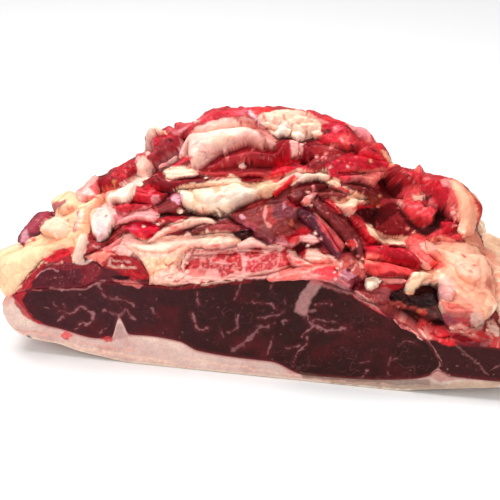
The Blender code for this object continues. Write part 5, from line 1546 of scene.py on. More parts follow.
    ((116, 30, 32), (287, 187, 298, 182, 312, 180, 322, 181, 331, 186, 318, 189, 306, 192, 302, 201,
        296, 203, 289, 201, 287, 193)),
    ((85, 10, 18), (304, 182, 318, 180, 323, 184, 310, 187)),
    ((246, 184, 174), (306, 195, 310, 192, 312, 197, 307, 199)),
    ((236, 134, 114), (303, 200, 308, 198, 310, 203, 304, 205)),
    ((228, 132, 132), (311, 190, 315, 188, 317, 194, 312, 195)),
    # the flap's right part and the hollow
    ((130, 50, 48), (318, 188, 335, 188, 348, 193, 352, 196, 345, 197, 335, 197, 325, 199, 318, 197)),
    ((118, 42, 46), (313, 198, 322, 198, 332, 204, 340, 212, 352, 220, 360, 233, 366, 250, 366, 262,
        356, 262, 352, 246, 342, 240, 330, 226, 318, 212)),
    ((196, 46, 54), (322, 199, 332, 198, 340, 206, 346, 214, 336, 212, 328, 206)),
    ((252, 216, 186), (331, 197, 340, 200, 350, 196, 356, 192, 364, 195, 366, 202, 360, 205, 352, 209,
        346, 213, 342, 211, 345, 208, 339, 206)),
    ((246, 176, 158), (344, 209, 352, 205, 355, 211, 350, 217, 345, 215)),
    ((226, 46, 56), (352, 208, 358, 204, 366, 202, 380, 203, 380, 207, 366, 207, 356, 211)),
    ((150, 66, 52), (366, 196, 378, 198, 380, 204, 368, 205, 364, 201)),
    # painted shade at the mouth of the hollow
    ((66, 14, 18), (354, 212, 366, 207, 380, 206, 384, 216, 380, 226, 374, 229, 366, 222, 358, 216)),
    ((196, 40, 50), (352, 216, 358, 218, 366, 226, 376, 240, 380, 244, 366, 246, 360, 234, 353, 226)),
    ((240, 50, 60), (362, 227, 368, 230, 378, 242, 372, 244, 364, 237)),
    ((94, 36, 50), (300, 208, 310, 214, 320, 226, 330, 240, 338, 254, 332, 256, 322, 244, 310, 230,
        300, 220)),
    ((206, 92, 98), (314, 213, 322, 220, 332, 230, 341, 240, 344, 252, 336, 250, 330, 238, 320, 228)),
    ((226, 62, 60), (344, 243, 352, 240, 355, 246, 347, 248)),
    # painted shade in the gap below the ropes
    ((50, 10, 14), (342, 248, 356, 247, 360, 254, 350, 252, 343, 254)),
    ((196, 92, 84), (338, 262, 348, 256, 358, 258, 368, 266, 366, 280, 360, 290, 350, 284, 342, 272)),
    ((230, 176, 156), (358, 260, 364, 262, 366, 268, 360, 268)),
    ((198, 134, 150), (338, 268, 348, 270, 358, 277, 354, 282, 344, 278)),
    ((112, 26, 36), (350, 280, 360, 274, 366, 282, 362, 292, 350, 290, 344, 285)),
    ((250, 214, 206), (337, 268, 338, 262, 342, 260, 342, 266)),
    ((136, 38, 42), (378, 206, 396, 202, 402, 212, 410, 224, 414, 230, 404, 237, 384, 237, 375, 229)),
    ((92, 20, 26), (378, 206, 392, 202, 398, 212, 386, 220, 380, 226, 376, 218)),
    ((252, 218, 188), (364, 224, 370, 225, 378, 231, 384, 236, 400, 236, 407, 237, 409, 242, 398, 245,
        384, 243, 376, 239, 370, 233)),
    ((228, 66, 76), (396, 202, 408, 200, 420, 202, 428, 198, 434, 202, 438, 206, 434, 214, 432, 222,
        424, 226, 415, 222, 408, 215, 400, 208)),
    ((250, 196, 186), (396, 200, 402, 200, 404, 206, 399, 207)),
    ((186, 36, 46), (412, 220, 420, 218, 431, 222, 426, 227, 416, 225)),
    # painted shade in the slits around the red heart
    ((38, 10, 12), (396, 206, 402, 210, 408, 218, 414, 225, 424, 228, 434, 222, 440, 226, 434, 232,
        424, 237, 414, 231, 405, 222, 398, 213)),
    ((32, 8, 10), (434, 214, 440, 208, 448, 211, 447, 219, 442, 223, 441, 230, 435, 229, 432, 222)),
    ((50, 5, 10), (423, 198, 434, 194, 432, 199, 424, 201)),
    ((198, 30, 50), (424, 190, 446, 186, 451, 194, 450, 204, 440, 206, 434, 200, 434, 194)),
    ((236, 96, 96), (450, 188, 457, 196, 459, 212, 454, 222, 446, 214, 448, 202)),
    ((206, 36, 56), (441, 222, 452, 219, 460, 222, 457, 229, 448, 235, 442, 230)),
    ((218, 72, 78), (424, 238, 440, 229, 452, 232, 467, 235, 460, 240, 448, 239, 436, 236)),
    ((252, 208, 172), (449, 180, 456, 177, 463, 182, 468, 190, 470, 200, 470, 215, 466, 228, 460, 232,
        458, 222, 459, 205, 455, 192, 451, 186)),
    ((228, 174, 140), (464, 186, 474, 195, 481, 206, 483, 216, 478, 226, 470, 235, 462, 239, 466, 226,
        471, 212, 470, 200)),
    ((190, 66, 60), (474, 196, 482, 206, 485, 218, 482, 227, 477, 224, 478, 212)),
    ((248, 188, 174), (440, 180, 450, 178, 452, 186, 443, 188)),
    # below the hollow
    ((176, 26, 42), (364, 244, 380, 243, 398, 245, 408, 250, 415, 258, 422, 263, 416, 267, 406, 265,
        394, 264, 386, 258, 376, 252, 366, 252)),
    ((148, 12, 30), (386, 250, 400, 250, 412, 257, 419, 265, 408, 265, 396, 263, 388, 258)),
    ((228, 76, 76), (364, 253, 376, 254, 388, 259, 396, 264, 408, 265, 420, 268, 412, 273, 409, 279,
        400, 276, 390, 273, 378, 275, 370, 275, 364, 268)),
    ((244, 126, 112), (366, 254, 380, 257, 384, 262, 376, 265, 366, 263)),
    ((150, 20, 32), (374, 276, 384, 273, 392, 271, 402, 274, 411, 275, 409, 279, 396, 278, 384, 279)),
    ((242, 152, 142), (382, 279, 395, 278, 411, 280, 409, 285, 395, 283, 383, 284)),
    ((182, 36, 46), (379, 284, 392, 284, 405, 285, 402, 291, 390, 289, 380, 291)),
    ((182, 84, 84), (352, 290, 368, 290, 380, 288, 392, 289, 388, 296, 390, 304, 386, 308, 376, 304,
        366, 298)),
    ((178, 112, 116), (374, 290, 388, 290, 387, 300, 378, 302), 0.5, 3.0),
    # painted shade in the hollow below the prong
    ((42, 15, 18), (388, 298, 395, 290, 404, 286, 406, 292, 413, 291, 418, 286, 438, 284, 441, 300,
        433, 307, 418, 307, 408, 306, 398, 302)),
    ((162, 62, 56), (388, 302, 398, 301, 408, 306, 418, 307, 418, 310, 405, 309, 398, 312, 389, 311)),
    # painted shade in the gap along the edge of the cut
    ((96, 34, 34), (378, 303, 390, 306, 402, 310, 414, 316, 424, 323, 418, 327, 406, 321, 392, 315,
        380, 309), 0.8, 2.5),
    # painted shade in the same gap
    ((36, 12, 13), (387, 310, 396, 309, 406, 311, 416, 315, 424, 320, 416, 322, 406, 319, 394, 315)),
    ((36, 12, 13), (424, 320, 434, 320, 441, 316, 444, 326, 436, 328)),
    ((212, 82, 76), (417, 310, 426, 309, 427, 313, 421, 316)),
    ((216, 42, 50), (418, 318, 430, 322, 440, 328, 452, 338, 457, 345, 448, 346, 436, 341, 426, 338,
        420, 328)),
    ((196, 92, 88), (393, 316, 404, 320, 416, 322, 427, 329, 437, 340, 428, 341, 416, 333, 404, 326,
        396, 321), 0.9, 2.5),
    ((228, 150, 140), (412, 321, 420, 324, 428, 332, 433, 339, 427, 339, 419, 331), 0.9, 2.0),
    ((120, 36, 40), (396, 320, 404, 323, 410, 328, 404, 328, 398, 324), 0.8, 2.0),
    ((190, 60, 62), (416, 317, 426, 319, 436, 326, 444, 336, 436, 336, 427, 328)),
    ((252, 214, 180), (408, 283, 412, 276, 420, 271, 434, 270, 440, 276, 436, 283, 424, 283, 416, 288,
        412, 294, 406, 293, 405, 288)),
    # the corner fat
    ((252, 206, 170), (428, 246, 446, 243, 460, 242, 475, 243, 487, 258, 494, 280, 498, 302, 488, 318,
        474, 318, 462, 306, 456, 288, 444, 276, 436, 268, 428, 258)),
    ((255, 226, 194), (446, 248, 462, 244, 476, 248, 486, 262, 484, 276, 470, 280, 456, 272, 446, 262)),
    ((240, 92, 88), (404, 240, 415, 233, 426, 238, 428, 250, 436, 256, 446, 266, 436, 270, 424, 262,
        414, 252, 406, 246)),
    ((250, 190, 172), (418, 243, 430, 242, 440, 246, 438, 256, 430, 254, 422, 250)),
    ((242, 176, 154), (426, 240, 440, 235, 456, 240, 452, 245, 440, 244)),
    ((202, 112, 92), (434, 237, 441, 237, 441, 242, 435, 242)),
    ((246, 208, 196), (438, 280, 448, 276, 455, 288, 451, 301, 442, 300, 439, 290), 0.9, 3.0),
    ((226, 186, 196), (438, 284, 443, 283, 446, 292, 444, 299, 440, 299), 0.8, 2.5),
    ((228, 112, 104), (439, 299, 450, 302, 462, 306, 474, 312, 470, 318, 455, 314, 444, 310)),
    ((252, 184, 158), (454, 290, 462, 296, 474, 300, 480, 310, 468, 310, 456, 303)),
    ((206, 82, 72), (484, 281, 490, 277, 494, 283, 492, 289, 485, 288), 0.8, 3.0),
    ((192, 66, 68), (446, 310, 460, 312, 474, 312, 470, 322, 466, 330, 452, 328, 446, 320)),
    ((160, 76, 88), (444, 312, 452, 314, 458, 324, 450, 328, 444, 320)),
    ((222, 192, 180), (471, 314, 480, 310, 485, 318, 482, 328, 474, 330, 470, 322)),
    ((242, 176, 160), (448, 326, 460, 324, 472, 328, 480, 330, 474, 336, 460, 333, 452, 331)),
    ((206, 60, 60), (466, 332, 486, 330, 500, 334, 500, 348, 484, 344, 470, 340)),
    ((238, 206, 190), (486, 322, 494, 318, 500, 330, 500, 338, 490, 332)),
    ((120, 26, 34), (448, 336, 462, 334, 474, 340, 470, 346, 456, 344)),
    # the front cut
    ((184, 44, 58), (12, 297, 18, 290, 28, 276, 36, 268, 42, 270, 34, 280, 28, 290, 22, 300, 26, 310,
        34, 318, 44, 324, 38, 324, 26, 317, 16, 306)),
    ((136, 44, 54), (44, 264, 60, 262, 76, 262, 96, 264, 104, 270, 98, 278, 88, 284, 76, 282, 80, 270,
        66, 270, 50, 270)),
    ((92, 36, 46), (40, 276, 60, 273, 78, 270, 84, 276, 78, 285, 60, 287, 44, 286)),
    ((174, 46, 50), (102, 262, 110, 256, 118, 254, 128, 257, 140, 262, 146, 270, 150, 279, 138, 279,
        122, 272, 106, 268)),
    ((186, 34, 44), (118, 272, 130, 270, 142, 274, 148, 279, 134, 280)),
    # painted shade in the slit under the torn lean
    ((40, 10, 12), (110, 277, 120, 275, 130, 275, 130, 279, 116, 279)),
    ((218, 122, 116), (112, 279, 124, 280, 136, 280, 144, 286, 138, 288, 126, 285)),
    ((128, 26, 32), (140, 283, 160, 284, 200, 283, 225, 281, 250, 279, 250, 282, 232, 284, 215, 286,
        200, 288, 185, 290, 170, 289, 155, 286), 0.8, 1.6),
    ((178, 134, 134), (312, 279, 325, 281, 320, 288, 313, 297, 309, 305, 308, 311, 304, 316, 298, 315,
        295, 310, 297, 303, 300, 296, 306, 287), 0.92, 2.4),
    ((206, 116, 116), (309, 276, 328, 276, 348, 281, 350, 287, 336, 285, 322, 284, 312, 284), 0.85,
        3.0),
    ((160, 108, 110), (320, 284, 335, 283, 348, 287, 350, 294, 338, 291, 330, 287, 322, 288), 0.85,
        2.4),
    ((178, 122, 118), (348, 290, 360, 295, 374, 302, 388, 309, 404, 317, 404, 320, 388, 313, 372, 306,
        358, 299)),
    ((226, 146, 134), (0, 292, 10, 292, 14, 298, 8, 306, 0, 304), 0.5, 3.0),
    ((236, 84, 92), (60, 335, 66, 331, 73, 335, 68, 340, 62, 339)),
    ((206, 76, 76), (100, 339, 112, 337, 116, 340, 108, 343)),
    ((90, 86, 86), (24, 339, 27, 335, 31, 338, 32, 341)),
    ((180, 144, 142), (116, 324, 121, 324, 124, 332, 131, 336, 120, 340, 112, 340, 115, 333), 0.9, 2.0),
    ((182, 136, 130), (428, 377, 434, 370, 440, 369, 448, 374, 456, 380, 440, 382)),
    ((110, 90, 80), (298, 372, 330, 377, 380, 379, 430, 380, 430, 385, 380, 384, 340, 381, 304, 378),
        0.7, 1.6),
    ((186, 160, 138), (452, 381, 470, 382, 500, 381, 500, 387, 470, 387, 450, 387), 0.8, 1.2),
    # the lean window
    ((250, 206, 192), (182, 262, 186, 252, 196, 247, 210, 246, 226, 245, 240, 244, 256, 248, 266, 246,
        276, 244, 290, 250, 296, 254, 304, 256, 308, 248, 316, 249, 322, 256, 332, 255, 338, 262,
        330, 268, 310, 268, 292, 272, 276, 277, 250, 279, 220, 281, 200, 283, 176, 284, 160, 284,
        150, 282, 156, 274, 170, 268)),
    ((202, 60, 66), (184, 264, 190, 260, 198, 256, 201, 262, 199, 269, 190, 270, 184, 268)),
    ((188, 54, 60), (201, 262, 207, 257, 210, 262, 208, 269, 202, 269)),
    ((216, 52, 64), (210, 256, 222, 252, 232, 250, 237, 252, 242, 256, 242, 261, 232, 263, 222, 262,
        210, 262)),
    ((192, 54, 60), (210, 264, 222, 264, 228, 263, 220, 269, 210, 269)),
    ((192, 62, 68), (217, 271, 226, 265, 236, 263, 236, 270, 228, 276, 219, 276)),
    ((196, 58, 64), (237, 262, 242, 261, 243, 269, 240, 273, 237, 269)),
    ((220, 116, 110), (188, 271, 200, 270, 208, 271, 206, 276, 194, 277, 188, 275), 0.8),
    ((182, 40, 42), (200, 281, 206, 281, 203, 283, 200, 283)),
    ((208, 52, 62), (244, 254, 252, 249, 262, 247, 265, 252, 257, 257, 249, 259)),
    ((206, 56, 68), (247, 262, 258, 258, 268, 254, 279, 249, 278, 258, 276, 266, 268, 270, 252, 273,
        245, 270)),
    ((218, 52, 62), (281, 252, 286, 249, 292, 259, 293, 266, 284, 268, 277, 267, 278, 261)),
    ((236, 66, 72), (293, 262, 300, 260, 306, 262, 300, 265)),
    ((206, 50, 60), (300, 252, 306, 249, 306, 258, 302, 258)),
    ((251, 150, 136), (278, 268, 296, 266, 310, 262, 325, 257, 337, 261, 340, 268, 334, 273, 320, 274,
        306, 275, 290, 276, 278, 276)),
    ((242, 62, 76), (312, 270, 322, 266, 338, 266, 342, 272, 336, 278, 322, 276, 314, 274)),
)

# Loose bits of fat and lean: place in the picture, half its width in pixels, colour.
# The near-white bits at 144, 227, at 331, 167 and at 347, 166 are painted highlights on the wet lean.
CRUMBS = (
    (114, 182, 2.4, (226, 166, 110)), (122, 184, 2.0, (226, 190, 180)), (195, 121, 2.2, (250, 226, 214)),
    (144, 227, 1.7, (252, 240, 232)), (180, 211, 3.4, (246, 204, 186)), (156, 199, 2.6, (236, 150, 150)),
    (158, 224, 2.2, (240, 190, 176)), (163, 222, 1.6, (236, 170, 156)), (104, 251, 1.8, (232, 150, 130)),
    (128, 203, 1.8, (206, 60, 70)), (206, 177, 1.8, (244, 216, 200)), (316, 156, 1.7, (238, 176, 160)),
    (326, 154, 1.8, (226, 140, 130)), (331, 167, 2.0, (250, 214, 206)), (347, 166, 1.8, (248, 204, 196)),
    (371, 161, 2.0, (242, 186, 140)), (308, 192, 2.2, (226, 150, 146)), (306, 199, 2.4, (214, 120, 116)),
    (311, 205, 2.4, (226, 140, 128)), (313, 187, 1.8, (222, 130, 128)), (378, 206, 2.0, (230, 132, 92)),
    (380, 196, 2.2, (226, 150, 116)), (316, 233, 2.2, (248, 206, 200)), (308, 245, 1.8, (246, 214, 208)),
    (322, 238, 1.8, (240, 180, 176)), (348, 243, 2.6, (206, 54, 66)), (353, 248, 1.8, (226, 120, 120)),
    (337, 268, 2.0, (244, 190, 184)), (341, 275, 2.2, (236, 160, 160)), (335, 279, 1.8, (240, 176, 168)),
    (352, 261, 2.6, (206, 116, 112)), (358, 256, 2.2, (196, 92, 92)), (363, 259, 2.4, (226, 168, 156)),
    (349, 271, 2.6, (122, 40, 52)), (436, 205, 2.2, (196, 50, 62)), (453, 213, 2.2, (248, 214, 200)),
    (455, 219, 2.0, (244, 190, 176)), (408, 228, 2.0, (226, 130, 124)), (413, 232, 1.8, (232, 150, 140)),
    (404, 307, 2.2, (196, 92, 66)), (420, 311, 2.4, (222, 120, 84)), (452, 328, 2.8, (240, 180, 170)),
    (462, 331, 2.4, (220, 120, 116)), (474, 334, 2.4, (226, 146, 138)), (488, 330, 2.4, (236, 180, 168)),
    (494, 322, 2.2, (226, 150, 140)), (196, 257, 1.8, (250, 206, 190)), (176, 262, 2.0, (240, 176, 160)),
    (168, 271, 2.2, (246, 190, 172)), (182, 270, 1.9, (236, 160, 148)), (160, 277, 2.0, (248, 204, 186)),
    (190, 279, 1.8, (246, 196, 180)), (174, 280, 1.8, (206, 70, 74)), (187, 263, 1.8, (250, 210, 196)),
    (110, 262, 2.0, (238, 190, 176)), (122, 266, 2.2, (240, 200, 186)), (134, 268, 2.0, (236, 184, 172)),
    (90, 258, 1.9, (226, 140, 120)), (46, 263, 1.7, (226, 130, 120)), (62, 262, 1.8, (236, 170, 150)),
)  # fmt: skip

# Where the light of the stage adds or leaves out something: centre, half width and half height in the
# picture, and the share of red, green and blue that is taken away there.
SHADED = (
    (228, 193, 42, 15, 0.06, 0.08, 0.08),
    (243, 263, 60, 18, 0.20, 0.34, 0.30),
    (466, 275, 40, 46, 0.02, 0.28, 0.28),
    (468, 205, 14, 32, 0.00, 0.20, 0.20),
    (55, 226, 22, 20, 0.00, 0.18, 0.18),
    (30, 268, 24, 22, -0.06, -0.06, -0.06),
    (226, 133, 46, 22, 0.00, 0.14, 0.14),
    (165, 248, 52, 12, 0.00, 0.10, 0.08),
    (270, 216, 42, 26, 0.10, 0.34, 0.34),
    (425, 186, 30, 13, 0.16, 0.42, 0.36),
    (390, 254, 28, 12, -0.36, -0.44, -0.44),
    (390, 268, 26, 7, -0.18, -0.05, -0.10),
    (342, 228, 20, 28, -0.12, 0.10, 0.10),
    (106, 223, 15, 19, 0.05, 0.20, 0.20),
    (79, 248, 10, 15, 0.08, 0.18, 0.16),
    (210, 197, 32, 16, 0.02, 0.10, 0.12),
    (418, 293, 20, 8, -0.70, -0.25, -0.20),
)

# Lines painted over the areas: colour, width, course in the picture, and strength where it is not 0.9.
# The darkest lines are painted shadows along edges, and a few small pale ones painted highlights.
STROKES = (
    ((250, 222, 200), 4.0, (66, 343, 84, 349, 110, 353, 140, 358, 176, 364), 0.6),
    ((232, 172, 156), 2.2, (70, 338, 92, 345, 118, 349, 132, 350), 0.6),
    ((238, 186, 170), 2.0, (4, 333, 22, 334, 40, 334, 60, 338), 0.6),
    ((244, 214, 196), 2.4, (180, 358, 220, 364, 260, 370, 300, 376), 0.5),
    ((206, 132, 120), 1.4, (8, 329, 24, 331, 44, 333), 0.5),
    ((202, 140, 128), 1.3, (150, 361, 176, 366, 200, 368), 0.45),
    ((226, 170, 156), 1.6, (318, 380, 350, 382, 390, 384), 0.5),
    ((225, 165, 170), 1.4, (36, 276, 42, 272, 50, 269, 58, 272)),
    ((185, 110, 112), 1.5, (18, 291, 30, 289, 42, 290), 0.7),
    ((176, 120, 124), 1.8, (50, 288, 62, 290, 75, 289, 85, 289, 92, 286, 98, 282, 104, 280)),
    ((235, 150, 148), 1.3, (52, 262, 56, 264, 60, 262), 0.8),
    ((250, 225, 215), 3.0, (77, 263, 84, 263, 92, 260)),
    ((236, 196, 180), 3.0, (109, 265, 120, 267, 136, 268)),
    ((236, 190, 178), 2.0, (109, 259, 120, 261, 130, 262), 0.7),
    ((235, 80, 80), 2.4, (106, 252, 116, 251)),
    ((224, 168, 166), 2.2, (94, 246, 99, 247)),
    ((252, 232, 226), 2.2, (120, 184, 127, 182)),
    ((190, 30, 45), 2.2, (112, 203, 125, 205)),
    ((255, 240, 235), 1.8, (152, 220, 156, 224)),
    ((255, 240, 235), 1.6, (158, 223, 162, 224)),
    ((245, 92, 90), 2.0, (140, 234, 146, 238, 151, 237)),
    ((236, 160, 150), 1.4, (200, 176, 212, 177, 222, 179, 232, 177)),
    ((238, 150, 145), 1.2, (206, 168, 216, 165, 228, 160), 0.7),
    ((200, 96, 96), 1.4, (214, 160, 226, 156, 238, 154, 252, 154), 0.8),
    ((214, 120, 116), 1.2, (240, 156, 250, 160, 262, 158), 0.6),
    ((236, 150, 140), 1.6, (252, 150, 260, 147, 264, 152)),
    # painted shadow under the crown's edge
    ((110, 16, 28), 2.0, (206, 164, 218, 158, 230, 155), 0.7),
    ((170, 95, 90), 1.6, (236, 119, 244, 124, 250, 127)),
    ((170, 95, 90), 1.3, (246, 121, 254, 125, 262, 128)),
    ((170, 95, 90), 1.2, (256, 131, 266, 136)),
    ((224, 150, 140), 1.4, (198, 150, 206, 152, 214, 150), 0.7),
    ((240, 190, 180), 1.4, (196, 140, 200, 148, 198, 156), 0.6),
    # painted shade along the crown's right edge
    ((95, 16, 24), 1.8, (254, 119, 262, 126, 270, 132, 277, 138)),
    ((245, 110, 96), 2.2, (262, 113, 266, 120)),
    ((240, 120, 105), 2.0, (275, 117, 280, 121)),
    ((235, 110, 96), 1.8, (273, 123, 279, 125)),
    ((226, 96, 92), 2.0, (303, 131, 310, 135, 318, 136)),
    ((236, 130, 110), 2.2, (284, 116, 286, 121, 292, 124)),
    ((236, 140, 120), 1.8, (296, 122, 302, 126, 308, 126)),
    # painted shadow under the popcorn fat
    ((70, 14, 18), 2.4, (277, 138, 284, 138, 291, 139)),
    ((110, 15, 22), 2.0, (291, 137, 298, 141, 304, 142)),
    # painted shade in the crevice beside the pink lump
    ((70, 6, 14), 2.6, (346, 125, 352, 132, 357, 138, 361, 141)),
    ((246, 150, 120), 2.0, (366, 127, 371, 133)),
    # painted highlights on the red lumps
    ((250, 190, 190), 1.6, (334, 126, 336, 128)),
    ((250, 180, 180), 1.6, (340, 138, 343, 141)),
    # painted highlights: glints on the wet red lean
    ((255, 190, 185), 1.4, (331, 166, 334, 168)),
    ((255, 190, 185), 1.4, (346, 165, 348, 167)),
    ((236, 130, 120), 1.6, (322, 158, 328, 153), 0.8),
    ((245, 170, 160), 2.0, (330, 147, 337, 147), 0.8),
    # painted shadow under the edge of the red ridge
    ((60, 10, 20), 2.0, (370, 146, 379, 155)),
    ((246, 150, 145), 2.4, (423, 179, 431, 178)),
    ((240, 120, 120), 1.8, (414, 187, 422, 185, 431, 183)),
    ((240, 120, 110), 1.8, (402, 171, 408, 174, 414, 176)),
    ((236, 84, 90), 1.6, (416, 176, 424, 174, 432, 178)),
    ((240, 140, 145), 2.6, (404, 204, 414, 207, 424, 205)),
    ((242, 150, 150), 2.6, (418, 213, 425, 209, 432, 204)),
    ((244, 160, 160), 1.8, (424, 200, 430, 201, 434, 205)),
    ((255, 225, 215), 1.8, (455, 211, 458, 216)),
    ((250, 220, 210), 1.6, (451, 206, 454, 208)),
    ((250, 200, 195), 1.8, (452, 226, 460, 224)),
    ((250, 170, 165), 1.6, (423, 226, 427, 224)),
    ((120, 60, 48), 1.4, (462, 183, 470, 191, 478, 203, 484, 216)),
    ((246, 120, 112), 3.0, (410, 243, 420, 252, 428, 262)),
    ((248, 130, 120), 2.4, (428, 256, 438, 262, 446, 267)),
    ((248, 140, 128), 2.0, (436, 250, 444, 258, 449, 264)),
    ((250, 150, 140), 1.8, (448, 262, 456, 266, 464, 264)),
    ((238, 150, 120), 2.2, (452, 277, 458, 285, 466, 292, 473, 290, 475, 284)),
    ((240, 160, 130), 1.8, (464, 266, 468, 274, 472, 280)),
    ((206, 62, 52), 2.2, (461, 254, 466, 257)),
    ((224, 112, 96), 2.0, (478, 260, 477, 265, 473, 266)),
    ((184, 52, 50), 2.0, (470, 271, 472, 272)),
    ((230, 150, 120), 1.8, (476, 300, 482, 310, 484, 318), 0.8),
    ((110, 70, 55), 1.4, (468, 243, 480, 250, 490, 266, 495, 284), 0.8),
    ((160, 60, 55), 1.8, (163, 262, 167, 266, 174, 263)),
    ((220, 116, 104), 1.6, (150, 276, 156, 271, 166, 270, 170, 266)),
    ((206, 74, 74), 1.6, (168, 279, 175, 274, 181, 268)),
    ((214, 96, 90), 1.4, (176, 281, 184, 277, 190, 273)),
    ((250, 206, 190), 1.8, (172, 277, 180, 272, 186, 264)),
    ((196, 62, 66), 1.3, (186, 281, 194, 279, 203, 279)),
    ((220, 120, 110), 1.5, (160, 278, 168, 276, 174, 272, 178, 266)),
    ((196, 80, 76), 1.3, (183, 273, 186, 274)),
    ((190, 80, 74), 1.5, (184, 259, 186, 253, 190, 250)),
    ((196, 44, 50), 2.0, (192, 252, 196, 247)),
    ((196, 44, 50), 2.0, (197, 252, 202, 247)),
    ((226, 62, 66), 1.8, (203, 251, 212, 251, 220, 251)),
    ((236, 76, 78), 2.2, (212, 246, 219, 245)),
    ((252, 214, 202), 2.2, (210, 262, 214, 255, 224, 250, 236, 247)),
    ((252, 214, 202), 3.2, (240, 246, 244, 256, 245, 268, 243, 278)),
    ((250, 200, 188), 1.6, (222, 262, 228, 256, 230, 252), 0.7),
    ((246, 200, 190), 1.5, (252, 268, 258, 262, 268, 262), 0.6),
    ((246, 200, 190), 1.5, (278, 249, 279, 258, 276, 266)),
    ((246, 96, 92), 1.8, (296, 270, 312, 266, 330, 260), 0.8),
    ((235, 45, 60), 2.4, (308, 275, 318, 271, 330, 268, 340, 270)),
    ((252, 196, 180), 1.6, (300, 273, 312, 270, 326, 265), 0.8),
    ((225, 50, 60), 2.0, (318, 278, 328, 279, 338, 278), 0.8),
    ((252, 226, 214), 2.0, (334, 272, 338, 269, 340, 271)),
    ((236, 190, 180), 1.2, (356, 265, 352, 270, 350, 268)),
    ((230, 150, 150), 2.0, (354, 240, 357, 247)),
    ((248, 214, 200), 1.8, (398, 318, 408, 322, 418, 328, 427, 337), 0.9),
    ((240, 176, 164), 1.5, (404, 326, 414, 332, 422, 339), 0.9),
    ((226, 150, 138), 1.3, (378, 304, 387, 308, 395, 313), 0.8),
    ((236, 190, 176), 1.2, (356, 291, 364, 296, 372, 300), 0.8),
    ((240, 160, 150), 2.0, (470, 336, 482, 338, 494, 344), 0.8),
    ((236, 150, 142), 1.8, (458, 330, 466, 336, 478, 338), 0.7),
    ((245, 200, 190), 2.2, (486, 332, 494, 340, 498, 346), 0.8),
)


def pairs(flat):
    """A flat row of numbers as points."""
    return np.array(flat, float).reshape(-1, 2)


def landed(ground, outline, thick, gap):
    """The picture's outline on the ground: its far side is seen on the swell of the piece."""
    seen = pairs(outline)
    after = np.roll(seen, -1, axis=0)
    along = after - np.roll(seen, 1, axis=0)
    turn = np.sign((seen[:, 0] * after[:, 1] - after[:, 0] * seen[:, 1]).sum())
    up = turn * along[:, 0] / np.maximum(np.linalg.norm(along, axis=1), 1e-6)
    low = ground.place(seen, gap)
    high = ground.place(seen, gap + 0.6 * thick)
    share = np.clip(up, 0, 1)[:, None]
    near = np.linalg.norm(high - low, axis=1, keepdims=True) < 30
    return np.where(near, low + (high - low) * share, low)


class Bare(Patch):
    """The bare meat of the boned side, under everything that lies on it."""

    UNDER = 5.0
    HALF_LENGTH = 176.5
    START = -0.9  # just over the edge of the front cut

    def __init__(self, ground):
        self.ground, self.coarse = ground, 2
        first = int(np.searchsorted(ground.ts, self.START))
        self.win = (slice(0, None, self.coarse), slice(first, None, self.coarse))
        solid, plan = ground.base[self.win], ground.plan[self.win]
        known = ground.known[self.win] & (np.abs(plan[..., 0]) < self.HALF_LENGTH)
        distance = np.where(known, -1.0, 1.0)
        warp = layered(solid, 16, 41, 2)
        grain = np.stack([plan[..., 0], plan[..., 1] - 0.25 * plan[..., 0], np.zeros_like(warp)], -1)
        strand_at = grain / (14, 1.7, 1) + warp[..., None] * (0, 1.2, 0)
        fibres = layered(strand_at, 1.0, 42, 3, 0.6)
        height = ground.height[self.win] + 0.35 * fibres
        self.lift = height
        self.store(distance, np.zeros_like(warp), np.zeros_like(warp), height)
        drift = layered(solid, 22, 43, 3)
        tone = np.broadcast_to(TONE["wine"], solid.shape)
        tone = blend(tone, TONE["crimson"], ramp(drift, -0.1, 0.6))
        tone = blend(tone, TONE["maroon"], ramp(-drift, 0.0, 0.6))
        tone = blend(tone, TONE["rose"], 0.5 * ramp(fibres + 0.5 * drift, 0.45, 0.9))
        # painted shade: umber darkens the bare meat where the hollows are deep
        tone = blend(tone, TONE["umber"], ramp(-4 - ground.height[self.win], 2, 14) * 0.8)
        self.tone = np.clip(tone * (1 + 0.25 * fibres[..., None]), 0.002, 1)
        self.touch = np.broadcast_to(1 + 0.16 * fibres[..., None], tone.shape)
        self.grain = grain


# The first random number and the step from piece to piece, of the rows and of the loose bits.
ROW_SEED, ROW_STEP = 50, 31
CRUMB_SEED, CRUMB_STEP = 4000, 17
CRUMB_CORNERS = 7
LAYING = {}


def loose_bit(ground, number, u, v, size):
    """One crumb, a flattened ring of corners around its place in the picture."""
    turns = np.arange(CRUMB_CORNERS) / CRUMB_CORNERS * 2 * math.pi
    corners = np.stack([u + size * np.cos(turns), v + 0.8 * size * np.sin(turns)], -1).ravel()
    where = {"outline": landed(ground, corners, 1.6, 0.2)}
    seed = CRUMB_SEED + CRUMB_STEP * number
    return Patch(ground, seed, "plump", 0.7 * size, 1.4, CREAM_FAT, where, rough=0.6)


def laying():
    """Every piece of the boned side, laid in order. Worked out once."""
    if "ground" in LAYING:
        return LAYING
    ground = Slope()
    patches = {"lean_core": [Bare(ground)]}
    for number, (piece, shape, thick, edge, tones, outline, extra) in enumerate(LAID):
        if "strip" in extra:
            where = {"course": [ground.at(x, s) for x, s in extra["strip"]], "width": extra["width"]}
        else:
            where = {"outline": landed(ground, outline, thick, SHAPES[shape]["gap"])}
        more = {key: value for key, value in extra.items() if key in ("fibre", "coarse", "rough")}
        seed = ROW_SEED + ROW_STEP * number
        patch = Patch(ground, seed, shape, thick, edge, tones, where, **more)
        patches.setdefault(piece, []).append(patch)
    for number, (u, v, size, _) in enumerate(CRUMBS):
        patches.setdefault("crumbs", []).append(loose_bit(ground, number, u, v, size))
    LAYING["ground"] = ground
    LAYING["patches"] = patches
    LAYING["whole"] = soften(ground.height, 4.0 / ground.cell)
    return LAYING


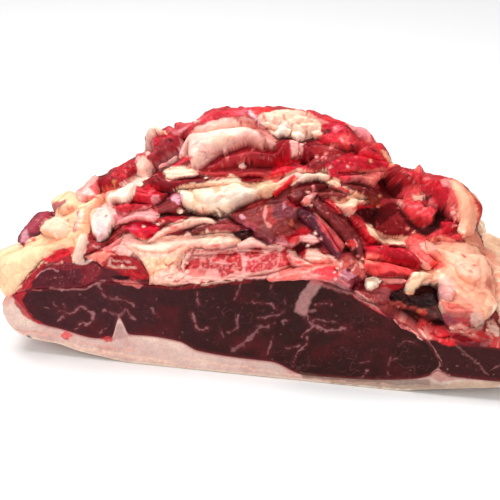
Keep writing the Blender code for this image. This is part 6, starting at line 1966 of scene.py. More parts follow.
def stroke(u, v, course, width):
    """How much of a painted line covers each point of the picture."""
    away = np.full(u.shape, 1e9)
    for (ax, ay), (bx, by) in zip(course[:-1], course[1:]):
        ex, ey = bx - ax, by - ay
        t = np.clip(((u - ax) * ex + (v - ay) * ey) / max(ex * ex + ey * ey, 1e-9), 0, 1)
        away = np.minimum(away, np.hypot(u - ax - t * ex, v - ay - t * ey))
    return 1 - ramp(away, 0.2 * width, 0.75 * width)


class Canvas:
    """The front picture's colours, worked out from the areas and lines, two points to a pixel, painted
    shade and highlights included.
    """

    FINE = 2
    LEFT, TOP = -6, 94
    WIDE, HIGH = 516, 306
    WINDOW = (243, 263, 58, 17)  # the marbled window: its middle, half width and half height

    def __init__(self):
        u = self.LEFT + np.arange(self.WIDE * self.FINE) / self.FINE
        v = self.TOP + np.arange(self.HIGH * self.FINE) / self.FINE
        self.u, self.v = np.meshgrid(u, v, indexing="ij")
        flat = np.stack([self.u, self.v, np.zeros_like(self.u)], -1)
        self.u = self.u + 1.1 * bumps(flat, 6.0, 301) + 0.7 * bumps(flat, 2.6, 302)
        self.v = self.v + 1.0 * bumps(flat, 6.0, 303) + 0.7 * bumps(flat, 2.6, 304)
        self.broken = layered(flat, 3.4, 305, 3)
        self.rgb = np.zeros(flat.shape)
        self.cover = np.zeros(u.shape + v.shape)
        self.lay_areas()
        self.lay_strokes()
        self.lay_crumbs()
        self.speckle(flat)
        for u, v, half_u, half_v, *share in SHADED:
            reach = np.hypot((flat[..., 0] - u) / half_u, (flat[..., 1] - v) / half_v)
            near = ramp(1.25 - reach, 0.0, 0.5)
            self.rgb = self.rgb * (1 - near[..., None] * np.array(share))

    def lay_areas(self):
        for colour, outline, *more in AREAS:
            strength, soft = more + [1.0, 1.0][len(more):]
            corners = pairs(outline)
            win = self.window(corners, soft + 3)
            at = np.stack([self.u[win], self.v[win]], -1)
            away = outline_distance(at, corners) + (0.3 + 0.5 * soft) * self.broken[win]
            self.lay(win, colour, (1 - ramp(away, -0.6 * soft, 0.6 * soft)) * strength)

    def lay_strokes(self):
        for colour, width, course, *more in STROKES:
            line = rounded(pairs(course))
            win = self.window(line, width + 3)
            cover = stroke(self.u[win], self.v[win], line, width) * (more[0] if more else 0.9)
            self.lay(win, colour, np.clip(cover * (0.9 + 1.0 * self.broken[win]), 0, 1))

    def lay_crumbs(self):
        for u, v, size, colour in CRUMBS:
            win = self.window(np.array([(u, v)], float), size + 3)
            away = np.hypot(self.u[win] - u, self.v[win] - v)
            self.lay(win, colour, 1 - ramp(away, 0.7 * size, 1.15 * size))

    def speckle(self, flat):
        """Mottles the colours: uneven patches, pale specks in the lean and red ones in the fat, and
        painted glints.
        """
        meat = (self.rgb[..., 0] - self.rgb[..., 1]) / np.maximum(self.rgb[..., 0], 1e-4)
        meat = ramp(meat, 0.45, 0.8) * (self.cover > 0.5)
        uneven = layered(flat, 7.0, 306, 3)[..., None] * (0.16, 0.30, 0.26)
        bent = layered(flat, 14, 307, 2)[..., None] * 3
        streaks = layered(flat * (0.45, 1.25, 1) + bent, 2.2, 308, 3, 0.7)[..., None]
        streaks = streaks * (0.10, 0.24, 0.22)
        full = meat[..., None]
        change = uneven * (0.35 + 0.65 * full) + streaks * (0.25 + 0.75 * full)
        self.rgb = self.rgb * np.clip(1 + change, 0.3, 1.8)
        dark = self.rgb[..., 0] < 0.06
        # pale specks: partly flecks of fat, partly painted highlights on the wet lean
        pale = ramp(bumps(flat, 1.8, 309), 0.52, 0.82)
        pale = pale * ramp(layered(flat, 16, 310, 2), -0.2, 0.35) * meat
        self.tint((236, 150, 146), pale * np.where(dark, 0.15, 0.6))
        # painted highlights: small glints on the lean
        glints = ramp(bumps(flat, 1.2, 314), 0.66, 0.9)
        glints = glints * ramp(layered(flat, 11, 315, 2), 0.0, 0.4) * meat
        self.tint((250, 214, 210), glints * np.where(dark, 0.1, 0.5))
        pits = ramp(layered(flat * (0.6, 1.2, 1), 3.2, 316, 2), 0.2, 0.5) * meat
        self.rgb = self.rgb * (1 - pits[..., None] * (0.30, 0.42, 0.38))
        u, v, half_u, half_v = self.WINDOW
        reach = np.hypot((flat[..., 0] - u) / half_u, (flat[..., 1] - v) / half_v)
        marbled = ramp(1.3 - reach**2 + 0.5 * self.broken, 0.0, 0.6)
        self.rgb = self.rgb * (1 - marbled[..., None] * (0.10, 0.18, 0.16))
        grains = ramp(layered(flat, 2.0, 313, 2), 0.16, 0.34) * marbled * (0.35 + 0.65 * meat)
        self.tint((248, 176, 164), grains * 0.7)
        spots = ramp(bumps(flat, 2.0, 311), 0.74, 0.92)
        spots = spots * ramp(layered(flat, 22, 312, 2), 0.0, 0.5) * (1 - meat)
        self.tint((214, 110, 92), spots * 0.5 * (self.cover > 0.5))

    def tint(self, colour, share):
        """Lays a share of a colour over what is painted so far."""
        share = share[..., None]
        self.rgb = self.rgb * (1 - share) + np.array(linear(colour)) * share * self.cover[..., None]

    def window(self, corners, reach):
        """The part of the canvas around some corners."""
        low = np.floor((corners.min(0) - reach - (self.LEFT, self.TOP)) * self.FINE).astype(int)
        high = np.ceil((corners.max(0) + reach - (self.LEFT, self.TOP)) * self.FINE).astype(int)
        low = np.maximum(low, 0)
        return slice(low[0], max(high[0], low[0] + 1)), slice(low[1], max(high[1], low[1] + 1))

    def lay(self, win, colour, cover):
        """Paints a colour on a part of the canvas, as thick as its cover there."""
        share = cover[..., None]
        self.rgb[win] = self.rgb[win] * (1 - share) + np.array(linear(colour)) * share
        self.cover[win] = self.cover[win] * (1 - cover) + cover

    def at(self, points):
        """Colour times cover, and cover, of the canvas seen in front of the points."""
        u, v, _ = in_picture(points)
        gu = np.clip((u - self.LEFT) * self.FINE, 0, self.rgb.shape[0] - 1.001)
        gv = np.clip((v - self.TOP) * self.FINE, 0, self.rgb.shape[1] - 1.001)
        iu, iv = gu.astype(int), gv.astype(int)
        fu, fv = (gu - iu)[..., None], (gv - iv)[..., None]

        def read(grid):
            low = grid[iu, iv] * (1 - fu) + grid[iu + 1, iv] * fu
            high = grid[iu, iv + 1] * (1 - fu) + grid[iu + 1, iv + 1] * fu
            return low * (1 - fv) + high * fv

        return read(self.rgb), read(self.cover[..., None])


# What the light of the stage adds to the picture's colours: a share of all of them, a further share
# where they are red, and a thin veil over the lean of the boned side.
LIGHT_SHARE = np.array((0.03, 0.14, 0.21))
LIGHT_ON_MEAT = np.array((0.0, 0.03, -0.04))
VEIL = np.array((0.02, 0.005, 0.005))
OWN_TONE = 0.12


def painted(points, tone, touch, veil=0.0):
    """Lays the canvas over what faces the picture; a little of the piece's own tone stays."""
    if "canvas" not in LAYING:
        LAYING["canvas"] = Canvas()
    rgb, cover = LAYING["canvas"].at(points)
    meat = np.clip((rgb[..., :1] - rgb[..., 1:2]) / np.maximum(rgb[..., :1], 1e-4), 0, 1)
    rgb = rgb * (1 - LIGHT_SHARE - meat * LIGHT_ON_MEAT)
    rgb = np.maximum(rgb - veil * meat, 0.3 * rgb)
    front = 1 - ramp(points[..., 1] - curve(RIDGE_PLACE, points[..., 0]), 2, 12)
    front = (front * (1 - OWN_TONE))[..., None]
    return tone * (1 - cover * front) + rgb * front * touch


# ---------------------------------------------------------------- the layers of the front cut
LAYER_GAP = 0.35
EYE_END = 118


def cap_top(x, y):
    return cut_height(CAP_TOP, x, y)


def cap_under(x, y):
    return cut_height(CAP_UNDER, x, y)


def eye_top(x, y):
    return cut_height(EYE_TOP, x, y)


def edge_top(x, y):
    return np.maximum(cut_height(EDGE_TOP, x, y), eye_top(x, y) + 2 * LAYER_GAP)


def side_under(x, y):
    return np.maximum(np.where(x <= EYE_END, eye_top(x, y), 0), cap_top(x, y)) + LAYER_GAP


def side_top(x, y):
    return np.maximum(cut_height(SIDE_TOP, x, y), side_under(x, y) + LAYER_GAP)


# From and to along X, column spacing, row spacing on the cut, underside, top.
LAYERS = {
    "fat_cap": (-180, 180, 0.95, 0.8, cap_under, lambda x, y: cap_top(x, y) - LAYER_GAP),
    "eye_muscle": (-171, EYE_END, 0.75, 0.75, cap_top, eye_top),
    "edge_muscle": (-169, -69, 0.8, 0.8, lambda x, y: eye_top(x, y) + LAYER_GAP, edge_top),
    "side_muscle": (105, 175, 0.8, 0.8, side_under, side_top),
}

# Marbling on the front cut: width, strength and course in the picture.
MARBLING = (
    (2.0, 0.95, (60, 311, 66, 313, 75, 313, 79, 308, 87, 310, 93, 315, 92, 320, 88, 324, 82, 324,
        76, 329)),
    (1.6, 0.8, (64, 305, 66, 312, 62, 319, 59, 322)),
    (1.3, 0.6, (43, 307, 48, 308)),
    (1.2, 0.6, (52, 303, 56, 308)),
    (1.7, 0.85, (99, 283, 101, 289, 105, 296, 115, 299, 125, 300, 133, 305)),
    (1.7, 0.85, (103, 311, 115, 313, 119, 315, 126, 310, 130, 315, 136, 320)),
    (2.0, 0.85, (119, 315, 118, 322, 117, 328, 119, 334)),
    (1.5, 0.6, (152, 309, 155, 313, 158, 318)),
    (1.3, 0.6, (99, 333, 106, 329)),
    (2.0, 0.9, (192, 314, 198, 328, 202, 330, 209, 328)),
    (1.5, 0.7, (197, 293, 198, 305)),
    (1.4, 0.6, (241, 282, 237, 294, 234, 300)),
    (1.4, 0.65, (238, 314, 237, 327, 228, 332)),
    (1.3, 0.6, (221, 332, 224, 337)),
    (1.6, 0.8, (253, 303, 265, 303, 271, 304, 275, 307)),
    (1.3, 0.6, (276, 279, 270, 289)),
    (1.2, 0.6, (285, 299, 285, 304)),
    (1.6, 0.75, (258, 319, 277, 314, 285, 311)),
    (1.3, 0.6, (289, 320, 283, 322, 283, 325)),
    (3.4, 0.55, (269, 325, 261, 328, 251, 336, 244, 343, 233, 349)),
    (1.8, 0.7, (273, 335, 270, 346, 267, 354, 262, 355)),
    (2.6, 0.85, (302, 311, 309, 320, 314, 325, 322, 328, 330, 331, 346, 328)),
    (1.8, 0.8, (314, 325, 306, 332, 302, 337)),
    (1.7, 0.8, (308, 337, 306, 346, 297, 354, 292, 364)),
    (1.4, 0.7, (300, 346, 286, 349)),
    (1.5, 0.7, (316, 305, 329, 302, 332, 305)),
    (1.5, 0.7, (313, 321, 336, 321)),
    (1.4, 0.7, (309, 312, 316, 311)),
    (1.6, 0.6, (399, 345, 405, 341, 418, 344)),
    (1.6, 0.6, (360, 363, 370, 360)),
    (1.3, 0.5, (392, 356, 389, 364)),
    (1.3, 0.5, (393, 360, 399, 360)),
    (1.8, 0.7, (368, 371, 359, 379)),
    (1.4, 0.6, (388, 371, 389, 374)),
)
SIDE_SEAM = (1.8, 0.7, (386, 311, 406, 319, 420, 328, 427, 339, 435, 350, 440, 362, 438, 371))
SIDE_MARBLING = (
    (1.5, (456, 343, 463, 352, 474, 360, 484, 372, 489, 376)),
    (1.3, (491, 371, 499, 365)),
)


# Colours of the cut as seen in the picture, in 0 to 255.
CUT_TONES = {
    "cap": (214, 178, 168),
    "cap_right": (196, 172, 160),
    "cap_pale": (236, 208, 190),
    "cap_pink": (190, 128, 122),
    "cap_upper_rim": (168, 84, 84),
    "cap_lower_rim": (245, 225, 200),
    "lean_left": (63, 28, 32),
    "lean_right": (47, 19, 17),
    "lean_red": (82, 22, 27),
    "lean_dull": (48, 22, 23),
    "edge_muscle": (110, 36, 46),
    "side_muscle": (70, 26, 29),
    "lean_rim": (120, 30, 38),
    "web": (118, 62, 66),
    "fleck": (160, 96, 98),
    "halo": (104, 34, 42),
    "marbling": (160, 108, 110),
    "seam": (176, 120, 116),
    "side_marbling": (150, 96, 94),
    "back_lean": (78, 28, 32),
    "back_red": (108, 34, 38),
    "back_rim": (132, 32, 38),
    "back_marbling": (184, 124, 126),
}
CUT_TONE = {name: linear(rgb) for name, rgb in CUT_TONES.items()}


def cut_tone(name, points, top_gap, under_gap):
    """Colour of a layer where the front cut goes through it, from the picture's own places."""
    u, v, _ = in_picture(points)
    sway = np.stack([bumps(points, 5, 71), bumps(points, 5, 72)], -1)
    near = np.stack([bumps(points, 1.9, 66), bumps(points, 1.9, 67)], -1)
    u, v = u + 1.2 * sway[..., 0] + 1.2 * near[..., 0], v + 1.2 * sway[..., 1] + 1.2 * near[..., 1]
    drift = layered(points, 17, 73, 3)
    grit = layered(points, (2.6, 2.6, 2.6), 74, 3)
    if name == "fat_cap":
        return cap_tone(points, u, drift, top_gap, under_gap) * (1 + 0.08 * grit[..., None])
    tone = lean_tone(name, points, u, drift, top_gap, under_gap)
    tone = fine_marbling(tone, points, sway)
    if name == "eye_muscle":
        tone = eye_marbling(tone, points, u, v)
    if name in ("eye_muscle", "side_muscle"):
        width, strength, course = SIDE_SEAM
        cover = stroke(u, v, rounded(pairs(course)), width) * strength
        tone = blend(tone, CUT_TONE["seam"], cover * (0.8 + 0.3 * grit))
    if name == "side_muscle":
        for width, course in SIDE_MARBLING:
            thin = width * (0.8 + 1.2 * layered(points, 3.0, 82, 2))
            cover = stroke(u, v, rounded(pairs(course)), thin)
            tone = blend(tone, CUT_TONE["side_marbling"], cover * 0.55)
    return tone * (1 + 0.12 * grit[..., None])


def cap_tone(points, u, drift, top_gap, under_gap):
    """The fat cap: duller to the right, pink at its upper rim and pale at its lower one."""
    tone = np.broadcast_to(CUT_TONE["cap"], points.shape)
    tone = blend(tone, CUT_TONE["cap_right"], ramp(u, 150, 430))
    tone = blend(tone, CUT_TONE["cap_pale"], ramp(drift, 0, 0.7) * 0.7)
    tone = blend(tone, CUT_TONE["cap_pink"], ramp(-drift, 0.1, 0.7) * 0.55)
    tone = blend(tone, CUT_TONE["cap_upper_rim"], (1 - ramp(top_gap, 0.2, 1.8)) * 0.55)
    return blend(tone, CUT_TONE["cap_lower_rim"], (1 - ramp(under_gap, 0.4, 3.0)) * 0.6)


def lean_tone(name, points, u, drift, top_gap, under_gap):
    """Dark lean, a little browner to the right and redder at its rims."""
    tone = np.broadcast_to(CUT_TONE["lean_left"], points.shape)
    tone = blend(tone, CUT_TONE["lean_right"], ramp(u, 90, 260))
    tone = blend(tone, CUT_TONE["lean_red"], ramp(drift, 0.0, 0.8) * 0.7)
    tone = blend(tone, CUT_TONE["lean_dull"], ramp(-drift, 0.1, 0.8) * 0.7)
    if name in ("edge_muscle", "side_muscle"):
        tone = blend(tone, CUT_TONE[name], 0.4)
    rim = 1 - ramp(np.minimum(top_gap, under_gap), 0.4, 2.6)
    return blend(tone, CUT_TONE["lean_rim"], rim * 0.45)


def fine_marbling(tone, points, sway):
    """A web of thin lines and flecks that have no place of their own in the picture."""
    web = np.abs(layered(points + sway[..., :1] * 2, (9, 9, 9), 75, 2))
    web2 = np.abs(layered(points + sway[..., :1] * 1.2, (4.4, 4.4, 4.4), 76, 2))
    fine = (1 - ramp(web, 0.0, 0.035)) * ramp(layered(points, 21, 77, 2), -0.05, 0.45) * 0.5
    finer = (1 - ramp(web2, 0.0, 0.045)) * ramp(layered(points, 14, 78, 2), 0.1, 0.5) * 0.35
    tone = blend(tone, CUT_TONE["web"], np.maximum(fine, finer) * 0.8)
    flecks = ramp(bumps(points, 1.9, 79), 0.62, 0.86) * ramp(layered(points, 12, 80, 2), 0.0, 0.5)
    return blend(tone, CUT_TONE["fleck"], flecks * 0.5)


def eye_marbling(tone, points, u, v):
    """The lines of fat in the eye of the cut, each with a soft red edge and an uneven width."""
    broken = 0.72 + 0.5 * layered(points, 7, 81, 2)
    for width, strength, course in MARBLING:
        line = rounded(pairs(course))
        halo = stroke(u, v, line, width * 3.2) * strength * 0.4
        tone = blend(tone, CUT_TONE["halo"], np.clip(halo, 0, 1))
        thin = width * np.clip(0.8 + 2.0 * layered(points, 2.8, 82, 3), 0.15, 2.3)
        cover = stroke(u, v, line, thin) * strength * broken
        tone = blend(tone, CUT_TONE["marbling"], np.clip(cover, 0, 1))
    return tone


def back_tone(points, top_gap, under_gap):
    """The back cut has the same look as the front one, with marbling of its own."""
    drift = layered(points, 19, 83, 3)
    grit = layered(points, 2.6, 84, 3)
    tone = np.broadcast_to(CUT_TONE["back_lean"], points.shape)
    tone = blend(tone, CUT_TONE["back_red"], ramp(drift, 0, 0.8))
    rim = 1 - ramp(np.minimum(top_gap, under_gap), 0.6, 3.4)
    tone = blend(tone, CUT_TONE["back_rim"], rim * 0.75)
    sway = bumps(points, 9, 85)[..., None] * 3
    web = np.abs(layered(points + sway, 17, 86, 2))
    web2 = np.abs(layered(points + sway, 7, 87, 2))
    veins = (1 - ramp(web, 0.0, 0.04)) * ramp(layered(points, 30, 88, 2), -0.1, 0.4)
    finer = (1 - ramp(web2, 0.0, 0.05)) * ramp(layered(points, 18, 89, 2), 0.05, 0.5) * 0.7
    tone = blend(tone, CUT_TONE["back_marbling"], np.maximum(veins, finer) * 0.85)
    return tone * (1 + 0.12 * grit[..., None])


# Rows of a layer from the front cut to the back cut, and rows on the back cut.
OVER_ROWS, BACK_ROWS = 14, 24
LEAST = 0.4
FRONT_TURN = 1.3


def layer_front(name, xs, under, top, row):
    """A layer's face on the front cut, and the gaps above and below each of its points."""
    zeros = np.zeros_like(xs)
    front_under, front_top = under(xs, zeros + FRONT), top(xs, zeros + FRONT)
    front_top = np.maximum(front_top, front_under + LEAST)
    tall = (front_top - front_under).max()
    n = max(6, int(math.ceil(tall / row)))
    share = np.linspace(0, 1, n + 1)
    z = front_under[:, None] + (front_top - front_under)[:, None] * share
    at = np.stack([np.repeat(xs[:, None], n + 1, 1), np.full((len(xs), n + 1), FRONT), z], -1)
    top_gap, under_gap = front_top[:, None] - z, z - front_under[:, None]
    rim = np.minimum(top_gap, under_gap)
    outer = {"fat_cap": under_gap, "edge_muscle": top_gap}.get(name, rim + 1.0)
    round_off = 1.0 * (1 - np.sqrt(np.maximum(1 - (1 - np.clip(outer / FRONT_TURN, 0, 1)) ** 2, 0)))
    round_off = round_off + 0.3 * (1 - ramp(rim, 0, 0.6))
    swell = 0.55 * layered(at, 12, 91, 2) + 0.22 * layered(at, 2.8, 92, 2)
    at[..., 1] += round_off - np.where(rim > 0, ramp(rim, 0, 2.5), 0) * swell
    return at, top_gap, under_gap


def layer_back(xs, back, under, top):
    """A layer's face on the back cut, from its top down, and the gaps above and below its points."""
    fall = np.linspace(1, 0, BACK_ROWS + 1)
    x = np.repeat(xs[:, None], BACK_ROWS + 1, 1)
    y = np.repeat(back[:, None], BACK_ROWS + 1, 1)
    low, high = under(x, y), np.maximum(top(x, y), under(x, y) + LEAST)
    z = low + (high - low) * fall
    behind = np.stack([x, y, z], -1)
    rim = ramp(np.minimum(high - z, z - low), 0, FRONT_TURN)
    behind[..., 1] += 0.7 * layered(behind, 12, 93, 2) - 1.2 * (1 - rim)
    return behind, high - z, z - low


def end_faces(points):
    """Triangles that close the first and the last ring of a tube."""
    rows, size = points.shape[:2]
    index = np.arange(rows * size).reshape(rows, size)
    ends = []
    for side, ids in ((0, index[0]), (-1, index[-1])):
        flat = [[Vector((points[side, j, 1], points[side, j, 2], 0)) for j in range(size)]]
        for x, y, z in tessellate_polygon(flat):
            p, q, r = (flat[0][j] for j in (x, y, z))
            turn = (q.x - p.x) * (r.y - p.y) - (q.y - p.y) * (r.x - p.x)
            outward = turn > 0 if side else turn < 0
            ends.append((ids[x], ids[y], ids[z]) if outward else (ids[x], ids[z], ids[y]))
    return np.array(ends, int).reshape(-1, 3)


def layer_parts(name):
    """A layer as one closed tube of rings, fine on the front cut."""
    start, end, column, row, under, top = LAYERS[name]
    xs = np.linspace(start, end, int(round((end - start) / column)) + 1)
    back = back_y(xs)
    front, top_gap, under_gap = layer_front(name, xs, under, top, row)
    ys = FRONT + FRONT_TURN + (back - FRONT - 2 * FRONT_TURN)[:, None] * (
        np.arange(1, OVER_ROWS) / OVER_ROWS
    )
    xm = np.repeat(xs[:, None], OVER_ROWS - 1, 1)
    above = np.stack([xm, ys, np.maximum(top(xm, ys), under(xm, ys) + LEAST)], -1)
    behind, *back_gaps = layer_back(xs, back, under, top)
    below = np.stack([xm, ys[:, ::-1], under(xm, ys[:, ::-1])], -1)
    if name == "fat_cap":
        below[..., 2] += 0.35 * layered(below, 18, 94, 2)
    points = np.concatenate([front, above, behind, below], axis=1)
    rows, size = points.shape[:2]
    first = front.shape[1]
    last = first + OVER_ROWS - 1
    tone = np.empty_like(points)
    speck = 1 + 0.10 * layered(front, 2.6, 95, 3)[..., None]
    tone[:, :first] = painted(front, cut_tone(name, front, top_gap, under_gap), speck)
    rest = points[:, first:]
    inner = np.full(rest.shape[:2], 4.0)
    tone[:, first:] = cut_tone(name, rest, inner, inner)
    speck = 1 + 0.2 * layered(above, 3.0, 96, 3)[..., None]
    tone[:, first:last] = painted(above, tone[:, first:last], speck)
    if name != "fat_cap":
        tone[:, last:last + BACK_ROWS + 1] = back_tone(behind, *back_gaps)
    grain = points.copy()
    index = np.arange(rows * size).reshape(rows, size)
    a, b = index[:-1], index[1:]
    quads = np.stack([a, b, np.roll(b, -1, axis=1), np.roll(a, -1, axis=1)], -1).reshape(-1, 4)
    tone = np.clip(tone, 0.002, 1)
    return points.reshape(-1, 3), tone.reshape(-1, 3), grain.reshape(-1, 3), quads, end_faces(points)


# ---------------------------------------------------------------- finishes
# rough: from and to. glow: share of light that goes under the surface, and glow_at how far its red,
# green and blue go. bump: in metres. strand and streak: how much the fibres show as form and colour.
LOOKS = {
    "fat": {"shine": 0.25, "rough": (0.42, 0.66), "wet": 0.06, "glow": 0.16,
            "glow_at": (1.0, 0.55, 0.4), "bump": 0.00022, "strand": 0.10, "streak": 0.10},
    "lean": {"shine": 0.16, "rough": (0.36, 0.60), "wet": 0.05, "glow": 0.10,
             "glow_at": (1.0, 0.25, 0.18), "bump": 0.00028, "strand": 0.22, "streak": 0.22},
    "deep": {"shine": 0.05, "rough": (0.60, 0.80), "wet": 0.0, "glow": 0.05,
             "glow_at": (1.0, 0.25, 0.18), "bump": 0.00028, "strand": 0.22, "streak": 0.22},
    "cut": {"shine": 0.12, "rough": (0.50, 0.68), "wet": 0.0, "glow": 0.05,
            "glow_at": (1.0, 0.25, 0.18), "bump": 0.00020, "strand": 0.0, "streak": 0.16},
    "cap": {"shine": 0.25, "rough": (0.50, 0.70), "wet": 0.0, "glow": 0.12,
            "glow_at": (1.0, 0.6, 0.45), "bump": 0.00025, "strand": 0.0, "streak": 0.08},
}  # fmt: skip
FIBRE_STRETCH = (0.09, 1.1, 0.6)
EVEN_STRETCH = (0.5, 0.5, 0.5)


def finish_for(kind):
    """Wet raw surface: the painted tone, broken up along the fibres, over a fine wet bump."""
    look = LOOKS[kind]
    name = f"raw_{kind}"
    material = bpy.data.materials.get(name) or bpy.data.materials.new(name)
    material.use_nodes = True
    tree = material.node_tree
    tree.nodes.clear()

    def node(kind, place, **values):
        made = tree.nodes.new(kind)
        made.location = place
        for key, value in values.items():
            if key in made.inputs:
                made.inputs[key].default_value = value
            else:
                setattr(made, key, value)
        return made

    def spread(place, source, low, high, least, most):
        made = node("ShaderNodeMapRange", place)
        for key, value in (("From Min", low), ("From Max", high), ("To Min", least), ("To Max", most)):
            made.inputs[key].default_value = value
        link(source.outputs["Fac"], made.inputs["Value"])
        return made

    link = tree.links.new
    out = node("ShaderNodeOutputMaterial", (900, 0))
    shader = node("ShaderNodeBsdfPrincipled", (600, 0))
    for key, value in (
        ("Coat Weight", look["wet"]), ("Coat Roughness", 0.12), ("Subsurface Weight", look["glow"]),
        ("Subsurface Radius", look["glow_at"]), ("Subsurface Scale", 0.0025), ("IOR", 1.42),
        ("Specular IOR Level", look["shine"]),
    ):  # fmt: skip
        shader.inputs[key].default_value = value
    link(shader.outputs[0], out.inputs[0])
    tone = node("ShaderNodeAttribute", (-900, 300), attribute_name="tone")
    grain = node("ShaderNodeAttribute", (-900, 0), attribute_name="grain")
    place = node("ShaderNodeTexCoord", (-900, -300))
    stretch = node("ShaderNodeMapping", (-700, 0))
    stretch.inputs["Scale"].default_value = FIBRE_STRETCH if look["strand"] else EVEN_STRETCH
    link(grain.outputs["Vector"], stretch.inputs["Vector"])
    fibre = node("ShaderNodeTexNoise", (-500, 0), Scale=1.0, Detail=3.0, Roughness=0.6, Distortion=0.4)
    link(stretch.outputs[0], fibre.inputs["Vector"])
    grit = node("ShaderNodeTexNoise", (-500, -300), Scale=650.0, Detail=3.0, Roughness=0.6)
    link(place.outputs["Object"], grit.inputs["Vector"])
    blotch = node("ShaderNodeTexNoise", (-500, -550), Scale=160.0, Detail=2.0)
    link(place.outputs["Object"], blotch.inputs["Vector"])
    shade = spread((-250, 0), fibre, 0.3, 0.7, 1 - look["streak"], 1 + look["streak"])
    fleck = spread((-250, -300), grit, 0.3, 0.7, 0.93, 1.07)
    both = node("ShaderNodeMath", (-50, -100), operation="MULTIPLY")
    link(shade.outputs[0], both.inputs[0])
    link(fleck.outputs[0], both.inputs[1])
    scaled = node("ShaderNodeVectorMath", (150, 150), operation="SCALE")
    link(tone.outputs["Color"], scaled.inputs[0])
    link(both.outputs[0], scaled.inputs["Scale"])
    link(scaled.outputs[0], shader.inputs["Base Color"])
    rough = spread((150, -150), blotch, 0.35, 0.65, *look["rough"])
    link(rough.outputs[0], shader.inputs["Roughness"])
    ridges = node("ShaderNodeMath", (-50, -400), operation="MULTIPLY_ADD")
    ridges.inputs[1].default_value = look["strand"] * 4
    link(fibre.outputs["Fac"], ridges.inputs[0])
    link(grit.outputs["Fac"], ridges.inputs[2])
    bump = node("ShaderNodeBump", (350, -350))
    bump.inputs["Strength"].default_value = 0.9
    bump.inputs["Distance"].default_value = look["bump"]
    link(ridges.outputs[0], bump.inputs["Height"])
    link(bump.outputs[0], shader.inputs["Normal"])
    return material


# ---------------------------------------------------------------- pieces
def make_piece(name):
    """One piece of the boned side as a mesh."""
    slot, kind, nodes = PIECES[name]
    laid = laying()
    if name not in laid["patches"]:
        raise RuntimeError(f"nothing is laid for {name}")
    parts = [patch.mesh_parts(laid["whole"]) for patch in laid["patches"][name]]
    return make_mesh(name, parts, finish_for(kind), nodes)


def make_layer(name, kind):
    """One layer of the front cut as a mesh."""
    return make_mesh(f"cut_{name}", [layer_parts(name)], finish_for(kind), (name,))


# ---------------------------------------------------------------- floor, light and camera
# Name, place, aim and width of each light, in metres, and the setting with its power.
LIGHTS = (
    ("key", (-0.35, -0.02, 1.25), (0, 0, 0.08), 0.75, "key_power"),
    ("fill", (0.25, -1.35, 0.7), (0, -0.05, 0.06), 0.9, "fill_power"),
)


def make_floor(sizes, colours):
    """A pale matt floor."""
    floor = bpy.data.meshes.new("floor")
    half = sizes.floor_width / 2
    corners = [(-half, -half, 0), (half, -half, 0), (half, half, 0), (-half, half, 0)]
    floor.from_pydata(corners, [], [(0, 1, 2, 3)])
    ground = bpy.data.objects.new("floor", floor)
    bpy.context.scene.collection.objects.link(ground)
    material = bpy.data.materials.new("floor_paper")
    material.use_nodes = True
    shader = material.node_tree.nodes["Principled BSDF"]
    shader.inputs["Base Color"].default_value = (*colours.floor, 1)
    shader.inputs["Roughness"].default_value = 0.75
    shader.inputs["Specular IOR Level"].default_value = 0.2
    floor.materials.append(material)


def make_light(sizes, colours):
    """The white surround, the large light above and the light in front."""
    world = bpy.data.worlds.new("studio")
    world.use_nodes = True
    world.node_tree.nodes["Background"].inputs[0].default_value = (*colours.surround, 1)
    world.node_tree.nodes["Background"].inputs[1].default_value = sizes.surround_strength
    bpy.context.scene.world = world
    for name, place, aim, width, power in LIGHTS:
        lamp = bpy.data.lights.new(name, "AREA")
        lamp.size = width
        lamp.energy = getattr(sizes, power)
        obj = bpy.data.objects.new(name, lamp)
        obj.location = place
        obj.rotation_euler = (Vector(aim) - Vector(place)).to_track_quat("-Z", "Y").to_euler()
        bpy.context.scene.collection.objects.link(obj)


def make_camera():
    """The eye of the front picture."""
    camera = bpy.data.objects.new("camera", bpy.data.cameras.new("camera"))
    camera.data.sensor_width = SENSOR
    camera.data.lens = SENSOR / 2 * DISTANCE / (HALF_PICTURE * PIXEL)
    turned = Matrix((RIGHTWARDS, UPWARDS, TOWARDS)).transposed().to_4x4()
    turned.translation = Vector(EYE * MM)
    camera.matrix_world = turned
    bpy.context.scene.collection.objects.link(camera)
    bpy.context.scene.camera = camera
    bpy.context.scene.view_settings.view_transform = "Standard"


# ---------------------------------------------------------------- the add-on
def length(name, description, default):
    """A length that the panel shows."""
    return bpy.props.FloatProperty(
        name=name, description=description, default=default, min=0, unit="LENGTH"
    )


def colour(name, description, default):
    """A colour that the panel shows."""
    return bpy.props.FloatVectorProperty(
        name=name, description=description, default=default, min=0, max=1, size=3, subtype="COLOR"
    )


class SirloinSizes(bpy.types.PropertyGroup):
    """Sizes of the stage and strengths of its light"""

    floor_width: length("Floor width", "Width of the pale floor", 12.0)
    surround_strength: bpy.props.FloatProperty(
        name="Surround", description="Strength of the white surround", default=0.68, min=0
    )
    key_power: bpy.props.FloatProperty(
        name="Key light", description="Power of the large light above", default=15.0, min=0, unit="POWER"
    )
    fill_power: bpy.props.FloatProperty(
        name="Fill light", description="Power of the light in front", default=6.0, min=0, unit="POWER"
    )


class SirloinColours(bpy.types.PropertyGroup):
    """Colours of the stage"""

    floor: colour("Floor", "Colour of the floor", (0.86, 0.86, 0.86))
    surround: colour("Surround", "Colour of the white surround", (1.0, 1.0, 1.0))


class PieceOperator:
    """Adds the pieces that are named"""

    bl_options = {"REGISTER", "UNDO"}
    names = ()

    def execute(self, context):
        for name in self.names:
            make_piece(name)
        return {"FINISHED"}


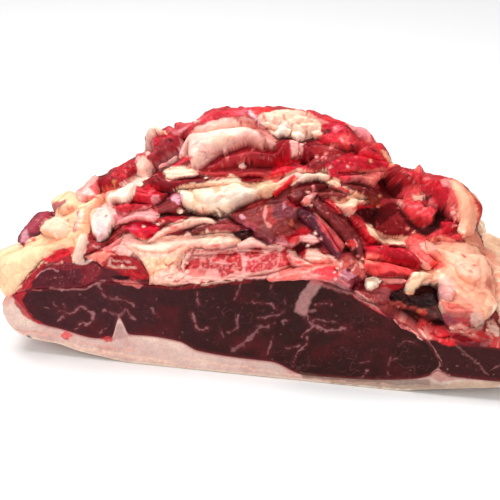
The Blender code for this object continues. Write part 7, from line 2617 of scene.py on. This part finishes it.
class SIRLOIN_OT_cut_layers(bpy.types.Operator):
    """Adds the fat cap and the three muscles that the front cut goes through"""

    bl_idname = "sirloin.cut_layers"
    bl_label = "Cut layers"

    def execute(self, context):
        make_layer("fat_cap", "cap")
        for name in ("eye_muscle", "edge_muscle", "side_muscle"):
            make_layer(name, "cut")
        return {"FINISHED"}


class SIRLOIN_OT_boned_side(PieceOperator, bpy.types.Operator):
    """Adds the bare meat of the boned side and the torn lean on it"""

    bl_idname = "sirloin.boned_side"
    bl_label = "Boned side"
    names = ("lean_core", "lean_left", "lean_middle", "lean_right", "lean_ridge", "lean_shoulder")


class SIRLOIN_OT_rolls(PieceOperator, bpy.types.Operator):
    """Adds the wet red rolls around the hollow and under the crown"""

    bl_idname = "sirloin.rolls"
    bl_label = "Red rolls"
    names = ("roll_red", "lean_hollow", "roll_crimson", "roll_shoulder", "rim_of_hollow")


class SIRLOIN_OT_flaps(PieceOperator, bpy.types.Operator):
    """Adds the brown flap and the pink bands"""

    bl_idname = "sirloin.flaps"
    bl_label = "Flaps and bands"
    names = ("flap_brown", "flap_pink", "band_twisted", "band_cream", "band_coral")


class SIRLOIN_OT_window(PieceOperator, bpy.types.Operator):
    """Adds the crumbly plate and the marbled layer beside it"""

    bl_idname = "sirloin.window"
    bl_label = "Crumbly plate"
    names = ("fat_plate", "window")


class SIRLOIN_OT_fat(PieceOperator, bpy.types.Operator):
    """Adds the lumps of fat that face the front"""

    bl_idname = "sirloin.fat"
    bl_label = "Lumps of fat"
    names = ("crumbs", "fat_left", "fat_crown", "fat_centre", "fat_top", "fat_roll", "fat_corner",
             "fat_knuckle", "prong", "nub")  # fmt: skip


class SIRLOIN_OT_back(PieceOperator, bpy.types.Operator):
    """Adds the lean and the fat of the side that faces away"""

    bl_idname = "sirloin.back"
    bl_label = "Back"
    names = ("lean_back", "lean_back_band", "fat_back_left", "fat_back_middle", "fat_back_right",
             "fat_end")  # fmt: skip


class SIRLOIN_OT_stage(bpy.types.Operator):
    """Adds the floor, the lights and the camera"""

    bl_idname = "sirloin.stage"
    bl_label = "Stage"

    def execute(self, context):
        sizes, colours = context.scene.sirloin_sizes, context.scene.sirloin_colours
        make_floor(sizes, colours)
        make_light(sizes, colours)
        make_camera()
        return {"FINISHED"}


OPERATORS = (
    SIRLOIN_OT_cut_layers, SIRLOIN_OT_boned_side, SIRLOIN_OT_rolls, SIRLOIN_OT_flaps, SIRLOIN_OT_window,
    SIRLOIN_OT_fat, SIRLOIN_OT_back, SIRLOIN_OT_stage,
)  # fmt: skip


class SIRLOIN_PT_panel(bpy.types.Panel):
    """The pieces of the sirloin"""

    bl_idname = "SIRLOIN_PT_panel"
    bl_label = "Raw Beef Sirloin"
    bl_space_type = "VIEW_3D"
    bl_region_type = "UI"
    bl_category = "Sirloin"

    def draw(self, context):
        for operator in OPERATORS:
            self.layout.operator(operator.bl_idname)
        for group in (context.scene.sirloin_sizes, context.scene.sirloin_colours):
            for name in group.__annotations__:
                self.layout.prop(group, name)


CLASSES = (SirloinSizes, SirloinColours, *OPERATORS, SIRLOIN_PT_panel)


def register():
    for cls in CLASSES:
        bpy.utils.register_class(cls)
    bpy.types.Scene.sirloin_sizes = bpy.props.PointerProperty(type=SirloinSizes)
    bpy.types.Scene.sirloin_colours = bpy.props.PointerProperty(type=SirloinColours)


def unregister():
    del bpy.types.Scene.sirloin_colours
    del bpy.types.Scene.sirloin_sizes
    for cls in reversed(CLASSES):
        bpy.utils.unregister_class(cls)


def main():
    register()
    for operator in OPERATORS:
        group, name = operator.bl_idname.split(".")
        if getattr(getattr(bpy.ops, group), name)() != {"FINISHED"}:
            raise RuntimeError(f"{operator.bl_idname} didn't finish")


if __name__ == "__main__":
    main()
